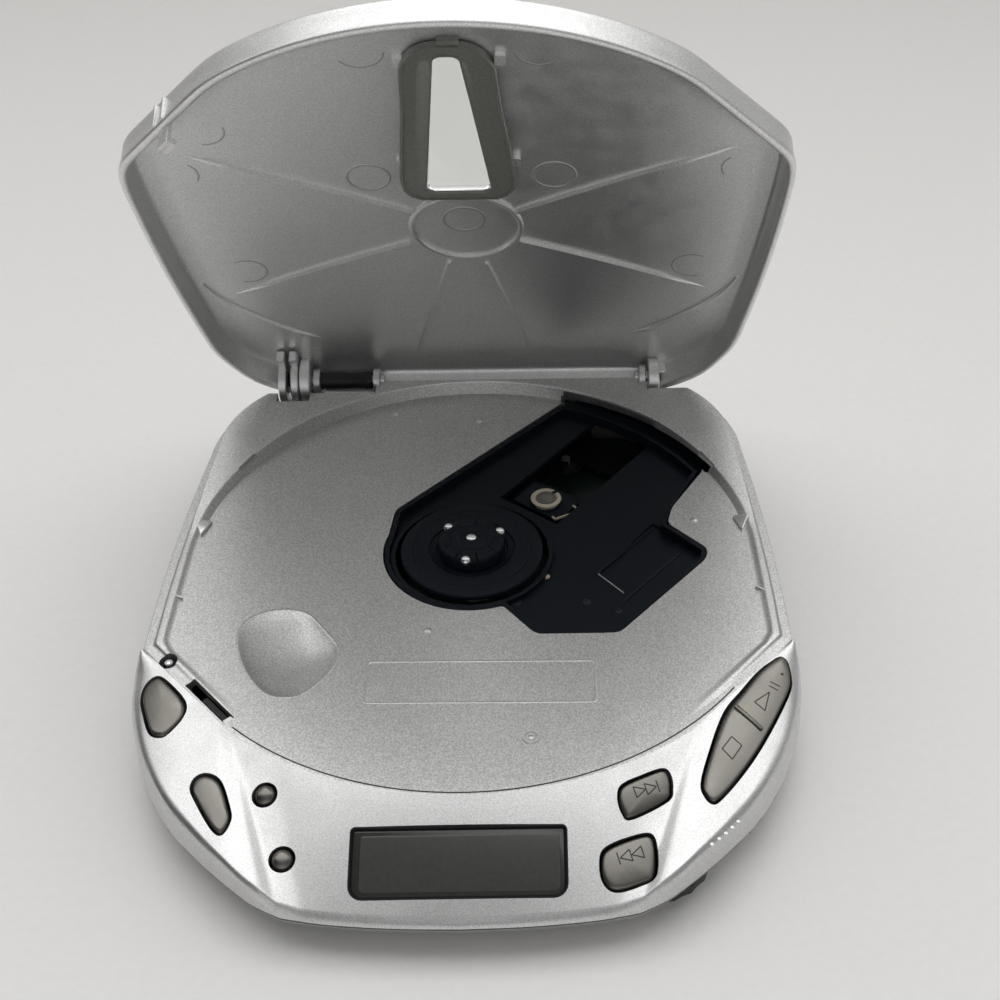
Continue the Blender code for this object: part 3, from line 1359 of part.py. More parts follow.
def pane_solid(name, grow, low, high, hinge):
    """Tapering pane of the window, between two heights or between the lid's skins."""
    rings = []
    for i in range(PANE_STEPS + 1):
        share = i / PANE_STEPS
        y = lerp(PANE_FRONT_Y - grow, PANE_BACK_Y + grow, share)
        half = lerp(PANE_FRONT_HALF, PANE_BACK_HALF, share) + grow
        bottom = low if low else inner_skin(y) - WINDOW_SET - GAP
        top = high if high else skin_z(y) - GAP
        rings.append(in_lid([(-half, y, bottom), (half, y, bottom), (half, y, top), (-half, y, top)]))
    return loft(name, rings, hinge)


def window_solid(name, grow, hinge):
    """Window lying under the lid's skin; a grown one makes room for it."""
    rings = []
    length = WINDOW_BACK_Y - WINDOW_FRONT_Y
    for share, half_share in WINDOW_HALF_SHARES:
        y = WINDOW_FRONT_Y + length * share
        y += lerp(-grow, grow, share)
        half = WINDOW_HALF * half_share + grow
        top = inner_skin(y) - WINDOW_SET
        low = top - WINDOW_THICK
        if grow:
            low = CLAMP_RING_Z - OVERRUN
            top += GAP
        rings.append(in_lid([(-half, y, low), (half, y, low), (half, y, top), (-half, y, top)]))
    return loft(name, rings, hinge)


def build_lid_window(hinge):
    window = window_solid("lid_window", 0.0, hinge)
    join(window, pane_solid("window_pane", -GAP / 2, 0.0, 0.0, hinge))
    return paint(window, SMOKE, 0.12, 0.0, 0.7)


# Hinge pins and spring

def build_hinge(root):
    for name, (start, end) in zip(("hinge_pin_left", "hinge_pin_right"), pin_spans()):
        steel(cylinder(name, PIN_RADIUS, start, end, root, (HINGE_Y, HINGE_Z), 12, "X"))
    start = POSTS_X[0] + POST_WIDTH / 2 + POST_CLEAR + SPRING_WIRE
    end = POSTS_X[1] - POST_WIDTH / 2 - POST_CLEAR - SPRING_WIRE
    points = []
    total = SPRING_TURNS * SPRING_STEPS
    for i in range(total + 1):
        angle = 2 * math.pi * i / SPRING_STEPS
        y = HINGE_Y + SPRING_RADIUS * math.cos(angle)
        z = HINGE_Z + SPRING_RADIUS * math.sin(angle)
        points.append((lerp(start, end, i / total), y, z))
    last = points[-1]
    points.append((last[0], last[1], last[2] - SPRING_ARM))
    black(tube("lid_spring", points, SPRING_WIRE, root, 0))


# Latch and lid switch

def build_latch(root):
    centre, turn = latch_place()
    way = Vector((math.cos(turn), math.sin(turn)))
    middle = centre + way * (LATCH_SLOT_LENGTH / 2 - LATCH_LENGTH / 2 - LATCH_TRAVEL - GAP)
    top = FLOOR_Z - LATCH_TOP_DROP
    low = top - LATCH_HEIGHT
    empty = bpy.data.objects.new("latch_axis", None)
    link(empty, PARTS, root)
    empty.location = (middle.x, middle.y, 0.0)
    empty.rotation_euler = (0.0, 0.0, turn)
    size = (LATCH_LENGTH, LATCH_THICK, top - low)
    slider = box("latch_slider", (0.0, 0.0, (low + top) / 2), size, empty)
    black(slider)
    sleeve = cylinder("switch_sleeve", SWITCH_SLEEVE, SWITCH_BODY_TOP - SWITCH_LENGTH, SWITCH_BODY_TOP,
                      root, (SWITCH_X, SWITCH_Y), 14)
    bore = SWITCH_PLUNGER + GAP
    cut(sleeve, cylinder("sleeve_bore", bore, SWITCH_BODY_TOP - SWITCH_LENGTH / 2, FLOOR_Z, root,
                         (SWITCH_X, SWITCH_Y), 10))
    black(sleeve)
    low = SWITCH_BODY_TOP - SWITCH_LENGTH / 2 + SWITCH_RISE + GAP
    high = SWITCH_BODY_TOP + SWITCH_RISE
    plunger = cylinder("lid_switch_plunger", SWITCH_PLUNGER, low, high, root, (SWITCH_X, SWITCH_Y), 12)
    paint(plunger, SILVER_DARK, 0.4)


# Mechanism

def sled_point(along, across, z):
    """Place given along and across the sled's track."""
    c, s = math.cos(SLED_ANGLE), math.sin(SLED_ANGLE)
    return (along * c - across * s, along * s + across * c, z)


def track_box(name, along, across, low, high, root):
    """Box given by its spans along and across the sled's track."""
    middle = sled_point((along[0] + along[1]) / 2, (across[0] + across[1]) / 2, (low + high) / 2)
    size = (along[1] - along[0], across[1] - across[0], high - low)
    return box(name, middle, size, root, SLED_ANGLE)


def track_bar(name, radius, start, end, across, z, root, sides=10):
    """Round bar lying along the sled's track."""
    bar = cylinder(name, radius, start, end, root, (across, z), sides, "X")
    bar.data.transform(Matrix.Rotation(SLED_ANGLE, 4, "Z"))
    return bar


def build_mechanism(root):
    cover_plan = inset(opening_plan(BAY_RADIUS - COVER_BACK_INSET), -COVER_LAP)
    cover = prism("mechanism_cover", cover_plan, COVER_TOP - COVER_THICK, COVER_TOP, root)
    low = COVER_TOP - COVER_THICK - OVERRUN
    high = COVER_TOP + OVERRUN
    seat = COVER_TOP - COVER_THICK / 2
    radius = TURNTABLE_WELL + COLLAR_WIDTH
    join(cover, cylinder("cover_collar", radius, seat, COLLAR_TOP, root, sides=28))
    cut(cover, cylinder("turntable_well", TURNTABLE_WELL, low, COLLAR_TOP + OVERRUN, root, sides=28))
    slot_end = BAY_RADIUS
    cut(cover, track_box("sled_slot", (SLOT_START, slot_end), (-SLOT_HALF, SLOT_HALF), low, high, root))
    recess_along = (RECESS_ALONG - RECESS_LENGTH / 2, RECESS_ALONG + RECESS_LENGTH / 2)
    recess_across = (RECESS_ACROSS - RECESS_WIDTH / 2, RECESS_ACROSS + RECESS_WIDTH / 2)
    floor = COVER_TOP - RECESS_DEPTH
    cut(cover, track_box("cover_recess", recess_along, recess_across, floor, high, root))
    outline = inset(opening_plan(BAY_RADIUS - COVER_BACK_INSET + COVER_LAP), GAP)
    rim = prism("cover_rim", outline, seat, COVER_RIM_TOP, root)
    hole = inset(outline, COVER_RIM_WIDTH)
    cut(rim, prism("rim_hole", hole, seat - OVERRUN, COVER_RIM_TOP + OVERRUN, root))
    join(cover, rim)
    for i, (sx, sy) in enumerate(COVER_POST_SHARES):
        centre = (sx * BAY_RADIUS, sy * BAY_RADIUS)
        low = CHASSIS_Z + CHASSIS_THICK + GAP
        high = COVER_TOP - COVER_THICK / 2
        join(cover, cylinder(f"cover_post_{i}", POST_RADIUS, low, high, root, centre, 8))
    paint(cover, NAVY, 0.35)

    chassis_plan = inset(opening_plan(CHASSIS_BACK_RADIUS), CHASSIS_INSET)
    top = CHASSIS_Z + CHASSIS_THICK
    chassis = prism("mechanism_chassis", chassis_plan, CHASSIS_Z, top, root)
    window_along = (CHASSIS_WINDOW_START, CHASSIS_WINDOW_END)
    window_across = (-CHASSIS_WINDOW_HALF, CHASSIS_WINDOW_HALF)
    low, high = CHASSIS_Z - OVERRUN, top + OVERRUN
    cut(chassis, track_box("chassis_window", window_along, window_across, low, high, root))
    block_top = ROD_Z + ROD_RADIUS + GAP
    for i, across in enumerate((ROD_ACROSS, -ROD_ACROSS)):
        span = (across - ROD_BLOCK_WIDTH / 2, across + ROD_BLOCK_WIDTH / 2)
        start = (ROD_START - ROD_BLOCK, ROD_START + ROD_BLOCK / 2)
        end = (ROD_END - ROD_BLOCK / 2, ROD_END + ROD_BLOCK)
        for k, along in enumerate((start, end)):
            block = track_box(f"rod_block_{i}_{k}", along, span, CHASSIS_Z + GAP, block_top, root)
            hole_start, hole_end = ROD_START - GAP, ROD_END + GAP
            name = f"rod_hole_{i}_{k}"
            cut(block, track_bar(name, ROD_RADIUS + GAP, hole_start, hole_end, across, ROD_Z, root))
            join(chassis, block)
    for i, (sx, sy) in enumerate(DAMPER_SHARES):
        centre = (sx * BAY_RADIUS, sy * BAY_RADIUS)
        radius = DAMPER_HOLE + 2 * GAP
        cut(chassis, cylinder(f"damper_hole_{i}", radius, low, high, root, centre, 10))
    steel(chassis)

    for i, (sx, sy) in enumerate(DAMPER_SHARES):
        centre = (sx * BAY_RADIUS, sy * BAY_RADIUS)
        low = FOOT_HEIGHT + CASE_FLOOR + GAP
        high = CHASSIS_Z - GAP
        outer = arc(centre, DAMPER_RADIUS, 0.0, 2 * math.pi, DAMPER_SIDES)[:-1]
        hole = arc(centre, DAMPER_HOLE + GAP, 0.0, 2 * math.pi, DAMPER_SIDES)[:-1]
        rings = [at_height(hole, low), at_height(outer, low), at_height(outer, high), at_height(hole, high)]
        black(open_ring(f"damper_{i + 1}", rings, root))

    for name, across in (("guide_rod_left", ROD_ACROSS), ("guide_rod_right", -ROD_ACROSS)):
        steel(track_bar(name, ROD_RADIUS, ROD_START, ROD_END, across, ROD_Z, root))

    low = top + GAP
    motor = turned("spindle_motor", (
        (SPINDLE_MOTOR_RADIUS, low), (SPINDLE_MOTOR_RADIUS, SPINDLE_MOTOR_TOP - SHAFT_RADIUS),
        (SPINDLE_MOTOR_RADIUS - SHAFT_RADIUS, SPINDLE_MOTOR_TOP),
        (3 * SHAFT_RADIUS, SPINDLE_MOTOR_TOP), (3 * SHAFT_RADIUS, SPINDLE_MOTOR_TOP + SHAFT_RADIUS),
    ), root, 20)
    bore = SHAFT_RADIUS + GAP
    cut(motor, cylinder("motor_bore", bore, low + SHAFT_RADIUS, TURNTABLE_Z, root, sides=8))
    steel(motor)


def open_ring(name, rings, parent):
    """Ring with a hole: the last section joins the first."""
    bm = bmesh.new()
    rows = [[bm.verts.new(point) for point in ring] for ring in rings]
    count = len(rows[0])
    for low, high in zip(rows, rows[1:] + rows[:1]):
        for i in range(count):
            k = (i + 1) % count
            bm.faces.new((low[i], low[k], high[k], high[i]))
    return mesh_object(name, mesh_from(bm, name), parent)


def build_spindle(root):
    table = turned("turntable", (
        (SHAFT_RADIUS + CASE_WALL, TURNTABLE_Z - TURNTABLE_LIP), (SHAFT_RADIUS + CASE_WALL, TURNTABLE_Z),
        (TURNTABLE_RADIUS, TURNTABLE_Z),
        (TURNTABLE_RADIUS, TURNTABLE_TOP - GAP), (TURNTABLE_RADIUS - GAP, TURNTABLE_TOP),
        (HUB_RADIUS + 2 * GAP, TURNTABLE_TOP),
    ), root, 24)
    hub_seat = TURNTABLE_TOP - 2 * GAP
    radius = HUB_RADIUS + GAP
    cut(table, cylinder("hub_seat", radius, hub_seat, TURNTABLE_TOP + OVERRUN, root))
    bore = SHAFT_RADIUS + GAP
    cut(table, cylinder("table_bore", bore, SPINDLE_MOTOR_TOP, hub_seat + GAP / 2, root, sides=8))
    black(table)

    low = hub_seat + GAP
    hub = turned("spindle_hub", (
        (HUB_RADIUS, low), (HUB_RADIUS, HUB_TOP - HUB_CROWN),
        (HUB_RADIUS - HUB_CROWN / 2, HUB_TOP - HUB_CROWN / 4), (HUB_RADIUS - 2 * HUB_CROWN, HUB_TOP),
    ), root, 20)
    for i in range(HUB_SLOTS):
        angle = 2 * math.pi * (i + 0.5) / HUB_SLOTS
        middle = (HUB_SLOT_START + HUB_RADIUS - HUB_CROWN) / 2
        length = HUB_RADIUS - HUB_CROWN - HUB_SLOT_START
        place = (middle * math.cos(angle), middle * math.sin(angle), HUB_TOP)
        size = (length, HUB_SLOT_WIDTH, 2 * HUB_SLOT_DEPTH)
        cut(hub, box(f"hub_slot_{i}", place, size, root, angle))
    for i, degrees in enumerate(BALL_ANGLES):
        angle = math.radians(degrees)
        place = (BALL_ORBIT * math.cos(angle), BALL_ORBIT * math.sin(angle))
        join(hub, ball(f"clamp_ball_{i}", BALL_RADIUS, place, root, 8))
    start = SPINDLE_MOTOR_TOP - SPINDLE_MOTOR_TOP / 4
    shaft = cylinder("shaft", SHAFT_RADIUS, start, HUB_TOP + SHAFT_TIP, root, sides=8)
    join(hub, shaft)
    paint(hub, NAVY, 0.35)


def ball(name, radius, place, root, steps):
    bm = bmesh.new()
    bmesh.ops.create_uvsphere(bm, u_segments=steps, v_segments=steps // 2, radius=radius)
    bmesh.ops.transform(bm, matrix=Matrix.Translation((*place, BALL_Z)), verts=bm.verts)
    return mesh_object(name, mesh_from(bm, name), root)


def build_pickup(root):
    half = SLED_LENGTH / 2
    along = (LENS_ALONG - half, LENS_ALONG + half)
    side = ROD_ACROSS + SLED_SIDE
    sled = track_box("pickup_sled", along, (-side, side), SLED_Z, SLED_TOP, root)
    for i, across in enumerate((ROD_ACROSS, -ROD_ACROSS)):
        start, end = along[0] - OVERRUN, along[1] + OVERRUN
        cut(sled, track_bar(f"sled_bore_{i}", ROD_RADIUS + GAP, start, end, across, ROD_Z, root))
    length = (LENS_ALONG - NUT_LENGTH / 2, LENS_ALONG + NUT_LENGTH / 2)
    width = (-side - NUT_WIDTH, OVERRUN - side)
    join(sled, track_box("sled_nut", length, width, SLED_Z + GAP, SLED_TOP - GAP, root))
    start, end = length[0] - OVERRUN, length[1] + OVERRUN
    cut(sled, track_bar("nut_bore", SCREW_RADIUS + GAP, start, end, SCREW_ACROSS, SCREW_Z, root))
    length = (LENS_ALONG - SLED_TOWER_LENGTH / 2, LENS_ALONG + SLED_TOWER_LENGTH / 2)
    width = (-SLED_TOWER_WIDTH / 2, SLED_TOWER_WIDTH / 2)
    join(sled, track_box("sled_tower", length, width, SLED_Z + GAP, SLED_TOWER_TOP, root))
    centre = sled_point(LENS_ALONG, 0.0, 0.0)[:2]
    seat = SLED_TOWER_TOP - OVERRUN
    radius = LENS_HOLDER_RADIUS + GAP
    cut(sled, cylinder("holder_seat", radius, seat, SLED_TOWER_TOP + OVERRUN, root, centre, 16))
    paint(sled, NAVY, 0.45)

    holder = cylinder("lens_holder", LENS_HOLDER_RADIUS, seat + GAP, LENS_HOLDER_TOP, root, centre, 16)
    pocket = LENS_HOLDER_TOP - LENS_SINK
    radius = LENS_RADIUS + GAP
    cut(holder, cylinder("lens_seat", radius, pocket, LENS_HOLDER_TOP + OVERRUN, root, centre, 14))
    paint(holder, CREAM, 0.5)
    lens = turned("objective_lens", (
        (LENS_RADIUS, pocket + GAP), (LENS_RADIUS, LENS_HOLDER_TOP - LENS_SINK / 4),
        (LENS_RADIUS * 0.8, LENS_HOLDER_TOP + LENS_SINK / 4), (LENS_RADIUS * 0.35, LENS_TOP),
    ), root, 10)
    lens.location = (*centre, 0.0)
    paint(lens, (0.5, 0.55, 0.65), 0.05)

    empty = bpy.data.objects.new("screw_axis", None)
    link(empty, PARTS, root)
    empty.location = sled_point(0.0, SCREW_ACROSS, SCREW_Z)
    empty.rotation_euler = (0.0, 0.0, SLED_ANGLE)
    screw = feed_screw(empty)
    steel(screw)
    start = SCREW_START - FEED_MOTOR_LENGTH
    motor = cylinder("feed_motor", FEED_MOTOR_RADIUS, start, SCREW_START - GAP, empty, sides=14, axis="X")
    steel(motor)
    bearing_low = CHASSIS_Z + CHASSIS_THICK + GAP
    low = bearing_low - SCREW_Z
    saddle = box("motor_saddle", (start + FEED_MOTOR_LENGTH / 2, 0.0, low / 2),
                 (FEED_MOTOR_LENGTH / 2, FEED_MOTOR_RADIUS, -low), empty)
    join(motor, saddle)


def feed_screw(parent):
    """Lead screw: rings whose radius follows the helical groove's wave along the shaft."""
    steps = round((SCREW_END - SCREW_START) / SCREW_PITCH * SCREW_STEPS)
    sides = SCREW_SIDES
    rings = []
    for i in range(steps + 1):
        x = lerp(SCREW_START, SCREW_END, i / steps)
        points = []
        for k in range(sides):
            angle = 2 * math.pi * k / sides
            wave = math.cos(angle - 2 * math.pi * (x - SCREW_START) / SCREW_PITCH)
            radius = SCREW_RADIUS - SCREW_GROOVE * (1.0 + wave) / 2
            points.append((x, radius * math.cos(angle), radius * math.sin(angle)))
        rings.append(points)
    return loft("feed_screw", rings, parent)


# Boards

def build_boards(root):
    plan = inset(body_plan(), BOARD_INSET)[::2]
    board = prism("main_board", plan, BOARD_Z, BOARD_Z + BOARD_THICK, root)
    cx, cy = CELL_BAY_CENTRE
    width, length = CELL_BAY_SIZE
    margin = 2 * (CELL_BAY_WALL + 2 * GAP)
    size = (width + margin, length + margin, 4 * BOARD_THICK)
    cut(board, box("board_cut", (cx, cy, BOARD_Z), size, root))
    low, high = BOARD_Z - OVERRUN, BOARD_Z + BOARD_THICK + OVERRUN
    for i, (sx, sy) in enumerate(DAMPER_SHARES):
        centre = (sx * BAY_RADIUS, sy * BAY_RADIUS)
        cut(board, cylinder(f"board_hole_{i}", BOARD_HOLE, low, high, root, centre, 10))
    radius = WHEEL_RADIUS + 2 * WHEEL_SLOT
    cut(board, cylinder("board_bay", radius, low, high, root, wheel_centre(), 16))
    paint(board, BOARD_GREEN, 0.5)


# Battery bay

def door_hinge():
    """Place of the battery door's hinge in Y and Z."""
    edge = CELL_BAY_CENTRE[1] + CELL_BAY_SIZE[1] / 2 + CELL_BAY_WALL - GAP
    return edge - DOOR_BARREL, FOOT_HEIGHT + DOOR_BARREL


def build_battery_bay(root):
    cx, cy = CELL_BAY_CENTRE
    width, length = CELL_BAY_SIZE
    inner = 2 * (CELL_BAY_WALL - GAP)
    size = (width + inner, length + inner, DOOR_THICK)
    hinge_y, hinge_z = door_hinge()
    empty = bpy.data.objects.new("door_axis", None)
    link(empty, PARTS, root)
    empty.location = (cx, hinge_y, hinge_z)
    plate_length = size[1] - 2 * DOOR_BARREL - GAP
    plate_y = cy - DOOR_BARREL - GAP / 2
    place = (0.0, plate_y - hinge_y, DOOR_THICK / 2 - DOOR_BARREL)
    door = box("battery_door", place, (size[0], plate_length, DOOR_THICK), empty)
    half = DOOR_BARREL_LENGTH / 2
    barrel = cylinder("door_barrel", DOOR_BARREL, -half, half, empty, (0.0, 0.0), 16, "X")
    web_size = (DOOR_BARREL_LENGTH, 3 * DOOR_BARREL, DOOR_THICK / 2)
    web = box("door_web", (0.0, -1.5 * DOOR_BARREL, DOOR_THICK / 4 - DOOR_BARREL), web_size, empty)
    half += DOOR_STUB_LENGTH
    stubs = cylinder("door_stubs", DOOR_STUB, -half, half, empty, (0.0, 0.0), 10, "X")
    join(door, barrel, web, stubs)
    silver(door, SILVER_DARK)

    end = cy + length / 2 - GAP - CONTACT_THICK / 2
    start = cy - length / 2 + GAP + CONTACT_THICK / 2
    size = (CELL_PITCH + CONTACT_SIZE, CONTACT_THICK, CONTACT_SIZE)
    steel(box("battery_link", (cx, end, CONTACT_Z), size, root))
    for name, side in (("battery_contact_left", -1.0), ("battery_contact_right", 1.0)):
        x = cx + side * CELL_PITCH / 2
        size = (CONTACT_SIZE, CONTACT_THICK, CONTACT_SIZE)
        contact = box(name, (x, start, CONTACT_Z), size, root)
        steel(join(contact, cell_spring(name + "_spring", x, start, root)))


def cell_spring(name, x, start, root):
    """Cone spring that presses on a cell's flat end."""
    points = []
    total = CELL_SPRING_TURNS * CELL_SPRING_STEPS
    for i in range(total + 1):
        share = i / total
        angle = 2 * math.pi * i / CELL_SPRING_STEPS
        radius = lerp(CELL_SPRING_RADIUS, CELL_SPRING_RADIUS / 2, share)
        y = start + share * CELL_SPRING_LENGTH
        points.append((x + radius * math.cos(angle), y, CONTACT_Z + radius * math.sin(angle)))
    return tube(name, points, CELL_SPRING_WIRE, root, 0)


# Volume wheel, slide switch and sockets

def wheel_centre():
    """Axle of the volume wheel, set so that its rim stands proud of the case."""
    x, y = edge_point(True, WHEEL_PLACE_SHARE)
    ahead = Vector(edge_point(True, WHEEL_PLACE_SHARE + 0.05))
    way = (ahead - Vector((x, y))).normalized()
    inward = Vector((way.y, -way.x))
    reach = WHEEL_RADIUS - WHEEL_PROUD + CASE_BELLY_INSET / 2
    return (x + inward.x * reach, y + inward.y * reach)


def slider_place():
    """Middle of the slide switch at rest and the direction in which it slides."""
    here = Vector(edge_point(True, SLIDER_PLACE_SHARE))
    back = Vector(edge_point(True, SLIDER_PLACE_SHARE - 0.05))
    way = (back - here).normalized()
    outward = Vector((way.y, -way.x))
    skin = CASE_BELLY_INSET * 0.55
    centre = here - outward * (skin + SLIDER_DEPTH / 2 - SLIDER_PROUD)
    return centre, math.atan2(way.y, way.x)


def build_controls(root):
    empty = bpy.data.objects.new("wheel_axis", None)
    link(empty, PARTS, root)
    empty.location = (*wheel_centre(), 0.0)
    rings = []
    steps = 2 * WHEEL_RIDGES
    points = []
    for i in range(steps):
        radius = WHEEL_RADIUS - (WHEEL_RIDGE if i % 2 else 0.0)
        angle = 2 * math.pi * i / steps
        points.append((radius * math.cos(angle), radius * math.sin(angle)))
    rings = [at_height(points, WHEEL_Z), at_height(points, WHEEL_Z + WHEEL_THICK)]
    wheel = loft("volume_wheel", rings, empty)
    low, high = WHEEL_Z - OVERRUN, WHEEL_Z + WHEEL_THICK + OVERRUN
    cut(wheel, cylinder("axle_bore", WHEEL_AXLE + GAP, low, high, empty, sides=10))
    black(wheel)

    centre, turn = slider_place()
    size = (SLIDER_LENGTH, SLIDER_DEPTH, SLIDER_HEIGHT)
    slider = box("slide_switch", (centre.x, centre.y, SLIDER_Z), size, root, turn)
    black(slider)

    for name, y, bore in (("phones_socket", PHONES_Y, SOCKET_BORE), ("line_socket", LINE_Y, SOCKET_BORE),
                          ("power_socket", DC_Y, DC_BORE)):
        reach = side_x(y) - GAP
        start = reach - SOCKET_LENGTH + 2 * GAP
        socket = cylinder(name, SOCKET_RADIUS, start, reach, root, (y, SOCKET_Z), 14, "X")
        low, high = start + CASE_WALL, reach + OVERRUN
        cut(socket, cylinder(name + "_bore", bore, low, high, root, (y, SOCKET_Z), 12, "X"))
        if name == "power_socket":
            low, high = start + CASE_WALL / 2, reach - OVERRUN
            join(socket, cylinder("power_pin", DC_PIN, low, high, root, (y, SOCKET_Z), 8, "X"))
        black(socket)


# Feet and screws

def build_fasteners(root):
    corners = ("front_left", "front_right", "back_left", "back_right")
    for corner, (sx, sy) in zip(corners, FOOT_SHARES):
        high = FOOT_HEIGHT + FOOT_SINK - GAP
        centre = (sx * SIDE_X, sy * SIDE_X)
        black(cylinder("foot_" + corner, FOOT_RADIUS, 0.0, high, root, centre, 14))
    for i, (sx, sy) in enumerate(SCREW_SHARES):
        high = FOOT_HEIGHT + SCREW_SINK - GAP
        centre = (sx * SIDE_X, sy * SIDE_X)
        low = high - SCREW_HEAD_HEIGHT
        steel(cylinder(f"case_screw_{i + 1}", SCREW_HEAD_RADIUS, low, high, root, centre, 10))


def build():
    root = bpy.data.objects.new("player", None)
    link(root, PARTS, None)
    root.location = (0.0, PLAN_SHIFT_Y, 0.0)
    hinge = bpy.data.objects.new("lid_axis", None)
    link(hinge, PARTS, root)
    hinge.location = (0.0, HINGE_Y, HINGE_Z)
    hinge.rotation_euler = (-OPEN_ANGLE, 0.0, 0.0)

    build_lower_case(root)
    build_deck(root)
    build_panel(root)
    build_keys(root)
    build_display(root)
    build_lid(hinge)
    build_lid_window(hinge)
    build_hinge(root)
    build_latch(root)
    build_mechanism(root)
    build_spindle(root)
    build_pickup(root)
    build_boards(root)
    build_battery_bay(root)
    build_controls(root)
    build_fasteners(root)


for old in list(bpy.data.objects):
    bpy.data.objects.remove(old)
PARTS = bpy.data.collections.new("cd_player")
CUTTERS = bpy.data.collections.new("cutters")
bpy.context.scene.collection.children.link(PARTS)
bpy.context.scene.collection.children.link(CUTTERS)
build()
bpy.context.view_layer.update()
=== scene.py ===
import json
import math

import bmesh
import bpy
from mathutils import Matrix, Vector
from mathutils.bvhtree import BVHTree


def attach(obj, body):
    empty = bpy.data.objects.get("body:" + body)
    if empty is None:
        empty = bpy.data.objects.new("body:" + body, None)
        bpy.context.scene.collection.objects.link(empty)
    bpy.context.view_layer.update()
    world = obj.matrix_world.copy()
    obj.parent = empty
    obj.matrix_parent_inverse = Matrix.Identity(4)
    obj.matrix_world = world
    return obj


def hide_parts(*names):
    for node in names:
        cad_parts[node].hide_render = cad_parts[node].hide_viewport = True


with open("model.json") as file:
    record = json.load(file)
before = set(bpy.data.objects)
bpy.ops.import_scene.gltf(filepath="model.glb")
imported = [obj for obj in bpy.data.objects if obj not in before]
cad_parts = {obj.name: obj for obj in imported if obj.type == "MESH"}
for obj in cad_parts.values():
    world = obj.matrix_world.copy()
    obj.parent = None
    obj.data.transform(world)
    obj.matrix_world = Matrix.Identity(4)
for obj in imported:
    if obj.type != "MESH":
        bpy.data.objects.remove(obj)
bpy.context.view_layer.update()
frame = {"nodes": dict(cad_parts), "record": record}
NODES = frame["nodes"]

MM = 0.001

# Places shared with the solids: the spindle's axis, the lid's hinge and its opening angle
SPINDLE_Y = 10.2 * MM
HINGE = Vector((0.0, 73.7 * MM, 20.0 * MM))
OPEN_ANGLE = math.radians(61.0)
LID_TURN = Matrix.Translation(HINGE) @ Matrix.Rotation(-OPEN_ANGLE, 4, "X") @ Matrix.Translation(-HINGE)
AXIS = (0.0, 0.0)


# Materials

GLOSS_SWING = 0.04
RELIEF_DEPTH = 0.02 * MM
CLEAR_INDEX = 1.3


def nodes_of(name):
    """A new material with its Principled shader and a place in the piece's own space."""
    material = bpy.data.materials.new(name)
    material.use_nodes = True
    tree = material.node_tree
    shader = tree.nodes["Principled BSDF"]
    place = tree.nodes.new("ShaderNodeTexCoord").outputs["Object"]
    return material, tree, shader, place


def noise(tree, place, size, detail=2.0):
    node = tree.nodes.new("ShaderNodeTexNoise")
    node.inputs["Scale"].default_value = 1.0 / size
    node.inputs["Detail"].default_value = detail
    tree.links.new(place, node.inputs["Vector"])
    return node.outputs["Fac"]


def spread(tree, value, low, high, start=0.3, end=0.7):
    """Stretch a noise value onto a range."""
    node = tree.nodes.new("ShaderNodeMapRange")
    node.inputs["From Min"].default_value = start
    node.inputs["From Max"].default_value = end
    node.inputs["To Min"].default_value = low
    node.inputs["To Max"].default_value = high
    tree.links.new(value, node.inputs["Value"])
    return node.outputs["Result"]


def mixed(tree, factor, first, second):
    """Colour that goes from the first to the second with a factor."""
    node = tree.nodes.new("ShaderNodeMix")
    node.data_type = "RGBA"
    for socket, value in ((node.inputs[6], first), (node.inputs[7], second)):
        if isinstance(value, tuple):
            socket.default_value = (*value, 1.0)
        else:
            tree.links.new(value, socket)
    tree.links.new(factor, node.inputs[0])
    return node.outputs[2]


def bump(tree, shader, height, strength):
    node = tree.nodes.new("ShaderNodeBump")
    node.inputs["Strength"].default_value = strength
    node.inputs["Distance"].default_value = RELIEF_DEPTH
    tree.links.new(height, node.inputs["Height"])
    tree.links.new(node.outputs["Normal"], shader.inputs["Normal"])


def scaled(colour, share):
    return tuple(min(1.0, value * share) for value in colour)


def paint(name, colour, metallic, rough, grain=0.25 * MM, flake=0.06, relief=0.15, cloud=6 * MM, shine=0.5):
    """Metallic or plain paint and plastic: flake or grain, a slow change of gloss, and a fine relief."""
    material, tree, shader, place = nodes_of(name)
    fine = noise(tree, place, grain, 1.0)
    slow = noise(tree, place, cloud)
    shade = spread(tree, fine, 0.0, 1.0)
    tone = mixed(tree, shade, scaled(colour, 1.0 - flake), scaled(colour, 1.0 + flake))
    tree.links.new(tone, shader.inputs["Base Color"])
    tree.links.new(spread(tree, slow, rough - GLOSS_SWING, rough + GLOSS_SWING), shader.inputs["Roughness"])
    shader.inputs["Metallic"].default_value = metallic
    shader.inputs["Specular IOR Level"].default_value = shine
    bump(tree, shader, fine, relief)
    return material


SILVER = (0.66, 0.66, 0.655)
BAY_SILVER = (0.58, 0.58, 0.575)
# The lid's silver is the panel's paint made lighter: painted light that brightens the lid's shaded inside.
LID_SILVER_PAINTED_LIGHT = (0.76, 0.76, 0.755)
CASE_GREY = (0.44, 0.44, 0.44)
CHAMPAGNE = (0.190, 0.183, 0.163)
NAVY = (0.005, 0.008, 0.013)
BLACK = (0.015, 0.015, 0.016)
STEEL = (0.55, 0.55, 0.56)

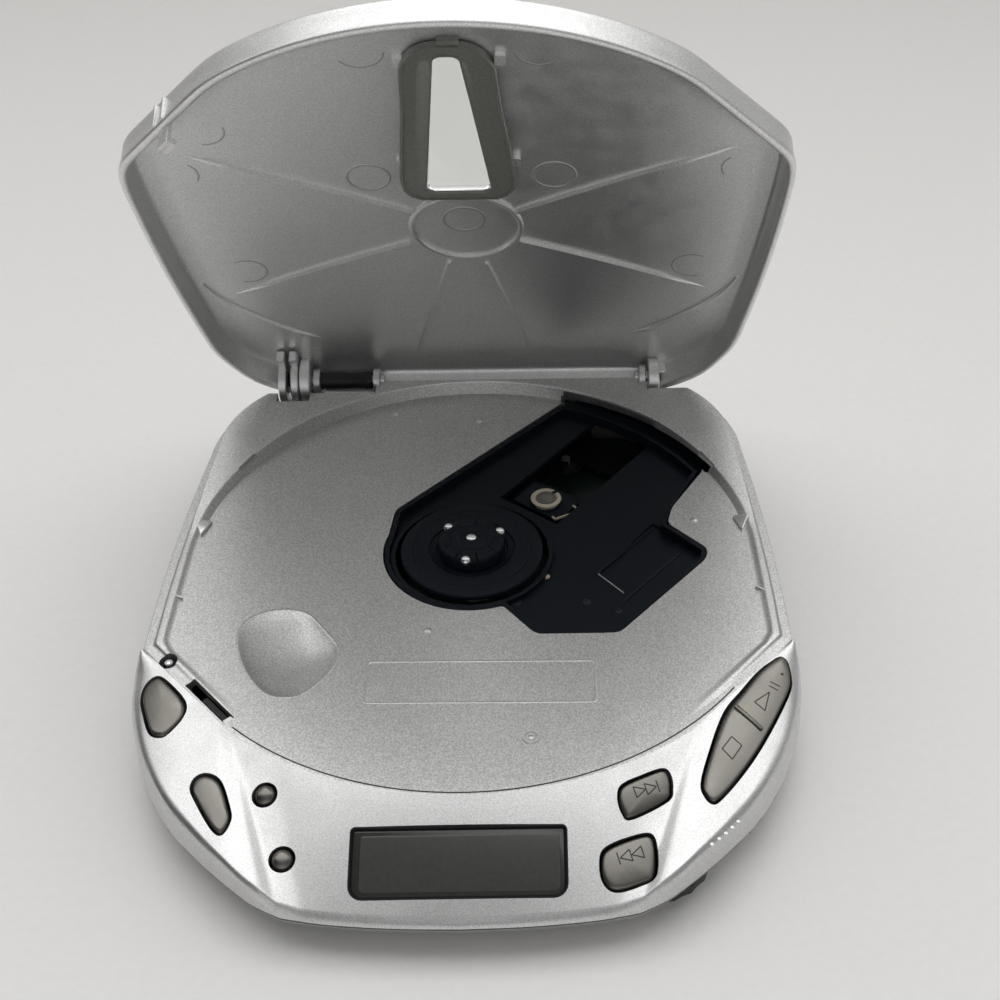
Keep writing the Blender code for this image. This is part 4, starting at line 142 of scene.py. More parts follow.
silver = paint("silver_paint", SILVER, 0.85, 0.34, 0.22 * MM, 0.17, 0.35)
bay_silver = paint("bay_paint", BAY_SILVER, 0.85, 0.38, 0.3 * MM, 0.26, 0.6)
# Lid paint, lighter than the panel's: painted light for the lid's shaded inside.
lid_silver_painted_light = paint("lid_paint_painted_light", LID_SILVER_PAINTED_LIGHT, 0.85, 0.38, 0.3 * MM, 0.14, 0.3)
case_grey = paint("case_paint", CASE_GREY, 0.7, 0.40)
key_paint = paint("key_paint", CHAMPAGNE, 0.90, 0.28, 0.25 * MM, 0.04, 0.08)
navy = paint("navy_plastic", NAVY, 0.0, 0.42, 0.4 * MM, 0.2, 0.2, shine=0.14)
black = paint("black_plastic", BLACK, 0.0, 0.45, 0.4 * MM, 0.2, 0.2, shine=0.3)
steel = paint("steel", STEEL, 1.0, 0.32, 0.2 * MM, 0.04, 0.1)
# Dark steel for the cover's screws and bars, and for the chassis, rods, feed screw and feed motor deep in the
# pickup's slot, where its darkness is painted shade.
dark_steel_and_shade = paint("dark_steel_and_shade", (0.03, 0.032, 0.036), 0.8, 0.4, 0.2 * MM, 0.04, 0.1)
rubber = paint("rubber", (0.02, 0.02, 0.02), 0.0, 0.75, 0.3 * MM, 0.25, 0.5)
chrome = paint("polished_steel", (0.85, 0.85, 0.85), 1.0, 0.12, 1.0 * MM, 0.03, 0.0)
# Black ink of the keys' signs; the same black also draws the painted shadow line at the panel's edge.
ink_and_shade = paint("ink_and_shade", (0.03, 0.03, 0.028), 0.0, 0.5)
lcd = paint("display_field", (0.055, 0.058, 0.05), 0.0, 0.16, 1.0 * MM, 0.06, 0.0)
# The board's green is painted very dark: painted shade for the depth of the pickup's slot it is seen through.
board = paint("board", (0.002, 0.012, 0.008), 0.0, 0.35, 1.0 * MM, 0.3, 0.2)
cream = paint("cream_plastic", (0.62, 0.55, 0.42), 0.0, 0.40, 0.4 * MM, 0.06, 0.15)
display = paint("display_glass", (0.035, 0.038, 0.034), 0.0, 0.12, 1.0 * MM, 0.1, 0.0)
display_body = paint("display_body", (0.10, 0.11, 0.095), 0.0, 0.5)
lens_glass = paint("lens_glass", (0.16, 0.15, 0.12), 0.0, 0.08, 1.0 * MM, 0.05, 0.0)
smoked = paint("smoked_plastic", (0.15, 0.15, 0.135), 0.0, 0.16, 0.5 * MM, 0.1, 0.1)
clear = paint("clear_plastic", (0.95, 0.96, 0.95), 0.0, 0.06, 4 * MM, 0.01, 0.0)
clear_inputs = clear.node_tree.nodes["Principled BSDF"].inputs
clear_inputs["Transmission Weight"].default_value = 1.0
clear_inputs["IOR"].default_value = CLEAR_INDEX

NODE_FINISHES = (
    (silver, "front_panel"), (bay_silver, "bay_deck"), (lid_silver_painted_light, "lid_shell"),
    (case_grey, "lower_case lid_switch_plunger battery_door"),
    (key_paint, "open_button buffer_button play_stop_key skip_forward_button skip_back_button mode_button "
                "repeat_button"),
    (display, "display_window"), (display_body, "display_module"), (smoked, "lid_window"),
    (steel, "hinge_pin_left hinge_pin_right spindle_motor battery_link battery_contact_left "
            "battery_contact_right case_screw_1 case_screw_2 case_screw_3 case_screw_4"),
    (black, "lid_spring latch_slider switch_sleeve turntable volume_wheel slide_switch phones_socket "
            "line_socket power_socket"),
    (navy, "mechanism_cover spindle_hub pickup_sled"),
    (dark_steel_and_shade, "mechanism_chassis guide_rod_left guide_rod_right feed_screw feed_motor"),
    (rubber, "damper_1 damper_2 damper_3 foot_front_left foot_front_right foot_back_left foot_back_right"),
    (cream, "lens_holder"), (lens_glass, "objective_lens"), (board, "main_board"),
)
# Nodes shown by a smooth skin: the angle of a kept edge in degrees, the radius of that edge
SKINS = (
    (40.0, 0.0, "lower_case"),
    (30.0, 0.15 * MM, "mechanism_cover pickup_sled slide_switch battery_door"),
    (40.0, 0.1 * MM, "volume_wheel switch_sleeve"),
    (40.0, 0.15 * MM, "lid_switch_plunger hinge_pin_left hinge_pin_right phones_socket line_socket "
                      "power_socket"),
    (40.0, 0.2 * MM, "foot_front_left foot_front_right foot_back_left foot_back_right"),
    (60.0, 0.0, "feed_screw"),
)
BODY_OF = {node: body for body, group in frame["record"]["behaviour"]["bodies"].items() for node in group}
SLOT_OF = {row["node"]: row["material_slot"] for row in frame["record"]["subparts"]}
WELD = 0.002 * MM
FLAT_ANGLE = math.radians(0.4)
SKIN_WEIGHT = 80


def dress(obj, material):
    obj.data.materials.clear()
    obj.data.materials.append(material)


def shade(mesh, sharp):
    """Smooth shading, with the edges above an angle in degrees kept sharp."""
    mesh.shade_smooth()
    mesh.set_sharp_from_angle(angle=math.radians(sharp))


def even_normals(piece, weight=50):
    weigh = piece.modifiers.new("shading", "WEIGHTED_NORMAL")
    weigh.keep_sharp = True
    weigh.weight = weight


def new_object(name, data):
    obj = bpy.data.objects.new(name, data)
    bpy.context.scene.collection.objects.link(obj)
    return obj


def new_piece(name, mesh, material, sharp=35.0):
    shade(mesh, sharp)
    piece = new_object(name, mesh)
    dress(piece, material)
    return piece


def skin_of(node, material, kept_edge, rounding):
    """Smooth piece for a node: welded, its flat faces whole, its hard edges kept and slightly rounded."""
    bm = bmesh.new()
    bm.from_mesh(NODES[node].data)
    bmesh.ops.remove_doubles(bm, verts=bm.verts, dist=WELD)
    bmesh.ops.dissolve_limit(bm, angle_limit=FLAT_ANGLE, verts=bm.verts, edges=bm.edges)
    mesh = bpy.data.meshes.new(node + "_skin")
    bm.to_mesh(mesh)
    bm.free()
    piece = new_piece(node + "_skin", mesh, material, kept_edge)
    if rounding:
        bevel = piece.modifiers.new("edges", "BEVEL")
        bevel.width = rounding
        bevel.segments = 2
        bevel.limit_method = "ANGLE"
        bevel.angle_limit = math.radians(kept_edge)
        bevel.harden_normals = True
    even_normals(piece, SKIN_WEIGHT)
    return piece


def place_piece(piece, body="case", slot="silver_plastic", *nodes):
    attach(piece, body)
    if nodes:
        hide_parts(*nodes)


finish_of = {node: finish for finish, names in NODE_FINISHES for node in names.split()}
for node, finish in finish_of.items():
    dress(NODES[node], finish)
for kept_edge, rounding, names in SKINS:
    for node in names.split():
        skin = skin_of(node, finish_of[node], kept_edge, rounding)
        place_piece(skin, BODY_OF[node], SLOT_OF[node], node)


# Control panel: the plan's sizes, as the solids have them, about the spindle's axis

FRONT_RADIUS = 72.0 * MM
FRONT_CENTRE_Y = 3.5 * MM
CORNER_X = 43.6 * MM
SIDE_Y = -29.5 * MM
SIDE_X = 66.3 * MM
SIDE_PEAK_Y = -15.0 * MM
SIDE_RADIUS = 560.0 * MM
BODY_HALF_WIDTH = 67.3 * MM
BODY_REACH = 89.9 * MM
WING_EDGE_SHARES = (
    (0.991, 0.334), (1.0, 0.400), (0.986, 0.490), (0.939, 0.595), (0.882, 0.680),
    (0.812, 0.757), (0.722, 0.828), (0.628, 0.892), (0.545, 0.940), (0.470, 0.969),
)
FRONT_EDGE_SHARES = ((0.470, 0.969), (0.350, 0.985), (0.180, 0.996), (0.0, 1.0))
WING_HEIGHT_SHARES = ((0.0, 1.0), (0.2, 0.88), (0.5, 0.74), (0.8, 0.58), (0.93, 0.44), (1.0, 0.26))
FRONT_HEIGHT_SHARES = ((0.0, 0.26), (0.18, 0.17), (1.0, 0.13))
WAIST_SIDE_Z = 9.0 * MM
WAIST_FRONT_Z = 7.0 * MM
WAIST_FRONT_Y = -46.0 * MM
PANEL_SEAM_Z = 17.7 * MM
PANEL_HEIGHT = 10.6 * MM
PANEL_THICK = 1.6 * MM
PANEL_FALL = 1.5 * MM
PANEL_CROWN = 0.35 * MM
PANEL_ROUND = 1.6 * MM
PANEL_RIM = 1.5 * MM
PANEL_SHARP = 30.0
HEIGHT_STEPS = 60
SLOPE_STEP = 2.0 * MM
SIDE_BAND = 2.9 * MM
FRONT_BAND = 1.3 * MM
TIP_BAND = 0.3 * MM
TIP_SHARE = 0.03
TIP_RUN_SHARE = 0.18
BAND_START_SHARE = 0.3
MIDDLE_SHARE = 0.72
GAP = 0.3 * MM
WING_COUNT = 54
FRONT_COUNT = 36
FACE_COUNT = 12
ROUND_COUNT = 4
TINY = 1e-9


def in_mm(values):
    return tuple(value * MM for value in values)


def lerp(start, end, share):
    return start + (end - start) * share


def smooth_step(share):
    share = min(1.0, max(0.0, share))
    return share * share * (3.0 - 2.0 * share)


def read_shares(shares, place):
    for (x0, y0), (x1, y1) in zip(shares, shares[1:]):
        if place <= x1:
            return lerp(y0, y1, max(0.0, (place - x0) / (x1 - x0)))
    return shares[-1][1]


def curve_through(points, share):
    """Point on a smooth open curve through the given points."""
    spans = len(points) - 1
    place = min(share * spans, spans - TINY)
    i = int(place)
    t = place - i
    p1, p2 = points[i], points[i + 1]
    p0 = points[i - 1] if i else (2 * p1[0] - p2[0], 2 * p1[1] - p2[1])
    p3 = points[i + 2] if i + 2 < len(points) else (2 * p2[0] - p1[0], 2 * p2[1] - p1[1])
    result = []
    for a, b, c, d in zip(p0, p1, p2, p3):
        result.append(b + 0.5 * t * (c - a + t * (2 * a - 5 * b + 4 * c - d + t * (3 * (b - c) + d - a))))
    return tuple(result)


def closed_curve(points, steps):
    count = len(points)
    result = []
    for i in range(count):
        four = [points[(i + k) % count] for k in (-1, 0, 1, 2)]
        for k in range(steps):
            result.append(curve_through(four, (1 + k / steps) / 3))
    return result


def side_x(y):
    return SIDE_X - (y - SIDE_PEAK_Y) ** 2 / (2 * SIDE_RADIUS)


def waist_z(y):
    share = (SIDE_Y - y) / (SIDE_Y - WAIST_FRONT_Y)
    return lerp(WAIST_SIDE_Z, WAIST_FRONT_Z, smooth_step(share))


def seam_point(wing, share):
    if wing:
        corner_y = FRONT_CENTRE_Y - math.sqrt(FRONT_RADIUS ** 2 - CORNER_X ** 2)
        return Vector((lerp(side_x(SIDE_Y), CORNER_X, share), lerp(SIDE_Y, corner_y, share)))
    x = CORNER_X * (1.0 - share)
    return Vector((x, FRONT_CENTRE_Y - math.sqrt(FRONT_RADIUS ** 2 - x ** 2)))


def panel_band(wing, share):
    if not wing:
        return FRONT_BAND
    if share < TIP_RUN_SHARE:
        return lerp(TIP_BAND, SIDE_BAND, smooth_step(share / TIP_RUN_SHARE))
    place = (share - BAND_START_SHARE) / (1.0 - BAND_START_SHARE)
    return lerp(SIDE_BAND, FRONT_BAND, smooth_step(place))


def panel_lines(wing, share):
    """Seam, top edge and outer edge of the panel at one station, right half."""
    seam = seam_point(wing, share)
    shares = WING_EDGE_SHARES if wing else FRONT_EDGE_SHARES
    x, y = curve_through([(sx * BODY_HALF_WIDTH, -sy * BODY_REACH) for sx, sy in shares], share)
    outer = Vector((x, y))
    away = seam - outer
    edge = outer + away.normalized() * min(panel_band(wing, share), away.length / 2)
    height = read_shares(WING_HEIGHT_SHARES if wing else FRONT_HEIGHT_SHARES, share)
    return seam, edge, outer, WAIST_FRONT_Z + PANEL_HEIGHT * height


def panel_height(x, y):
    """Height of the solid panel's top face at a place in plan."""
    place = Vector((abs(x), y))
    for wing in (True, False):
        last = None
        for i in range(HEIGHT_STEPS + 1):
            seam, edge, outer, edge_z = panel_lines(wing, i / HEIGHT_STEPS)
            way = edge - seam
            side = way.x * (place.y - seam.y) - way.y * (place.x - seam.x)
            share = (place - seam).dot(way) / way.length_squared
            z = lerp(PANEL_SEAM_Z, edge_z, share)
            if last is not None and last[0] * side <= 0.0:
                total = abs(last[0]) + abs(side)
                return lerp(last[1], z, abs(last[0]) / total if total else 0.0)
            last = (side, z)
    return PANEL_SEAM_Z


def panel_frame(x, y):
    """Axes and origin of the panel's face at a place: X across, Y up the slope, Z out."""
    step = SLOPE_STEP
    dx = Vector((2 * step, 0.0, panel_height(x + step, y) - panel_height(x - step, y)))
    dy = Vector((0.0, 2 * step, panel_height(x, y + step) - panel_height(x, y - step)))
    out = dx.cross(dy).normalized()
    across = dx.normalized()
    matrix = Matrix((across, out.cross(across), out)).transposed().to_4x4()
    matrix.translation = (x, y + SPINDLE_Y, panel_height(x, y))
    return matrix


def bend(a, b, c, radius, steps):
    """Points of the rounded corner at b, on the way from a to c."""
    reach = min(radius, (b - a).length / 2, (c - b).length / 2)
    start = b + (a - b).normalized() * reach
    end = b + (c - b).normalized() * reach
    return [start.lerp(b, i / steps).lerp(b.lerp(end, i / steps), i / steps) for i in range(steps + 1)]


def rounded_path(points, radius, steps):
    """Line through points with each inner corner rounded."""
    path = [points[0]]
    for corner in zip(points, points[1:], points[2:]):
        path += bend(*corner, radius, steps)
    return path + [points[-1]]


def panel_column(side, seam, edge, outer, edge_z):
    """Top and bottom points of the panel at one station."""
    away = (seam - outer).normalized()
    start = seam - away * GAP
    waist = waist_z(outer.y) + GAP
    middle = edge.lerp(outer, MIDDLE_SHARE)
    fall = min(PANEL_FALL, (edge_z - waist) / 2)
    corners = [Vector((*start, PANEL_SEAM_Z)), Vector((*edge, edge_z)),
               Vector((*middle, edge_z - fall)), Vector((*outer, waist))]
    path = rounded_path(corners, PANEL_ROUND, ROUND_COUNT)
    face = [path[0].lerp(path[1], i / FACE_COUNT) for i in range(FACE_COUNT)]
    top = face + path[1:]
    bottom = []
    rim = min(PANEL_RIM, (seam - outer).length / 3)
    for i, point in enumerate(top):
        share = smooth_step((i - FACE_COUNT / 2) / (FACE_COUNT / 2))
        inner = point + Vector((away.x, away.y, 0.0)) * rim * share
        bottom.append(Vector((inner.x, inner.y, max(point.z - PANEL_THICK, waist))))
    total = (edge - start).length
    for point in top:
        share = min(1.0, (Vector((point.x, point.y)) - start).length / total)
        point.z += 4.0 * PANEL_CROWN * share * (1.0 - share)
    return [[(side * p.x, p.y + SPINDLE_Y, p.z) for p in row] for row in (top, bottom)]


def mesh_of(bm, name):
    bmesh.ops.recalc_face_normals(bm, faces=bm.faces)
    mesh = bpy.data.meshes.new(name)
    bm.to_mesh(mesh)
    bm.free()
    return mesh


def loft(name, rings, material=black, sharp=35.0, closed=True, matrix=None):
    """Piece through rings of equal counts; a closed one has its first and last ring capped."""
    bm = bmesh.new()
    rows = [[bm.verts.new(point) for point in ring] for ring in rings]
    count = len(rows[0])
    for low, high in zip(rows, rows[1:]):
        for i in range(count):
            k = (i + 1) % count
            bm.faces.new((low[i], low[k], high[k], high[i]))
    if closed:
        bm.faces.new(rows[0])
        bm.faces.new(rows[-1])
    bmesh.ops.remove_doubles(bm, verts=bm.verts, dist=WELD / 20)
    mesh = mesh_of(bm, name)
    if matrix:
        mesh.transform(matrix)
    return new_piece(name, mesh, material, sharp)


def carve(piece, *cutters):
    """Cut pieces that don't touch each other out of a piece, and remove them."""
    bm = bmesh.new()
    for cutter in cutters:
        bm.from_mesh(cutter.data)
    mesh = bpy.data.meshes.new("cutters")
    bm.to_mesh(mesh)
    bm.free()
    tool = new_object("cutters", mesh)
    modifier = piece.modifiers.new("cut", "BOOLEAN")
    modifier.operation = "DIFFERENCE"
    modifier.solver = "EXACT"
    modifier.object = tool
    bpy.context.view_layer.update()
    seen = piece.evaluated_get(bpy.context.evaluated_depsgraph_get())
    result = bpy.data.meshes.new_from_object(seen)
    piece.modifiers.remove(modifier)
    old = piece.data
    piece.data = result
    bpy.data.meshes.remove(old)
    for obj in (tool, *cutters):
        data = obj.data
        bpy.data.objects.remove(obj)
        bpy.data.meshes.remove(data)


def round_corners(half_width, half_height, radii, steps=5):
    """Rectangle with a radius at each corner, anticlockwise from the lower left."""
    points = []
    signs = ((-1, -1), (1, -1), (1, 1), (-1, 1))
    for i, ((sx, sy), radius) in enumerate(zip(signs, radii)):
        centre = (sx * (half_width - radius), sy * (half_height - radius))
        for k in range(steps + 1):
            angle = math.pi * (1.0 + i / 2 + k / steps / 2)
            points.append((centre[0] + radius * math.cos(angle), centre[1] + radius * math.sin(angle)))
    return points


KEY_CUT = 5.0 * MM
KEY_GAP = 0.5 * MM
KEY_SMOOTH = 6
ROUND_KEY_HOLE = 2.45 * MM
SKIP_SPAN = (10.5 * MM, 9.8 * MM)
KEYS = {
    "open_button": ((-58.9 * MM, -45.4 * MM), (10.2 * MM, 15.2 * MM), (
        (-0.21, 0.50), (0.18, 0.27), (0.47, 0.0), (0.45, -0.23), (0.22, -0.46), (0.03, -0.49),
        (-0.17, -0.40), (-0.36, -0.12), (-0.49, 0.15), (-0.45, 0.38))),
    "buffer_button": ((-46.0 * MM, -67.9 * MM), (8.8 * MM, 13.0 * MM), (
        (-0.17, 0.50), (0.16, 0.36), (0.42, -0.03), (0.50, -0.26), (0.36, -0.49), (0.10, -0.40),
        (-0.37, 0.08), (-0.50, 0.28), (-0.42, 0.45))),
    "play_stop_key": ((54.0 * MM, -52.3 * MM), (20.6 * MM, 34.8 * MM), (
        (0.42, 0.495), (0.475, 0.48), (0.503, 0.43), (0.495, 0.29), (0.345, 0.10), (0.10, -0.15),
        (-0.13, -0.34), (-0.33, -0.475), (-0.41, -0.495), (-0.47, -0.46), (-0.497, -0.38),
        (-0.41, -0.21), (-0.22, 0.07), (-0.01, 0.24), (0.18, 0.38), (0.33, 0.46))),
    "skip_forward_button": ((33.6 * MM, -67.0 * MM), SKIP_SPAN, (
        (0.32, 0.49), (0.46, 0.40), (0.49, 0.13), (0.38, -0.14), (-0.28, -0.52), (-0.45, -0.41),
        (-0.51, -0.13), (-0.43, 0.11), (-0.05, 0.33))),
    "skip_back_button": ((29.9 * MM, -79.4 * MM), SKIP_SPAN, (
        (0.38, 0.53), (0.50, 0.28), (0.45, -0.25), (0.18, -0.42), (-0.25, -0.52), (-0.46, -0.36),
        (-0.51, -0.05), (-0.43, 0.23), (-0.05, 0.43))),
    "mode_button": ((-36.2 * MM, -66.2 * MM), None, None),
    "repeat_button": ((-31.9 * MM, -78.0 * MM), None, None),
}
PLAY_SPINE_SHARES = ((0.41, 0.42), (0.24, 0.20), (0.0, -0.06), (-0.24, -0.27), (-0.41, -0.43))
# How far each ring of a keycap is drawn in to its spine, and how high it stands as a share of its crown
CAP_SHARES = ((0.0, -4.4), (0.0, -0.3), (0.02, 0.1), (0.05, 0.35), (0.09, 0.55), (0.14, 0.66),
              (0.22, 0.74), (0.40, 0.86), (0.65, 0.96), (0.90, 1.0))
ROUND_CAP_SHARES = ((0.0, -3.0), (0.0, -0.1), (0.05, 0.25), (0.14, 0.5), (0.28, 0.74), (0.48, 0.9),
                    (0.75, 1.0))
CAP_HEIGHT = 0.75 * MM
ROUND_CAP_HEIGHT = 1.1 * MM
RIDGE_CENTRE_SHARE = (0.015, 0.045)
RIDGE_LENGTH = 7.2 * MM
RIDGE_WIDTH = 0.8 * MM
RIDGE_HEIGHT = 0.75 * MM
RIDGE_ANGLE = math.radians(-48.0)
RIDGE_ROUND_SHARE = 0.9
RIDGE_SHARP = 40.0
CAP_SHARP = 60.0
ROUND_STEPS = 40


def laid_flat(matrix, centre, span, shares):
    """Points given as shares of a span in plan, dropped on a key's own plane."""
    back = matrix.inverted()
    slope = matrix.to_3x3().col[2]
    flat = []
    for sx, sy in shares:
        x = centre[0] + sx * span[0]
        y = centre[1] + sy * span[1]
        lift = ((x - centre[0]) * slope.x + (y - centre[1]) * slope.y) / slope.z
        point = back @ Vector((x, y + SPINDLE_Y, matrix.translation.z - lift))
        flat.append((point.x, point.y))
    return flat


def inset(points, distance):
    """Closed counter-clockwise outline moved inwards by a distance."""
    count = len(points)
    result = []
    for i, (x, y) in enumerate(points):
        ax, ay = points[i - 1]
        bx, by = points[(i + 1) % count]
        n1 = Vector((ay - y, x - ax)).normalized()
        n2 = Vector((y - by, bx - x)).normalized()
        move = (n1 + n2) / (1.0 + n1.dot(n2)) * distance
        result.append((x + move.x, y + move.y))
    return result


def towards_spine(points, spine, share):
    result = []
    for x, y in points:
        place = Vector((x, y))
        nearest = Vector(spine[0])
        for start, end in zip(spine, spine[1:]):
            a, b = Vector(start), Vector(end)
            along = min(1.0, max(0.0, (place - a).dot(b - a) / (b - a).length_squared))
            if (a.lerp(b, along) - place).length < (nearest - place).length:
                nearest = a.lerp(b, along)
        result.append(tuple(place.lerp(nearest, share)))
    return result


def circle(radius, steps, centre=(0.0, 0.0)):
    points = []
    for i in range(steps):
        angle = 2 * math.pi * i / steps
        points.append((centre[0] + radius * math.cos(angle), centre[1] + radius * math.sin(angle)))
    return points


def at_height(points, z):
    return [(x, y, z) for x, y in points]


def key_hole(name):
    """Frame and hole outline of a key."""
    centre, span, shares = KEYS[name]
    matrix = panel_frame(*centre)
    if shares is None:
        return matrix, circle(ROUND_KEY_HOLE, ROUND_STEPS)
    ordered = [shares[-i] for i in range(len(shares))]
    return matrix, laid_flat(matrix, centre, span, closed_curve(ordered, KEY_SMOOTH))


DISPLAY_CENTRE = (-0.4 * MM, -79.6 * MM)
DISPLAY_HALF = (19.5 * MM, 6.5 * MM)
DISPLAY_RADII = (2.6 * MM, 2.6 * MM, 1.0 * MM, 1.0 * MM)


def build_panel():
    stations = [panel_lines(True, max(TIP_SHARE, i / WING_COUNT)) for i in range(WING_COUNT)]
    stations += [panel_lines(False, i / FRONT_COUNT) for i in range(FRONT_COUNT + 1)]
    columns = [panel_column(1.0, *s) for s in stations]
    columns += [panel_column(-1.0, *s) for s in reversed(stations[:-1])]
    bm = bmesh.new()
    tops = [[bm.verts.new(p) for p in top] for top, bottom in columns]
    bottoms = [[bm.verts.new(p) for p in bottom] for top, bottom in columns]
    last = len(tops[0]) - 1
    for k in range(len(columns) - 1):
        for rows in (tops, bottoms):
            for i in range(last):
                bm.faces.new((rows[k][i], rows[k + 1][i], rows[k + 1][i + 1], rows[k][i + 1]))
        for i in (0, last):
            bm.faces.new((tops[k][i], tops[k + 1][i], bottoms[k + 1][i], bottoms[k][i]))
    for k in (0, -1):
        for i in range(last):
            bm.faces.new((tops[k][i], tops[k][i + 1], bottoms[k][i + 1], bottoms[k][i]))
    panel = new_piece("panel_shell", mesh_of(bm, "panel_shell"), silver, PANEL_SHARP)
    holes = [key_hole(name) for name in KEYS]
    holes.append((panel_frame(*DISPLAY_CENTRE), round_corners(*DISPLAY_HALF, DISPLAY_RADII)))
    cutters = []
    for matrix, hole in holes:
        cutters.append(loft("hole", [at_height(hole, -KEY_CUT), at_height(hole, KEY_CUT)], matrix=matrix))
    carve(panel, *cutters)
    shade(panel.data, PANEL_SHARP)
    even_normals(panel)
    place_piece(panel, "case", "silver_plastic", "front_panel")


def build_keys():
    for name, (centre, span, shares) in KEYS.items():
        matrix, hole = key_hole(name)
        body = inset(hole, KEY_GAP)
        spine = [AXIS, (0.0, WELD)]
        if name == "play_stop_key":
            spine = laid_flat(matrix, centre, span, PLAY_SPINE_SHARES)
            build_ridge(name, matrix, span)
        table, height = (CAP_SHARES, CAP_HEIGHT) if shares else (ROUND_CAP_SHARES, ROUND_CAP_HEIGHT)
        rings = [at_height(towards_spine(body, spine, share), height * rise) for share, rise in table]
        cap = loft(name + "_cap", rings, key_paint, CAP_SHARP, matrix=matrix)
        place_piece(cap, BODY_OF[name], SLOT_OF[name], name)


def build_ridge(name, matrix, span):
    """Raised bar across the middle of the long key."""
    half = (RIDGE_LENGTH / 2, RIDGE_WIDTH / 2)
    base = round_corners(*half, (half[1] * RIDGE_ROUND_SHARE,) * 4, 3)
    rings = [at_height(base, 0.0), at_height(base, CAP_HEIGHT + RIDGE_HEIGHT / 3),
             at_height(inset(base, RIDGE_WIDTH / 5), CAP_HEIGHT + RIDGE_HEIGHT / 2)]
    spot = Matrix.Translation((RIDGE_CENTRE_SHARE[0] * span[0], RIDGE_CENTRE_SHARE[1] * span[1], 0.0))
    turn = matrix @ spot @ Matrix.Rotation(RIDGE_ANGLE, 4, "Z")
    place_piece(loft("play_ridge", rings, key_paint, RIDGE_SHARP, matrix=turn), BODY_OF[name], SLOT_OF[name])


build_panel()
build_keys()


# Deck with the disc bay

FLOOR_Z = 17.0 * MM
FLOOR_THICK = 1.6 * MM
DECK_WALL = 1.8 * MM
SEAT_WIDTH = 2.0 * MM
SEAT_STEP = 0.4 * MM
SEAT_BACK_DROP = 0.7 * MM
SEAT_DROP_Y = 49.0 * MM
SEAT_DROP_RUN = 10.0 * MM
BAY_RADIUS = 61.1 * MM
LEDGE_RADIUS = 66.8 * MM
BAY_EDGE_MIN = 4.6 * MM
BACK_WALL_HEIGHT = 3.3 * MM
RAIL_SLOPE_SIDE = 1.5 * MM
RAIL_SLOPE_BACK = 0.7 * MM
RAIL_HEIGHT_SHARES = ((-0.80, 0.0), (-0.62, 0.10), (-0.45, 0.21), (0.10, 0.24), (0.70, 1.0), (1.0, 1.0))
BACK_BLOCK_Z = 11.6 * MM
BACK_BLOCK_DEPTH = 8.6 * MM
BACK_BLOCK_RUN = 1.6 * MM
BACK_Y = 69.5 * MM
BACK_CORNER_RADIUS = 33.0 * MM
DECK_ROUND = 0.35 * MM
DECK_ROUND_STEPS = 2
DECK_SHARP = 32.0
HINGE_Y = 63.5 * MM
HINGE_Z = 20.0 * MM
TROUGH_RADIUS = 6.35 * MM
TROUGH_FRONT_Y = 62.6 * MM
TROUGH_LIP_Z = 15.6 * MM
TROUGH_HALF = 54.5 * MM
TROUGH_TOP = 26.6 * MM
TROUGH_END = math.radians(-43.9)
TROUGH_STEPS = 12
POCKETS = (
    (5.9 * MM, -54.5 * MM, -44.8 * MM), (6.1 * MM, -45.8 * MM, -25.8 * MM),
    (6.1 * MM, 42.7 * MM, 46.3 * MM), (5.9 * MM, 45.3 * MM, 54.5 * MM),
)
POSTS_X = (-41.0 * MM, -25.8 * MM, 41.7 * MM)
POST_WIDTH = 1.8 * MM
POST_HALF = 3.0 * MM
POST_LOW = 13.2 * MM
POST_SECTION_SHARES = ((-0.5, 0.93), (-0.4, 1.0), (0.4, 1.0), (0.5, 0.93))
LATCH_SHARE = 0.66
LATCH_SLOT_LENGTH = 14.0 * MM
LATCH_SLOT_WIDTH = 2.3 * MM
LATCH_SLOT_INSET = 1.7 * MM
LATCH_SLOT_DEPTH = 6.0 * MM
SWITCH_PLACE = (-60.2 * MM, -33.4 * MM)
SWITCH_HOLE = 1.9 * MM
SOCKETS_Y = (-14.0 * MM, 2.0 * MM, 16.0 * MM)
SOCKET_HOLE = 3.4 * MM
SOCKET_LENGTH = 11.0 * MM
SOCKET_Z = 12.4 * MM
GUIDE_SLOT_SIZE = (1.0 * MM, 6.0 * MM, 2.0 * MM)
GUIDE_SLOT_ANGLES = (math.radians(28.0), math.radians(150.5))
GUIDE_SLOT_Z = 19.6 * MM
OPENING_FRONT_SHARES = ((0.226, -0.439), (0.509, -0.439), (0.840, -0.067), (0.851, -0.011), (0.718, 0.134),
                        (0.741, 0.224))
OPENING_BACK = (math.radians(27.3), math.radians(69.2))
UNDERCUTS = ((math.radians(26.0), math.radians(70.0), 18.4 * MM),
             (math.radians(45.0), math.radians(69.5), 19.7 * MM))
UNDERCUT_RADIUS = 64.9 * MM
UNDERCUT_STEPS = 16
UNDERCUT_FLOOR = (13.9 * MM, 14.85 * MM)
HINGE_NOTCH = ((-46.25 * MM, 60.6 * MM, 19.0 * MM), (8.2 * MM, 13.2 * MM, 9.6 * MM))
OPENING_LEFT_SHARE = (-0.293, 0.234)
OPENING_CORNER = 1.6 * MM
OPENING_STEPS = 14
HUB_WELL_STEPS = 26
HUB_WELL_RADIUS = 19.6 * MM
HUB_WELL = (math.radians(163.0), math.radians(291.0))
DISH_CENTRE = (-35.8 * MM, -31.2 * MM)
DISH_REACH = 13.0 * MM
DISH_SHARES = ((0.76, 0.04), (0.48, 0.50), (0.16, 0.89), (-0.20, 1.0), (-0.59, 0.93), (-0.85, 0.70),
               (-0.90, 0.29), (-0.70, -0.32), (-0.34, -0.84), (-0.02, -0.97), (0.30, -0.90), (0.66, -0.44))
DISH_WALL = 0.8 * MM
DISH_ROUND = 0.72
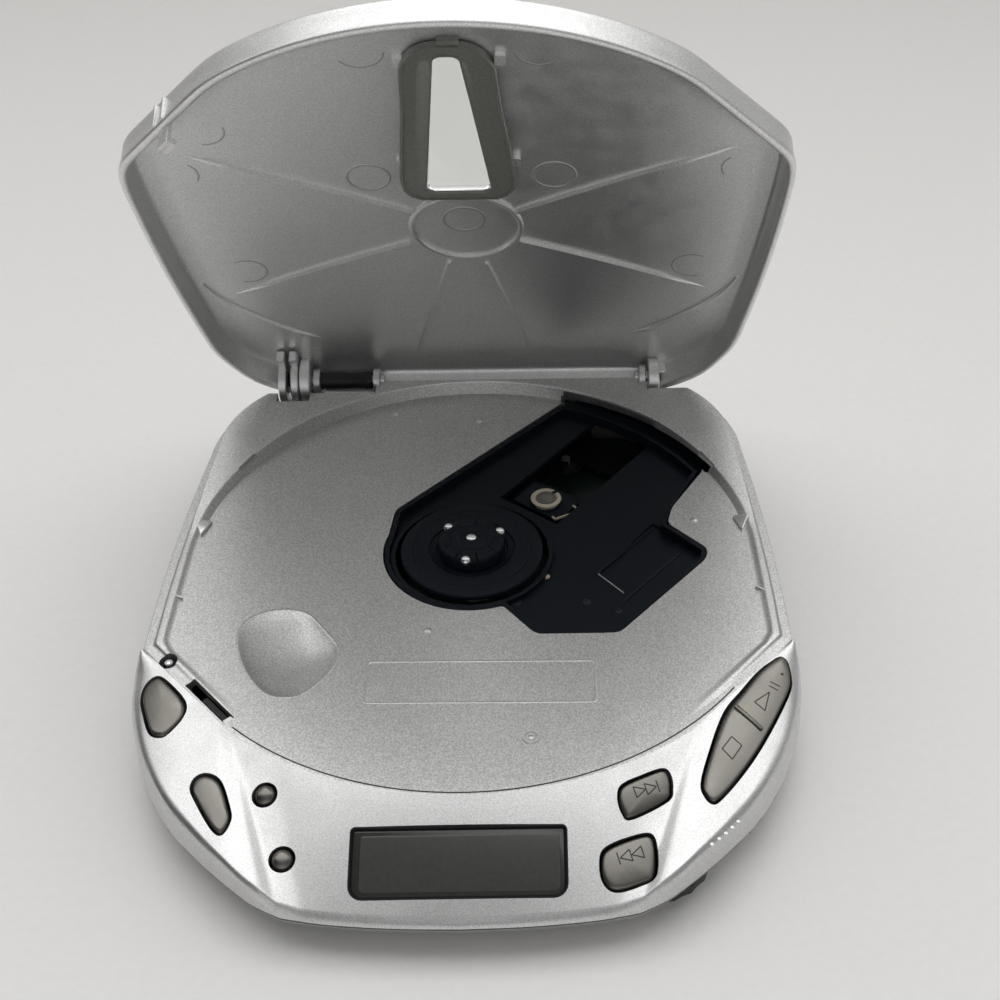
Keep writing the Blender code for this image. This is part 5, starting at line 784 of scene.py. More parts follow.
DISH_DEPTH = 2.1 * MM
DISH_RINGS = 16
DISH_RING_POWER = 1.3
DISH_POWER = 2.4
DISH_LIP_SHARE = 0.1
DISH_BLEND_SHARE = 0.7
OVERRUN = 1.0 * MM
PLAN_COUNTS = (30, 18, 26, 34, 10)


def arc(centre, radius, start, end, count):
    points = []
    for i in range(count + 1):
        angle = lerp(start, end, i / count)
        points.append((centre[0] + radius * math.cos(angle), centre[1] + radius * math.sin(angle)))
    return points


def line(start, end, count):
    return [(lerp(start[0], end[0], i / count), lerp(start[1], end[1], i / count)) for i in range(count)]


def lid_plan(rounds=0):
    """Outline shared by the lid and the deck; rounds soften its corners."""
    front_count, chamfer_count, side_count, corner_count, back_count = PLAN_COUNTS
    sweep = math.asin(CORNER_X / FRONT_RADIUS)
    half = arc((0.0, FRONT_CENTRE_Y), FRONT_RADIUS, -math.pi / 2, sweep - math.pi / 2, front_count)
    half += line(half.pop(), (side_x(SIDE_Y), SIDE_Y), chamfer_count)
    corner_y = BACK_Y - BACK_CORNER_RADIUS
    for i in range(side_count):
        y = lerp(SIDE_Y, corner_y, i / side_count)
        half.append((side_x(y), y))
    centre = (side_x(corner_y) - BACK_CORNER_RADIUS, corner_y)
    corner = arc(centre, BACK_CORNER_RADIUS, 0.0, math.pi / 2, corner_count)
    half += corner[:-1] + line(corner[-1], (0.0, BACK_Y), back_count) + [(0.0, BACK_Y)]
    plan = half + [(-x, y) for x, y in reversed(half[1:-1])]
    for _ in range(rounds):
        plan = [tuple((a + 2 * b + c) / 4 for a, b, c in zip(plan[i - 1], plan[i], plan[(i + 1) % len(plan)]))
                for i in range(len(plan))]
    return plan


def part_space(points):
    """Points drawn about the spindle, moved to the part's frame."""
    return [(x, y + SPINDLE_Y, z) for x, y, z in points]


def seat_z(y):
    return FLOOR_Z - SEAT_BACK_DROP * smooth_step((y - SEAT_DROP_Y) / SEAT_DROP_RUN)


def rounded_outline(points, radius, steps=4):
    """Closed outline with each corner rounded."""
    result = []
    count = len(points)
    for i in range(count):
        corner = (Vector(points[(i + k) % count]) for k in (-1, 0, 1))
        result += [tuple(point) for point in bend(*corner, radius, steps)]
    return result


def opening_plan():
    """Opening of the bay floor over the mechanism."""
    front = [(sx * BAY_RADIUS, sy * BAY_RADIUS) for sx, sy in OPENING_FRONT_SHARES]
    back = arc(AXIS, BAY_RADIUS - GAP, *OPENING_BACK, OPENING_STEPS)
    left = (OPENING_LEFT_SHARE[0] * BAY_RADIUS, OPENING_LEFT_SHARE[1] * BAY_RADIUS)
    well = arc(AXIS, HUB_WELL_RADIUS, *HUB_WELL, HUB_WELL_STEPS)
    return rounded_outline(front + back + [left] + well, OPENING_CORNER)


def prism(name, outline, low, high, material=black):
    return loft(name, [part_space(at_height(outline, low)), part_space(at_height(outline, high))], material)


def bar(name, radius, start, end, y, z):
    """Round bar along X."""
    outline = circle(radius, 32, (y + SPINDLE_Y, z))
    return loft(name, [[(x, *point) for point in outline] for x in (start, end)])


def block(name, centre, size, angle=0.0, material=black, edge=0.0):
    """Block standing at a place in plan, with its upright edges rounded."""
    points = round_corners(size[0] / 2, size[1] / 2, (max(edge, WELD),) * 4, 2)
    turn = Matrix.Translation((centre[0], centre[1] + SPINDLE_Y, centre[2])) @ Matrix.Rotation(angle, 4, "Z")
    rings = [at_height(points, -size[2] / 2), at_height(points, size[2] / 2)]
    return loft(name, rings, material, matrix=turn)


def latch_place():
    """Middle of the latch slot, the way along the left chamfer and its angle."""
    seam = seam_point(True, LATCH_SHARE)
    start, end = seam_point(True, 0.0), seam_point(True, 1.0)
    way = Vector((start.x - end.x, end.y - start.y)).normalized()
    inward = Vector((-way.y, way.x))
    angle = math.atan2(way.y, way.x)
    centre = Vector((-seam.x, seam.y)) + inward * LATCH_SLOT_INSET
    return centre, Vector((math.cos(angle), math.sin(angle))), angle


def deck_column(place, ring):
    """Section of the deck at one place of its outline, from the bay's edge outwards and under."""
    x, y = place
    reach = math.hypot(x, y)
    radius = BAY_RADIUS
    if y < 0.0:
        radius = min(LEDGE_RADIUS, BAY_RADIUS * reach / max(abs(x), WELD))
    radius = min(radius, reach - BAY_EDGE_MIN)
    share = read_shares(RAIL_HEIGHT_SHARES, y * radius / reach / BAY_RADIUS)
    rail_share = read_shares(RAIL_HEIGHT_SHARES, y / BAY_RADIUS)
    wide = radius + lerp(RAIL_SLOPE_SIDE, RAIL_SLOPE_BACK, share)
    flat_under = FLOOR_Z - FLOOR_THICK
    under = lerp(flat_under, BACK_BLOCK_Z, smooth_step((y - SEAT_DROP_Y) / SEAT_DROP_RUN))
    path = [
        Vector((x * radius / reach, y * radius / reach, FLOOR_Z)),
        Vector((x * wide / reach, y * wide / reach, FLOOR_Z + BACK_WALL_HEIGHT * share)),
        Vector((*ring[0], FLOOR_Z + BACK_WALL_HEIGHT * rail_share)),
        Vector((*ring[1], seat_z(y))),
        Vector((x, y, seat_z(y))),
        Vector((x, y, waist_z(y) + GAP)),
        Vector((*ring[2], waist_z(y) + GAP)),
        Vector((*ring[2], under)),
        Vector((*ring[3], under)),
        Vector((*ring[4], flat_under)),
    ]
    return rounded_path(path, DECK_ROUND, DECK_ROUND_STEPS)


def undercut_prism(name, start, end, radius, low, high, material=black):
    """Block under the bay's back wall, between two angles about the spindle."""
    outer = arc(AXIS, radius, start, end, UNDERCUT_STEPS)
    inner = arc(AXIS, BAY_RADIUS - 2 * GAP, end, start, UNDERCUT_STEPS)
    return prism(name, rounded_outline(outer + inner, 2 * GAP), low, high, material)


def build_deck():
    plan = lid_plan()
    near = [inset(plan, distance) for distance in (SEAT_WIDTH + SEAT_STEP, SEAT_WIDTH, DECK_WALL)]
    for distance in (BACK_BLOCK_DEPTH, BACK_BLOCK_DEPTH + BACK_BLOCK_RUN):
        near.append([tuple(Vector(p) * (1.0 - distance / Vector(p).length)) for p in plan])
    columns = [deck_column(place, ring) for place, ring in zip(plan, zip(*near))]
    deck = loft("deck_shell", [part_space(ring) for ring in zip(*columns)], bay_silver)
    low = BACK_BLOCK_Z - OVERRUN
    rim = [(DISH_CENTRE[0] + sx * DISH_REACH, DISH_CENTRE[1] + sy * DISH_REACH)
           for sx, sy in closed_curve(DISH_SHARES, 6)]
    centre, way, turn = latch_place()
    size = (LATCH_SLOT_LENGTH, LATCH_SLOT_WIDTH, 2 * LATCH_SLOT_DEPTH)
    cutters = [
        prism("opening", opening_plan(), low, FLOOR_Z + OVERRUN),
        prism("dish", rim, low, FLOOR_Z + OVERRUN),
        block("slot", (centre.x, centre.y, FLOOR_Z), size, turn),
        prism("hole", circle(SWITCH_HOLE, 32, SWITCH_PLACE), low, FLOOR_Z + 2 * OVERRUN),
    ]
    for y in SOCKETS_Y:
        reach = side_x(y)
        cutters.append(bar("socket_hole", SOCKET_HOLE, reach - SOCKET_LENGTH, reach + OVERRUN, y, SOCKET_Z))
    radius = BAY_RADIUS + RAIL_SLOPE_BACK
    for angle in GUIDE_SLOT_ANGLES:
        place = (radius * math.cos(angle), radius * math.sin(angle), GUIDE_SLOT_Z)
        cutters.append(block("guide_slot", place, GUIDE_SLOT_SIZE, angle))
    carve(deck, *cutters)
    profile = arc((HINGE_Y, HINGE_Z), TROUGH_RADIUS, -math.pi / 2, TROUGH_END, TROUGH_STEPS)
    outer = BACK_Y + OVERRUN
    profile = [(TROUGH_FRONT_Y, TROUGH_TOP), (TROUGH_FRONT_Y, profile[0][1])] + profile
    profile += [(outer, TROUGH_LIP_Z), (outer, TROUGH_TOP)]
    sides = [[(x, y + SPINDLE_Y, z) for y, z in profile] for x in (-TROUGH_HALF, TROUGH_HALF)]
    carve(deck, loft("trough", sides))
    for radius, start, end in POCKETS:
        carve(deck, bar("pocket", radius, start, end, HINGE_Y, HINGE_Z))
    for start, end, top in UNDERCUTS:
        carve(deck, undercut_prism("undercut", start, end, UNDERCUT_RADIUS, low, top))
    carve(deck, block("hinge_notch", *HINGE_NOTCH))
    shade(deck.data, DECK_SHARP)
    even_normals(deck)
    place_piece(deck, "case", "silver_plastic", "bay_deck")
    wing = undercut_prism("cover_wing", *UNDERCUTS[0][:2], UNDERCUT_RADIUS + 2 * GAP, *UNDERCUT_FLOOR, navy)
    place_piece(wing, "case", "navy_plastic")
    build_dish(rim)


def build_dish(rim):
    """Bowl of the dish for a finger, steep at its rim and round towards its middle."""
    rings = []
    for i in range(DISH_RINGS + 1):
        share = 1.0 - (i / DISH_RINGS) ** DISH_RING_POWER
        fall = smooth_step((1.0 - share) / DISH_LIP_SHARE)
        depth = DISH_DEPTH * (1.0 - share ** DISH_POWER) * fall
        ring = []
        for x, y in rim:
            way = Vector((x - DISH_CENTRE[0], y - DISH_CENTRE[1]))
            reach = lerp(way.length, DISH_REACH * DISH_ROUND, smooth_step((1.0 - share) / DISH_BLEND_SHARE))
            way = way.normalized() * reach * share
            ring.append((DISH_CENTRE[0] + way.x, DISH_CENTRE[1] + way.y))
        rings.append(part_space(at_height(ring, FLOOR_Z - depth)))
    bowl = loft("dish_bowl", rings, bay_silver, closed=False)
    bowl.modifiers.new("wall", "SOLIDIFY").thickness = DISH_WALL
    place_piece(bowl)


def build_posts():
    """Posts of the deck that hold the hinge's pins."""
    foot = POST_LOW - HINGE_Z
    outline = arc(AXIS, POST_HALF, 0.0, math.pi, 16) + [(-POST_HALF, foot), (POST_HALF, foot)]
    for i, x in enumerate(POSTS_X):
        rings = []
        for shift, size in POST_SECTION_SHARES:
            rings.append([(x + POST_WIDTH * shift, HINGE_Y + SPINDLE_Y + y * size, HINGE_Z + z * size)
                          for y, z in outline])
        place_piece(loft(f"hinge_post_{i + 1}", rings, bay_silver))


build_deck()
build_posts()


# Lid

RIM_LIFT = 0.4 * MM
LID_WALL = 1.8 * MM
LID_FRONT_EDGE_Z = 23.8 * MM
LID_BACK_EDGE_Z = 25.6 * MM
LID_BACK_RADIUS = 6.0 * MM
LID_CROWN = 3.2 * MM
LID_DRAFT = 0.3 * MM
LID_EDGE_ROUND = 1.3 * MM
LID_SKIN = 1.6 * MM
LID_ROUND = 1.1 * MM
LID_ROUND_STEPS = 3
LID_SOFTENING = 6
LID_SHARP = 38.0
DOME_POWER = 2.2
DOME_SHARES = (0.06, 0.14, 0.23, 0.32, 0.41, 0.50, 0.59, 0.67, 0.75, 0.82, 0.88, 0.93)
BACK_LIFT = 1.1 * MM
BACK_LIFT_Y = 52.0 * MM
NOTCH_TOP = 2.4 * MM
CLAMP_RING_RADIUS = 12.3 * MM
CLAMP_RING_WALL = 1.0 * MM
CLAMP_RING_HEIGHT = 1.1 * MM
CLAMP_RING_CENTRE = (0.0, 4.3 * MM)
CLAMP_RING_EDGE_SHARE = 0.15
CLAMP_RING_STEPS = 64
SPOKES = (
    ((-11.3, -1.8), (-54.3, -25.3)), ((11.0, -1.6), (55.0, -26.1)), ((-12.4, 10.0), (-54.9, 27.8)),
    ((11.4, 9.5), (54.2, 27.5)), ((-4.6, 18.0), (-14.7, 56.7)), ((3.9, 18.6), (13.8, 58.1)),
)
SPOKE_WIDTH = 0.9 * MM
SPOKE_DROP = 0.9 * MM
SPOKE_STEPS = 8
CORNER_RIB_STEPS = 12
RIB_FADE_STEPS = 1.5
RIB_END_SHARE = 0.15
RIB_SECTION_SHARES = ((-1.6, -0.3), (-0.9, 0.4), (-0.45, 0.95), (0.45, 0.95), (0.9, 0.4), (1.6, -0.3))
CORNER_RIBS = (((-61.0, 21.4), (-57.0, 37.5), (-38.5, 50.0)), ((61.0, 21.4), (57.0, 37.5), (38.5, 50.0)))
MARKS = ((-16.0, -54.8), (16.0, -54.8), (-48.8, -33.1), (-57.0, -19.1), (57.0, -19.1), (-19.0, -14.7),
         (19.0, -14.7), (-50.3, 18.5), (50.3, 18.5), (-0.3, 1.5))
MARK_RADIUS = 4.4 * MM
MARK_WIDTH = 0.208 * MM
MARK_DROP = 0.126 * MM
MARK_SECTION_SHARES = ((2.0, -1.0), (1.0, 1.0), (-1.0, 1.0), (-2.0, -1.0))
PANE_FRONT_Y = -54.9 * MM
PANE_BACK_Y = -10.9 * MM
PANE_FRONT_HALF = 2.2 * MM
PANE_BACK_HALF = 6.7 * MM
PANE_ROUND = 1.5 * MM
WINDOW_FRONT_Y = -58.0 * MM
WINDOW_BACK_Y = -8.6 * MM
WINDOW_HALF = 11.9 * MM
WINDOW_SHIFT = -0.6 * MM
WINDOW_HALF_SHARES = ((0.0, 0.16), (0.006, 0.3), (0.02, 0.42), (0.045, 0.54), (0.085, 0.66), (0.13, 0.735),
                      (0.2, 0.76), (0.4, 0.81), (0.62, 0.91), (0.78, 0.97), (0.86, 1.0), (0.93, 0.97),
                      (0.975, 0.85), (1.0, 0.66))
WINDOW_COUNT = 40
WINDOW_SET = 0.45 * MM
WINDOW_THICK = 1.2 * MM
WINDOW_SECTION_SHARES = ((0.0, 0.0), (0.0, 0.9), (0.03, 1.25), (0.12, 1.25), (0.16, 0.95), (0.5, 0.9),
                         (0.84, 0.95), (0.88, 1.15), (0.97, 1.15), (1.0, 0.9), (1.0, 0.0))
# Section of the pane: how far each ring is drawn in, and its depth below the lid's inner skin
PANE_SECTION = ((GAP / 2, GAP - LID_SKIN), (0.0, 0.0), (0.0, WINDOW_SET + 0.55 * WINDOW_THICK),
                (GAP, WINDOW_SET + 0.75 * WINDOW_THICK))
CLIPS = ((-9.2, -52.6), (9.0, -53.0), (-11.6, -20.5), (11.2, -20.5))
CLIP_SIZE = (2.0 * MM, 2.6 * MM, 1.5 * MM)
HOOK_DROP = 3.4 * MM
HOOK_WIDTH = 3.6 * MM
HOOK_THICK = 1.0 * MM
HOOK_PLACE_SHARE = 0.30
HOOK_LIP_SHARE = 1.4
HOOK_FIN_SHARE = 0.7
HOOK_FIN_PLACE_SHARE = 0.42


def lid_edge_z(y):
    reach = FRONT_RADIUS - FRONT_CENTRE_Y
    return lerp(LID_FRONT_EDGE_Z, LID_BACK_EDGE_Z, (y + reach) / (BACK_Y + reach))


def dome_z(share, y):
    """Height of the lid's outer skin, at a share of the way from its middle to its edge."""
    return lid_edge_z(y) + LID_CROWN * (1.0 - share ** DOME_POWER)


LID_PLAN = lid_plan(LID_SOFTENING)
LID_BEARINGS = sorted((math.atan2(y, x), math.hypot(x, y)) for x, y in LID_PLAN)


def lid_skin(x, y):
    """Height of the lid's inner skin at a place in plan, with the lid closed."""
    bearing = math.atan2(y, x)
    reach = LID_BEARINGS[-1][1]
    for (a0, r0), (a1, r1) in zip(LID_BEARINGS, LID_BEARINGS[1:]):
        if a0 <= bearing <= a1:
            reach = lerp(r0, r1, (bearing - a0) / max(a1 - a0, TINY))
            break
    share = min(1.0, math.hypot(x, y) / reach)
    return dome_z(share, y) - LID_SKIN


def in_lid(piece):
    """Turn a piece drawn on the closed lid to the open lid."""
    piece.data.transform(LID_TURN)
    return piece


def lid_loft(name, rings, material=lid_silver_painted_light, sharp=35.0, closed=True):
    return in_lid(loft(name, [part_space(ring) for ring in rings], material, sharp, closed))


def kept_in(point, radius):
    """Keep a point behind the hinge within the lid's rounded back."""
    x, y, z = point
    rise = z - HINGE_Z
    if y > HINGE_Y and abs(rise) < radius:
        y = min(y, HINGE_Y + math.sqrt(radius ** 2 - rise ** 2))
    return Vector((x, y, z))


def lid_column(place, inner, middle, rim_inner, drafted):
    """Section of the lid at one place of its outline, inside first, then outside."""
    x, y = place
    rim = seat_z(y) + RIM_LIFT
    edge = lid_edge_z(y)
    inside = LID_BACK_RADIUS - LID_WALL
    lift = BACK_LIFT * smooth_step((y - BACK_LIFT_Y) / (BACK_Y - BACK_LIFT_Y))
    path = []
    for share in DOME_SHARES:
        px, py = inner[0] * share, inner[1] * share
        path.append(kept_in((px, py, dome_z(share, py) - LID_SKIN), LID_BACK_RADIUS - LID_SKIN))
    path.append(kept_in((*middle, edge - LID_SKIN - LID_EDGE_ROUND / 4), inside))
    path.append(kept_in((*rim_inner, rim + lift), inside))
    path.append(kept_in((x, y, rim), LID_BACK_RADIUS))
    path.append(kept_in((*drafted, (edge + rim) / 2), LID_BACK_RADIUS))
    path.append(kept_in((*drafted, edge), LID_BACK_RADIUS))
    for share in reversed(DOME_SHARES):
        px, py = drafted[0] * share, drafted[1] * share
        path.append(kept_in((px, py, dome_z(share, py)), LID_BACK_RADIUS))
    return rounded_path(path, LID_ROUND, LID_ROUND_STEPS)


def pane_half(y):
    half = lerp(PANE_FRONT_HALF, PANE_BACK_HALF, (y - PANE_FRONT_Y) / (PANE_BACK_Y - PANE_FRONT_Y))
    short = max(0.0, 1.0 - min(y - PANE_FRONT_Y, PANE_BACK_Y - y) / PANE_ROUND)
    return half - PANE_ROUND * (1.0 - math.sqrt(max(0.0, 1.0 - short * short)))


def pane_outline(grow, steps=5):
    front, back = PANE_FRONT_Y - grow, PANE_BACK_Y + grow
    corners = [(-PANE_FRONT_HALF - grow, front), (PANE_FRONT_HALF + grow, front),
               (PANE_BACK_HALF + grow, back), (-PANE_BACK_HALF - grow, back)]
    return [(x + WINDOW_SHIFT, y) for x, y in rounded_outline(corners, PANE_ROUND, steps)]


def build_lid():
    rings = [inset(LID_PLAN, d) for d in (LID_WALL, LID_WALL + LID_DRAFT, LID_WALL, LID_DRAFT)]
    columns = [lid_column(*places) for places in zip(LID_PLAN, *rings)]
    lid = loft("lid_skin", [part_space(ring) for ring in zip(*columns)], lid_silver_painted_light)
    carve(lid, prism("window_hole", pane_outline(GAP), FLOOR_Z, LID_BACK_EDGE_Z + 2 * LID_CROWN))
    size = (POST_WIDTH + 4 * GAP, 2 * LID_BACK_RADIUS + OVERRUN, 2 * LID_BACK_RADIUS + NOTCH_TOP)
    z = HINGE_Z + NOTCH_TOP - size[2] / 2
    for x in POSTS_X:
        carve(lid, block("notch", (x, HINGE_Y + LID_BACK_RADIUS / 2, z), size))
    in_lid(lid)
    shade(lid.data, LID_SHARP)
    even_normals(lid)
    place_piece(lid, "lid", "silver_plastic", "lid_shell")
    build_clamp_ring()
    for i, (start, end) in enumerate(SPOKES):
        a, b = Vector(start) * MM, Vector(end) * MM
        rib_along(f"lid_rib_{i + 1}", [a.lerp(b, k / SPOKE_STEPS) for k in range(SPOKE_STEPS + 1)])
    for i, corners in enumerate(CORNER_RIBS):
        a, b, c = (Vector(corner) * MM for corner in corners)
        shares = [k / CORNER_RIB_STEPS for k in range(CORNER_RIB_STEPS + 1)]
        rib_along(f"corner_rib_{i + 1}", [a.lerp(b, t).lerp(b.lerp(c, t), t) for t in shares])
    for i, place in enumerate(MARKS):
        mark_ring(f"lid_mark_{i + 1}", tuple(Vector(place) * MM))


def under_skin(outline, drop):
    """Outline in plan set below the lid's inner skin."""
    return [(x, y, lid_skin(x, y) - drop) for x, y in outline]


def build_clamp_ring():
    """Low round ring in the middle of the lid, over the hub."""
    inner = CLAMP_RING_RADIUS - CLAMP_RING_WALL
    rings = []
    for radius, rise in ((CLAMP_RING_RADIUS + GAP, 1.0), (CLAMP_RING_RADIUS, CLAMP_RING_EDGE_SHARE),
                         (CLAMP_RING_RADIUS - GAP, 0.0), (inner + GAP, 0.0), (inner, CLAMP_RING_EDGE_SHARE),
                         (inner, 1.0)):
        outline = circle(radius, CLAMP_RING_STEPS, CLAMP_RING_CENTRE)
        rings.append(under_skin(outline, CLAMP_RING_HEIGHT * (1.0 - rise) - GAP))
    place_piece(lid_loft("clamp_ring", rings, closed=False), "lid")


def rib_along(name, path):
    """Low moulded rib under the lid's skin, fading out at its end."""
    rings = []
    last = len(path) - 1
    for i, point in enumerate(path):
        way = (path[min(i + 1, last)] - path[max(i - 1, 0)]).normalized()
        side = Vector((-way.y, way.x)) * (SPOKE_WIDTH / 2)
        fade = min(1.0, (last - i) / RIB_FADE_STEPS + RIB_END_SHARE)
        ring = []
        for shift, share in RIB_SECTION_SHARES:
            x, y = point + side * shift
            ring.append((x, y, lid_skin(x, y) - SPOKE_DROP * share * fade))
        rings.append(ring)
    place_piece(lid_loft(name, rings, sharp=60.0), "lid")


def mark_ring(name, centre):
    """Faint round mark of an ejector pin on the lid's inner skin."""
    rings = [under_skin(circle(MARK_RADIUS + MARK_WIDTH * shift, ROUND_STEPS, centre), MARK_DROP * drop)
             for shift, drop in MARK_SECTION_SHARES]
    place_piece(lid_loft(name, rings, case_grey, 60.0, closed=False), "lid")


def build_hook():
    """Hook on the lid's left chamfer that the latch holds: its blade, its lip and two fins."""
    centre, way, turn = latch_place()
    inward = Vector((-way.y, way.x))
    middle = centre - way * (LATCH_SLOT_LENGTH * HOOK_PLACE_SHARE)
    web = middle - inward * HOOK_THICK
    rim = FLOOR_Z + RIM_LIFT
    low, high = rim - HOOK_DROP, LID_FRONT_EDGE_Z - LID_SKIN / 2
    lip = (HOOK_WIDTH, HOOK_THICK * HOOK_LIP_SHARE)
    fin = (HOOK_THICK * HOOK_FIN_SHARE, 2 * HOOK_THICK)
    pieces = [
        ("hook", middle, (HOOK_WIDTH, HOOK_THICK), low, high),
        ("hook_lip", middle + inward * HOOK_THICK, lip, low, low + HOOK_THICK),
    ]
    for name, side in (("hook_fin_left", -1), ("hook_fin_right", 1)):
        spot = web + way * (side * HOOK_WIDTH * HOOK_FIN_PLACE_SHARE)
        pieces.append((name, spot, fin, rim + HOOK_THICK, high))
    for name, spot, size, bottom, top in pieces:
        edge = HOOK_THICK / (6 if size is fin else 4)
        piece = block(name, (*spot, (bottom + top) / 2), (*size, top - bottom), turn, lid_silver_painted_light, edge)
        place_piece(in_lid(piece), "lid")


def window_half(share):
    return WINDOW_HALF * read_shares(WINDOW_HALF_SHARES, share)


def build_window():
    stations = []
    for side in (1.0, -1.0):
        half = []
        for i in range(WINDOW_COUNT + 1):
            share = 0.5 - 0.5 * math.cos(math.pi * i / WINDOW_COUNT)
            y, inner_y = lerp(WINDOW_FRONT_Y, WINDOW_BACK_Y, share), lerp(PANE_FRONT_Y, PANE_BACK_Y, share)
            half.append((Vector((side * window_half(share) + WINDOW_SHIFT, y)),
                         Vector((side * pane_half(inner_y) + WINDOW_SHIFT, inner_y))))
        stations += half if side > 0.0 else half[::-1]
    rings = []
    for share, drop in WINDOW_SECTION_SHARES:
        ring = [outer.lerp(inner, share) for outer, inner in stations]
        rings.append(under_skin(ring, WINDOW_SET + WINDOW_THICK * drop))
    window_ring = lid_loft("window_ring", rings + rings[:1], smoked, 50.0, closed=False)
    place_piece(window_ring, "lid", "smoked_plastic", "lid_window")

    outline = pane_outline(0.0)
    rings = [under_skin(inset(outline, shrink), drop) for shrink, drop in PANE_SECTION]
    place_piece(lid_loft("window_pane", rings, clear, 30.0), "lid", "smoked_plastic")

    for i, place in enumerate(CLIPS):
        x, y = in_mm(place)
        z = lid_skin(x, y) - CLIP_SIZE[2] / 2 + GAP
        clip = block(f"window_clip_{i + 1}", (x, y, z), CLIP_SIZE, 0.0, lid_silver_painted_light, CLIP_SIZE[0] / 5)
        place_piece(in_lid(clip), "lid", "smoked_plastic")
    wide, deep, high = CLIP_SIZE
    y = WINDOW_FRONT_Y - deep / 5
    place = (0.0, y, lid_skin(0.0, y) - high / 2)
    tab = block("window_tab", place, (2 * wide, deep / 2, high), 0.0, smoked, GAP)
    place_piece(in_lid(tab), "lid", "smoked_plastic")


build_lid()
build_hook()
build_window()


# Mechanism in the bay, its sections as radius and height in millimetres

TABLE_SECTION = (
    (8.0, 17.2), (8.9, 17.4), (9.05, 17.1), (9.4, 17.1), (9.55, 17.42), (12.4, 17.42), (12.55, 17.3),
    (12.95, 17.3), (13.1, 17.42), (15.1, 17.42), (15.5, 17.32), (15.7, 17.05), (15.7, 16.2), (15.4, 15.95),
    (2.6, 15.95), (2.6, 14.7), (1.5, 14.7), (1.5, 16.6), (8.0, 16.6),
)
HUB_SECTION = ((7.3, 17.1), (7.3, 19.2), (7.15, 19.7), (6.75, 20.05), (6.1, 20.3), (5.2, 20.4), (4.7, 20.35),
               (4.45, 20.15), (3.2, 20.1), (2.9, 20.3), (2.5, 20.4), (1.5, 20.4), (1.4, 20.2))
SHAFT_SECTION = ((1.1, 19.9), (1.1, 20.6), (0.9, 20.8), (0.5, 20.9))
BALL_SHARES = ((0.5, -0.85), (0.85, -0.5), (0.98, -0.15), (1.0, 0.1), (0.9, 0.45), (0.68, 0.74), (0.38, 0.93),
               (0.1, 0.995))
BALL_ORBIT = 6.75 * MM
BALL_Z = 19.5 * MM
BALL_ANGLES = (24.0, 140.0, 261.0)
BALL_RADIUS = 1.2 * MM
BALL_LIFT = 0.7
HUB_SLITS = 9
HUB_SLIT_START = math.radians(2.0)
HUB_SLIT_SIZE = (3.0 * MM, 0.26 * MM, 2.6 * MM)
HUB_SLIT_RADIUS = 6.0 * MM
HUB_SLIT_Z = 20.4 * MM
LENS_PLACE = (16.62 * MM, 21.28 * MM)
HOLDER_SECTION = ((2.9, 12.9), (2.9, 14.05), (3.55, 14.1), (3.6, 14.2), (3.5, 14.4), (3.1, 14.57),
                  (2.7, 14.6), (2.5, 14.4), (2.3, 14.1))
LENS_SECTION = ((2.25, 14.15), (2.25, 14.5), (2.0, 14.6), (1.85, 14.5), (1.7, 14.65), (1.3, 14.9),
                (0.8, 15.08), (0.3, 15.15))
HOLDER_NOTCH = ((19.0 * MM, 23.6 * MM, 14.5 * MM), (2.2 * MM, 1.3 * MM, 1.4 * MM), math.radians(35.0))
# Small bars and clips on the cover and the sled: centre, size, turn, finish, body
BARS = (
    ((16.4, -7.3, 15.0), (1.3, 0.9, 0.6), 25.0, cream, "case"),
    ((39.1, -7.9, 14.95), (21.0, 0.35, 0.3), 49.2, dark_steel_and_shade, "case"),
    ((30.2, -9.5, 14.95), (8.2, 0.22, 0.2), -50.2, steel, "case"),
    ((34.2, 1.6, 14.9), (20.4, 0.2, 0.16), 49.2, dark_steel_and_shade, "case"),
    ((21.3, 15.6, 13.6), (5.2, 0.4, 0.4), 28.0, cream, "sled"),
    ((23.6, 18.2, 13.6), (2.4, 0.4, 0.4), -50.0, cream, "sled"),
    ((18.4, 14.6, 13.6), (1.4, 0.4, 0.4), -50.0, cream, "sled"),
)
COVER_SCREWS = ((9.72, -14.91, 1.15), (24.84, -15.23, 0.9), (31.4, -18.2, 0.7))
SCREW_SECTION = ((1.0, 14.85), (1.0, 15.02), (0.8, 15.1), (0.5, 15.1), (0.42, 14.96), (0.1, 14.94))


def turned(name, section, material, centre=AXIS, steps=72, size=1.0, closed=True):
    rings = [part_space(at_height(circle(radius * size * MM, steps, centre), z * MM))
             for radius, z in section]
    if not closed:
        rings.append(rings[0])
    return loft(name, rings, material, closed=closed)


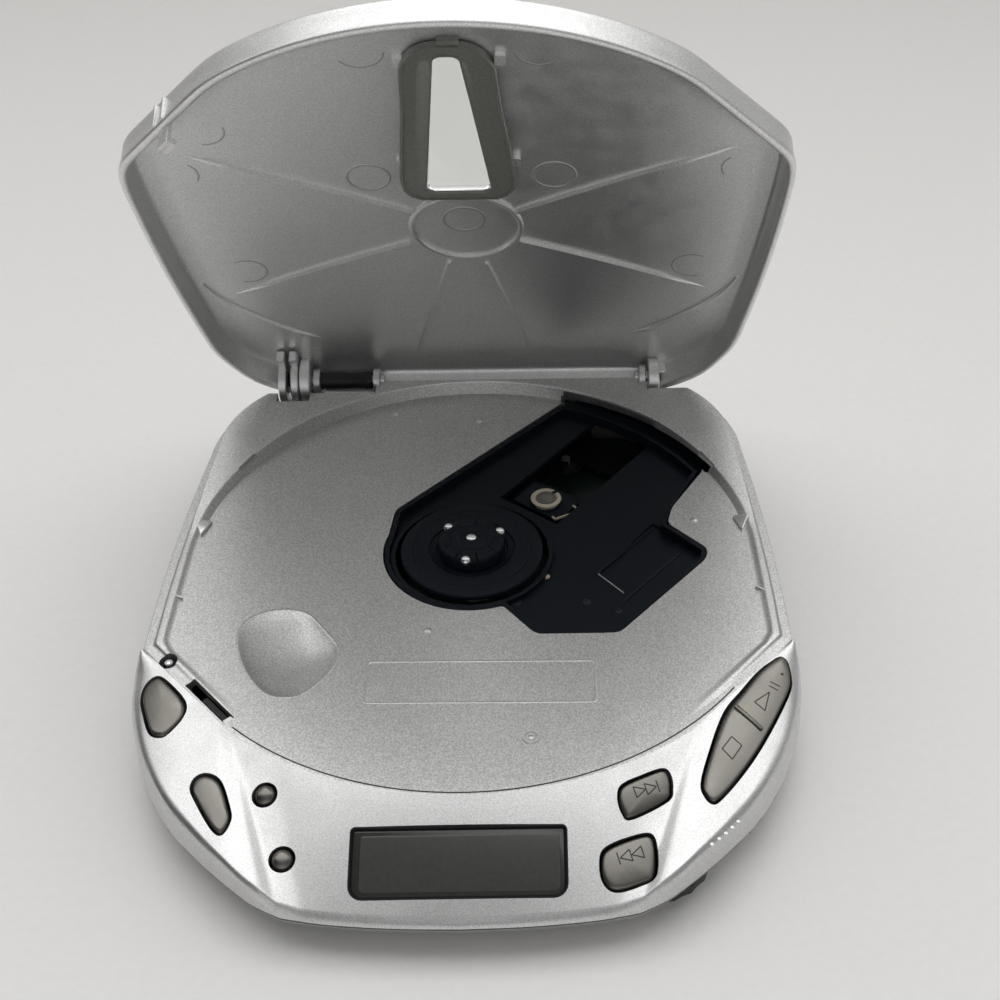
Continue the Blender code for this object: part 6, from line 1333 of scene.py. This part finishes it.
def build_spindle():
    disc = turned("turntable_disc", TABLE_SECTION, navy, closed=False)
    place_piece(disc, "spindle", "navy_plastic", "turntable")
    hub = turned("hub", HUB_SECTION, navy)
    slits = []
    for i in range(HUB_SLITS):
        angle = HUB_SLIT_START + 2 * math.pi * i / HUB_SLITS
        place = (HUB_SLIT_RADIUS * math.cos(angle), HUB_SLIT_RADIUS * math.sin(angle), HUB_SLIT_Z)
        slits.append(block("slit", place, HUB_SLIT_SIZE, angle))
    carve(hub, *slits)
    place_piece(hub, "spindle", "navy_plastic", "spindle_hub")
    place_piece(turned("shaft_tip", SHAFT_SECTION, chrome, steps=32), "spindle", "steel")
    rings = [at_height(circle(radius * BALL_RADIUS, 24), z * BALL_RADIUS) for radius, z in BALL_SHARES]
    for i, degrees in enumerate(BALL_ANGLES):
        angle = math.radians(degrees)
        out = Vector((math.cos(angle), math.sin(angle), 0.0))
        matrix = Vector((out.x, out.y, BALL_LIFT)).to_track_quat("Z", "Y").to_matrix().to_4x4()
        matrix.translation = out * BALL_ORBIT + Vector((0.0, SPINDLE_Y, BALL_Z))
        place_piece(loft(f"clamp_ball_{i + 1}", rings, chrome, matrix=matrix), "spindle", "steel")


def build_pickup():
    holder = turned("holder", HOLDER_SECTION, cream, LENS_PLACE, 48)
    carve(holder, block("holder_notch", *HOLDER_NOTCH))
    place_piece(holder, "lens", "cream_plastic", "lens_holder")
    lens = turned("lens", LENS_SECTION, lens_glass, LENS_PLACE, 40)
    place_piece(lens, "lens", "lens_glass", "objective_lens")
    for i, (place, size, degrees, finish, body) in enumerate(BARS):
        size = in_mm(size)
        turn = math.radians(degrees)
        piece = block(f"mechanism_bar_{i + 1}", in_mm(place), size, turn, finish, size[1] / 3)
        place_piece(piece, body, "cream_plastic" if finish == cream else "steel")
    for i, (x, y, size) in enumerate(COVER_SCREWS):
        screw = turned(f"cover_screw_{i + 1}", SCREW_SECTION, dark_steel_and_shade, (x * MM, y * MM), 24, size)
        place_piece(screw, "case", "steel")


# Display

BEZEL_SECTION = ((0.06, -0.05), (0.2, -0.02), (0.3, -0.1), (0.55, -0.7), (0.55, -1.3), (0.06, -1.3))
GLASS_SECTION = ((0.6, -1.3), (0.6, -0.8), (0.75, -0.72))
FIELD_HALF = (17.8 * MM, 5.0 * MM)
FIELD_SHIFT = (0.25 * MM, -0.1 * MM)
FIELD_SECTION = ((0.0, -0.74), (0.0, -0.68), (0.1, -0.66))
FIELD_RADII = (1.0 * MM, 1.0 * MM, 0.5 * MM, 0.5 * MM)


def stepped(outline, section):
    """Rings of an outline, moved inwards and to a height by a section in millimetres."""
    return [at_height(inset(outline, distance * MM), z * MM) for distance, z in section]


def build_display():
    matrix = panel_frame(*DISPLAY_CENTRE)
    outline = round_corners(*DISPLAY_HALF, DISPLAY_RADII)
    rings = stepped(outline, BEZEL_SECTION)
    bezel = loft("display_bezel", rings + rings[:1], black, closed=False, matrix=matrix)
    place_piece(bezel, "case", "black_plastic")
    glass = loft("display_pane", stepped(outline, GLASS_SECTION), display, matrix=matrix)
    place_piece(glass, "case", "display_glass", "display_window")
    outline = [(x + FIELD_SHIFT[0], y + FIELD_SHIFT[1]) for x, y in round_corners(*FIELD_HALF, FIELD_RADII)]
    field = loft("display_field", stepped(outline, FIELD_SECTION), lcd, matrix=matrix)
    place_piece(field, "case", "display_glass")


# Signs on the keys, drawn in each key's own plane in millimetres

INK_LIFT = 0.025 * MM
INK_WIDTH = 0.24
INK_STEP = 0.6
SKIP_TRIANGLES = (((-2.4, 1.1), (-2.4, -1.1), (-0.35, 0.0)), ((-0.2, 1.1), (-0.2, -1.1), (1.85, 0.0)))
SKIP_BAR = ((2.15, -1.15), (2.15, 1.15))
SKIP_LINES = [(*corners, corners[0]) for corners in SKIP_TRIANGLES] + [SKIP_BAR]
SIGN_LINES = {
    "play_stop_key": (
        ((5.53, 10.35), (7.38, 9.29)), ((5.22, 9.37), (6.86, 8.30)),
        ((5.09, 7.82), (1.87, 5.33), (3.71, 3.37), (5.09, 7.82)),
        ((-3.4, -2.93), (-1.66, -4.9), (-3.77, -8.03), (-5.48, -5.76), (-3.4, -2.93)),
        ((7.9, 12.35), (8.16, 12.6), (8.42, 12.35), (8.16, 12.1), (7.9, 12.35)),
    ),
}
SKIP_SIGNS = {"skip_forward_button": (1.0, 20.0, (0.15, 0.6)), "skip_back_button": (-1.0, 16.0, (0.2, 1.2))}


def skip_lines(direction, degrees, shift):
    c, s = math.cos(math.radians(degrees)), math.sin(math.radians(degrees))
    lines = [[(x * direction, y) for x, y in points] for points in SKIP_LINES]
    return [[(x * c - y * s + shift[0], x * s + y * c + shift[1]) for x, y in points] for points in lines]


SIGN_LINES.update((name, skip_lines(*values)) for name, values in SKIP_SIGNS.items())


def stroke(bm, laid, start, end):
    """Straight printed stroke from one place to another, laid on a keycap."""
    (x0, y0), (x1, y1) = start, end
    way = Vector((x1 - x0, y1 - y0)).normalized()
    side = Vector((-way.y, way.x)) * (INK_WIDTH / 2)
    steps = max(1, int(math.hypot(x1 - x0, y1 - y0) / INK_STEP))
    rows = []
    for i in range(steps + 1):
        middle = Vector((lerp(x0, x1, i / steps), lerp(y0, y1, i / steps)))
        corners = ((middle - side, -INK_LIFT), (middle - side, INK_LIFT), (middle + side, INK_LIFT),
                   (middle + side, -INK_LIFT))
        rows.append([bm.verts.new(laid(*place, lift)) for place, lift in corners])
    for low, high in zip(rows, rows[1:]):
        for k in range(4):
            m = (k + 1) % 4
            bm.faces.new((low[k], low[m], high[m], high[k]))
    bm.faces.new(rows[0])
    bm.faces.new(rows[-1])


def build_signs():
    for name, lines in SIGN_LINES.items():
        matrix = key_hole(name)[0]
        cap = bpy.data.objects[name + "_cap"].data
        surface = BVHTree.FromPolygons([v.co for v in cap.vertices], [p.vertices for p in cap.polygons])
        down = -matrix.to_3x3().col[2]

        def laid(x, y, lift):
            start = matrix @ Vector((x * MM, y * MM, 4 * CAP_HEIGHT))
            hit = surface.ray_cast(start, down)[0]
            return (hit or start) - down * lift

        bm = bmesh.new()
        for points in lines:
            for start, end in zip(points, points[1:]):
                stroke(bm, laid, start, end)
        sign = new_piece(name + "_sign", mesh_of(bm, name + "_sign"), ink_and_shade)
        place_piece(sign, BODY_OF[name], "black_plastic")


# Small moulded details of the bay and the panel, and a painted shadow line at the panel's edge

FLOOR_FRAME = ((2.8, -40.1), (22.8, 5.6), -0.6)
FLOOR_FRAME_ROUND = 0.9 * MM
FLOOR_FRAME_SECTION = ((-0.35, -0.03), (-0.15, 0.13), (0.15, 0.13), (0.35, -0.03))
FLOOR_DOTS = ((-20.5, 52.5), (-8.5, -25.5), (49.9, 9.1), (0.4, 49.0))
DOT_SECTION = ((1.0, 16.97), (0.85, 17.05), (0.75, 17.18), (0.5, 17.27), (0.15, 17.3))
BOSS_PLACE = (12.7, -54.7)
BOSS_SECTION = ((1.75, 16.95), (1.6, 17.15), (1.25, 17.15), (1.1, 16.98), (0.6, 16.98), (0.45, 17.1),
                (0.1, 17.13))
PADS = (((-62.9, 10.8), (-60.7, 5.4), (-58.9, 10.7)), ((58.6, 10.0), (60.2, 4.9), (62.4, 9.9)))
PAD_LOW = 16.9 * MM
PAD_HEIGHTS = (17.55 * MM, 18.15 * MM)
PAD_ROUND = 0.7 * MM
PAD_EDGE = 0.1 * MM
TICKS = (((-62.0, -14.4, 17.35), -29.7), ((61.7, -14.6, 17.35), -41.0))
TICK_SIZE = (2.6 * MM, 0.3 * MM, 0.7 * MM)
SCALE_DOTS = ((44.8, -77.3), (46.2, -76.2), (47.5, -75.1), (48.8, -73.9), (50.0, -72.7))
SCALE_DOT_SECTION = ((0.42, -0.05), (0.36, 0.06), (0.15, 0.12))
SCALE_DOT_LIFT = 0.05 * MM
SLIDER_SIZE = (7.5 * MM, 1.2 * MM, 5.0 * MM)
SLIDER_TOP = 16.1 * MM
LATCH_TRAVEL = 1.2 * MM
TAB_SIZE = (1.1 * MM, 1.9 * MM, 0.5 * MM)
TAB_Z = 16.5 * MM
# Painted shadow line along the panel's edge: inner and outer radius, start and end angle
SEAM_SHADOW = (67.6 * MM, 67.9 * MM, math.radians(229.0), math.radians(321.0))
SEAM_SHADOW_Z = (16.7 * MM, 17.03 * MM)
SEAM_STEPS = 60
PLUNGER_SECTION = ((0.55, 16.7), (0.5, 16.95), (0.3, 17.0))


def build_bay_details():
    (cx, cy), half, degrees = FLOOR_FRAME
    spot = Matrix.Translation((cx * MM, cy * MM + SPINDLE_Y, FLOOR_Z))
    turn = spot @ Matrix.Rotation(math.radians(degrees), 4, "Z")
    rings = stepped(round_corners(*in_mm(half), (FLOOR_FRAME_ROUND,) * 4), FLOOR_FRAME_SECTION)
    place_piece(loft("floor_frame", rings + rings[:1], bay_silver, 60.0, closed=False, matrix=turn))
    for i, place in enumerate(FLOOR_DOTS):
        place_piece(turned(f"floor_dot_{i + 1}", DOT_SECTION, silver, in_mm(place), 28))
    place_piece(turned("floor_boss", BOSS_SECTION, silver, in_mm(BOSS_PLACE), 36))
    for i, corners in enumerate(PADS):
        build_pad(f"bay_pad_{i + 1}", [in_mm(corner) for corner in corners])
    for i, (place, degrees) in enumerate(TICKS):
        turn = math.radians(degrees)
        place_piece(block(f"rail_tick_{i + 1}", in_mm(place), TICK_SIZE, turn, silver, TICK_SIZE[1] / 3))
    rings = [at_height(circle(radius * MM, 16), z * MM) for radius, z in SCALE_DOT_SECTION]
    for i, place in enumerate(SCALE_DOTS):
        matrix = panel_frame(*in_mm(place))
        matrix.translation.z += SCALE_DOT_LIFT
        place_piece(loft(f"scale_dot_{i + 1}", rings, silver, matrix=matrix))


def build_pad(name, corners):
    """Small three-cornered rest at the side of the bay, sloping down inwards."""
    outline = rounded_outline(corners, PAD_ROUND, 3)
    first, last = abs(corners[0][0]), abs(corners[2][0])
    rings = [at_height(outline, PAD_LOW)]
    for ring, drop in ((outline, PAD_EDGE), (inset(outline, 2 * PAD_EDGE), 0.0)):
        points = []
        for x, y in ring:
            share = min(1.0, (abs(x) - min(first, last)) / abs(last - first))
            points.append((x, y, lerp(*PAD_HEIGHTS, share) - drop))
        rings.append(points)
    place_piece(loft(name, [part_space(ring) for ring in rings], silver))


def build_seam_shadow():
    """Painted shadow: a dark strip on the floor of the bay just in front of the panel's edge, where the gap
    between the floor and the panel shows dark.
    """
    inner, outer, start, end = SEAM_SHADOW
    outline = arc(AXIS, outer, start, end, SEAM_STEPS) + arc(AXIS, inner, end, start, SEAM_STEPS)
    place_piece(prism("seam_shadow", outline, *SEAM_SHADOW_Z, ink_and_shade), "case", "black_plastic")


def build_latch():
    centre, way, turn = latch_place()
    middle = centre + way * (LATCH_SLOT_LENGTH / 2 - SLIDER_SIZE[0] / 2 - LATCH_TRAVEL - GAP)
    place = (middle.x, middle.y, SLIDER_TOP - SLIDER_SIZE[2] / 2)
    slider = block("slider", place, SLIDER_SIZE, turn, black, SLIDER_SIZE[1] / 5)
    place_piece(slider, "latch", "black_plastic", "latch_slider")
    spot = centre + way * (LATCH_SLOT_LENGTH / 2 - TAB_SIZE[0] / 2)
    place_piece(block("slot_tab", (spot.x, spot.y, TAB_Z), TAB_SIZE, turn, silver, TAB_SIZE[0] / 5))
    place_piece(turned("plunger_tip", PLUNGER_SECTION, chrome, SWITCH_PLACE, 20), "lid_switch", "steel")


# Hinge fittings: start, end and radius of each flange, and whether it has an arm to the lid

FLANGES = ((-50.2, -48.2, 6.0, True), (-47.1, -45.2, 6.0, True), (-44.9, -42.3, 6.0, False),
           (43.1, 45.9, 4.6, False))
FLANGE_REACH = 9.0 * MM
FLANGE_LOW = 20.9 * MM
FLANGE_TOP = 24.0 * MM
FLANGE_EDGE = 0.25 * MM
FLANGE_ARC = (-1.05 * math.pi, 0.35 * math.pi)
FLANGE_TOP_SHARE = 0.9
FLANGE_LOW_SHARE = 0.95
FLANGE_ARC_STEPS = 30
FLANGE_DISC_STEPS = 48
CORE = (-48.2 * MM, -45.2 * MM, 2.4 * MM)
SPRING_COVER = (-41.4 * MM, -27.0 * MM, 2.2 * MM)
SHEATH_STEPS = 36
# Collars of a sheath: the share of its length, and the radius there as a share of the full one
SHEATH_SHARES = ((0.12, 1.0), (0.14, 0.93), (0.86, 0.93), (0.88, 1.0))
BLOCK_CORNERS = ((43.3, 62.4), (48.8, 62.4), (50.9, 63.5), (52.0, 65.3), (52.4, 67.4), (43.3, 67.4))


def sheath(name, start, end, radius):
    """Bar along the hinge's axis with rounded ends."""
    edge = radius / 8
    section = [(start, radius - edge), (start + edge, radius)]
    section += [(lerp(start, end, share), radius * size) for share, size in SHEATH_SHARES]
    section += [(end - edge, radius), (end, radius - edge)]
    return loft(name, [[(x, HINGE_Y + SPINDLE_Y + y, HINGE_Z + z) for y, z in circle(r, SHEATH_STEPS)]
                       for x, r in section])


def flange_outline(radius, arm):
    """Side view of a flange: a disc about the pin, or one with an arm up to the lid."""
    if not arm:
        return circle(radius, FLANGE_DISC_STEPS, (HINGE_Y, HINGE_Z))
    front = HINGE_Y - FLANGE_REACH
    outline = arc((HINGE_Y, HINGE_Z), radius, *FLANGE_ARC, FLANGE_ARC_STEPS)
    return outline + [(HINGE_Y, FLANGE_TOP), (HINGE_Y - FLANGE_REACH * FLANGE_TOP_SHARE, FLANGE_TOP),
                      (front, FLANGE_TOP - GAP), (front, FLANGE_LOW + GAP),
                      (HINGE_Y - FLANGE_REACH * FLANGE_LOW_SHARE, FLANGE_LOW)]


def build_hinge():
    for i, (start, end, radius, arm) in enumerate(FLANGES):
        start, end, radius = in_mm((start, end, radius))
        outline = flange_outline(radius, arm)
        small = inset(outline, FLANGE_EDGE)
        rings = [[(x, y + SPINDLE_Y, z) for y, z in ring] for x, ring in (
            (start, small), (start + FLANGE_EDGE, outline), (end - FLANGE_EDGE, outline), (end, small))]
        place_piece(in_lid(loft(f"hinge_flange_{i + 1}", rings, lid_silver_painted_light)), "lid")
    place_piece(in_lid(sheath("hinge_core", *CORE)), "lid", "black_plastic")
    place_piece(sheath("spring_cover", *SPRING_COVER), "case", "black_plastic", "lid_spring")
    outline = [in_mm(corner) for corner in BLOCK_CORNERS]
    rings = [at_height(inset(outline, GAP), FLANGE_LOW - GAP), at_height(outline, FLANGE_LOW),
             at_height(outline, FLANGE_TOP + GAP)]
    place_piece(lid_loft("hinge_block", rings), "lid")


build_spindle()
build_pickup()
build_display()
build_signs()
build_bay_details()
build_seam_shadow()
build_latch()
build_hinge()


# Camera

CAMERA_PLACE = Vector((14.36 * MM, -218.37 * MM, 213.19 * MM))
CAMERA_YAW = math.radians(-0.07)
CAMERA_PITCH = math.radians(51.34)
CAMERA_ROLL = math.radians(-0.77)
CAMERA_LENS = 49.12
CAMERA_SENSOR = 36.0
CAMERA_NEAR = 10 * MM
CAMERA_SHIFT = (-0.03765, 0.0014)


def build_camera():
    data = bpy.data.cameras.new("camera")
    data.sensor_width = CAMERA_SENSOR
    data.lens = CAMERA_LENS
    data.shift_x, data.shift_y = CAMERA_SHIFT
    data.clip_start = CAMERA_NEAR
    camera = new_object("camera", data)
    turn = Matrix.Rotation(CAMERA_YAW, 4, "Z") @ Matrix.Rotation(CAMERA_PITCH, 4, "X")
    camera.matrix_world = Matrix.Translation(CAMERA_PLACE) @ turn @ Matrix.Rotation(CAMERA_ROLL, 4, "Z")
    bpy.context.scene.camera = camera


# Floor and light

FLOOR_COLOUR = (0.92, 0.91, 0.89)
FLOOR_HALF = 1.2
FLOOR_BACK_Y = 0.62
WALL_HEIGHT = 1.0
WALL_BEND = 0.12
BEND_STEPS = 10


def build_floor():
    profile = [(-FLOOR_HALF, 0.0), (FLOOR_BACK_Y, 0.0)]
    for i in range(1, BEND_STEPS + 1):
        angle = math.pi / 2 * i / BEND_STEPS
        profile.append((FLOOR_BACK_Y + WALL_BEND * math.sin(angle), WALL_BEND * (1.0 - math.cos(angle))))
    profile.append((FLOOR_BACK_Y + WALL_BEND, WALL_HEIGHT))
    points = [(x, y, z) for x in (-FLOOR_HALF, FLOOR_HALF) for y, z in profile]
    count = len(profile)
    faces = [(i, i + count, i + count + 1, i + 1) for i in range(count - 1)]
    mesh = bpy.data.meshes.new("floor")
    mesh.from_pydata(points, [], faces)
    mesh.shade_smooth()
    floor = new_object("floor", mesh)
    dress(floor, paint("floor_paper", FLOOR_COLOUR, 0.0, 0.6, 2 * MM, 0.01, 0.05, 60 * MM))


# Soft lobes of the studio's light: direction, sharpness, strength
LIGHT_LOBES = (((0.0, 0.7, 0.7), 5.0, 2.7), ((0.9, 0.1, 0.3), 3.0, 0.32), ((0.0, -1.0, 0.1), 4.0, 0.78),
               ((0.0, 0.0, 1.0), 6.0, 0.45))
BACKDROP = (0.66, 0.66, 0.65)
LAMP_AIM = (0.0, 0.0, 0.0)
# Lamps: name, place, size, power
LAMPS = (("back", (0.0, 0.5, 0.65), (0.9, 0.25), 0.65), ("right", (0.55, 0.1, 0.6), (0.25, 0.6), 0.32),
         ("left", (-0.55, 0.1, 0.6), (0.25, 0.6), 0.42), ("top", (0.0, 0.0, 0.85), (0.9, 0.22), 0.5))


def lamp(name, place, size, power):
    data = bpy.data.lights.new(name, "AREA")
    data.shape = "RECTANGLE"
    data.size, data.size_y = size
    data.energy = power
    obj = new_object(name, data)
    obj.location = place
    way = Vector(LAMP_AIM) - Vector(place)
    obj.rotation_euler = way.to_track_quat("-Z", "Y").to_euler()


def build_light():
    world = bpy.data.worlds.new("studio")
    world.use_nodes = True
    tree = world.node_tree
    way = tree.nodes.new("ShaderNodeTexCoord").outputs["Generated"]
    total = None
    for direction, power, strength in LIGHT_LOBES:
        dot = tree.nodes.new("ShaderNodeVectorMath")
        dot.operation = "DOT_PRODUCT"
        dot.inputs[1].default_value = Vector(direction).normalized()
        tree.links.new(way, dot.inputs[0])
        value = dot.outputs["Value"]
        for operation, number in (("MAXIMUM", 0.0), ("POWER", power), ("MULTIPLY", strength)):
            step = tree.nodes.new("ShaderNodeMath")
            step.operation = operation
            step.inputs[1].default_value = number
            tree.links.new(value, step.inputs[0])
            value = step.outputs["Value"]
        if total is not None:
            join = tree.nodes.new("ShaderNodeMath")
            tree.links.new(total, join.inputs[0])
            tree.links.new(value, join.inputs[1])
            value = join.outputs["Value"]
        total = value
    seen = tree.nodes.new("ShaderNodeLightPath").outputs["Is Camera Ray"]
    pale = tree.nodes.new("ShaderNodeMix")
    pale.data_type = "RGBA"
    tree.links.new(seen, pale.inputs[0])
    tree.links.new(total, pale.inputs[6])
    pale.inputs[7].default_value = (*BACKDROP, 1.0)
    tree.links.new(pale.outputs[2], tree.nodes["Background"].inputs["Color"])
    bpy.context.scene.world = world
    for values in LAMPS:
        lamp(*values)


bpy.context.scene.view_settings.view_transform = "Standard"
build_camera()
build_floor()
build_light()
bpy.context.view_layer.update()
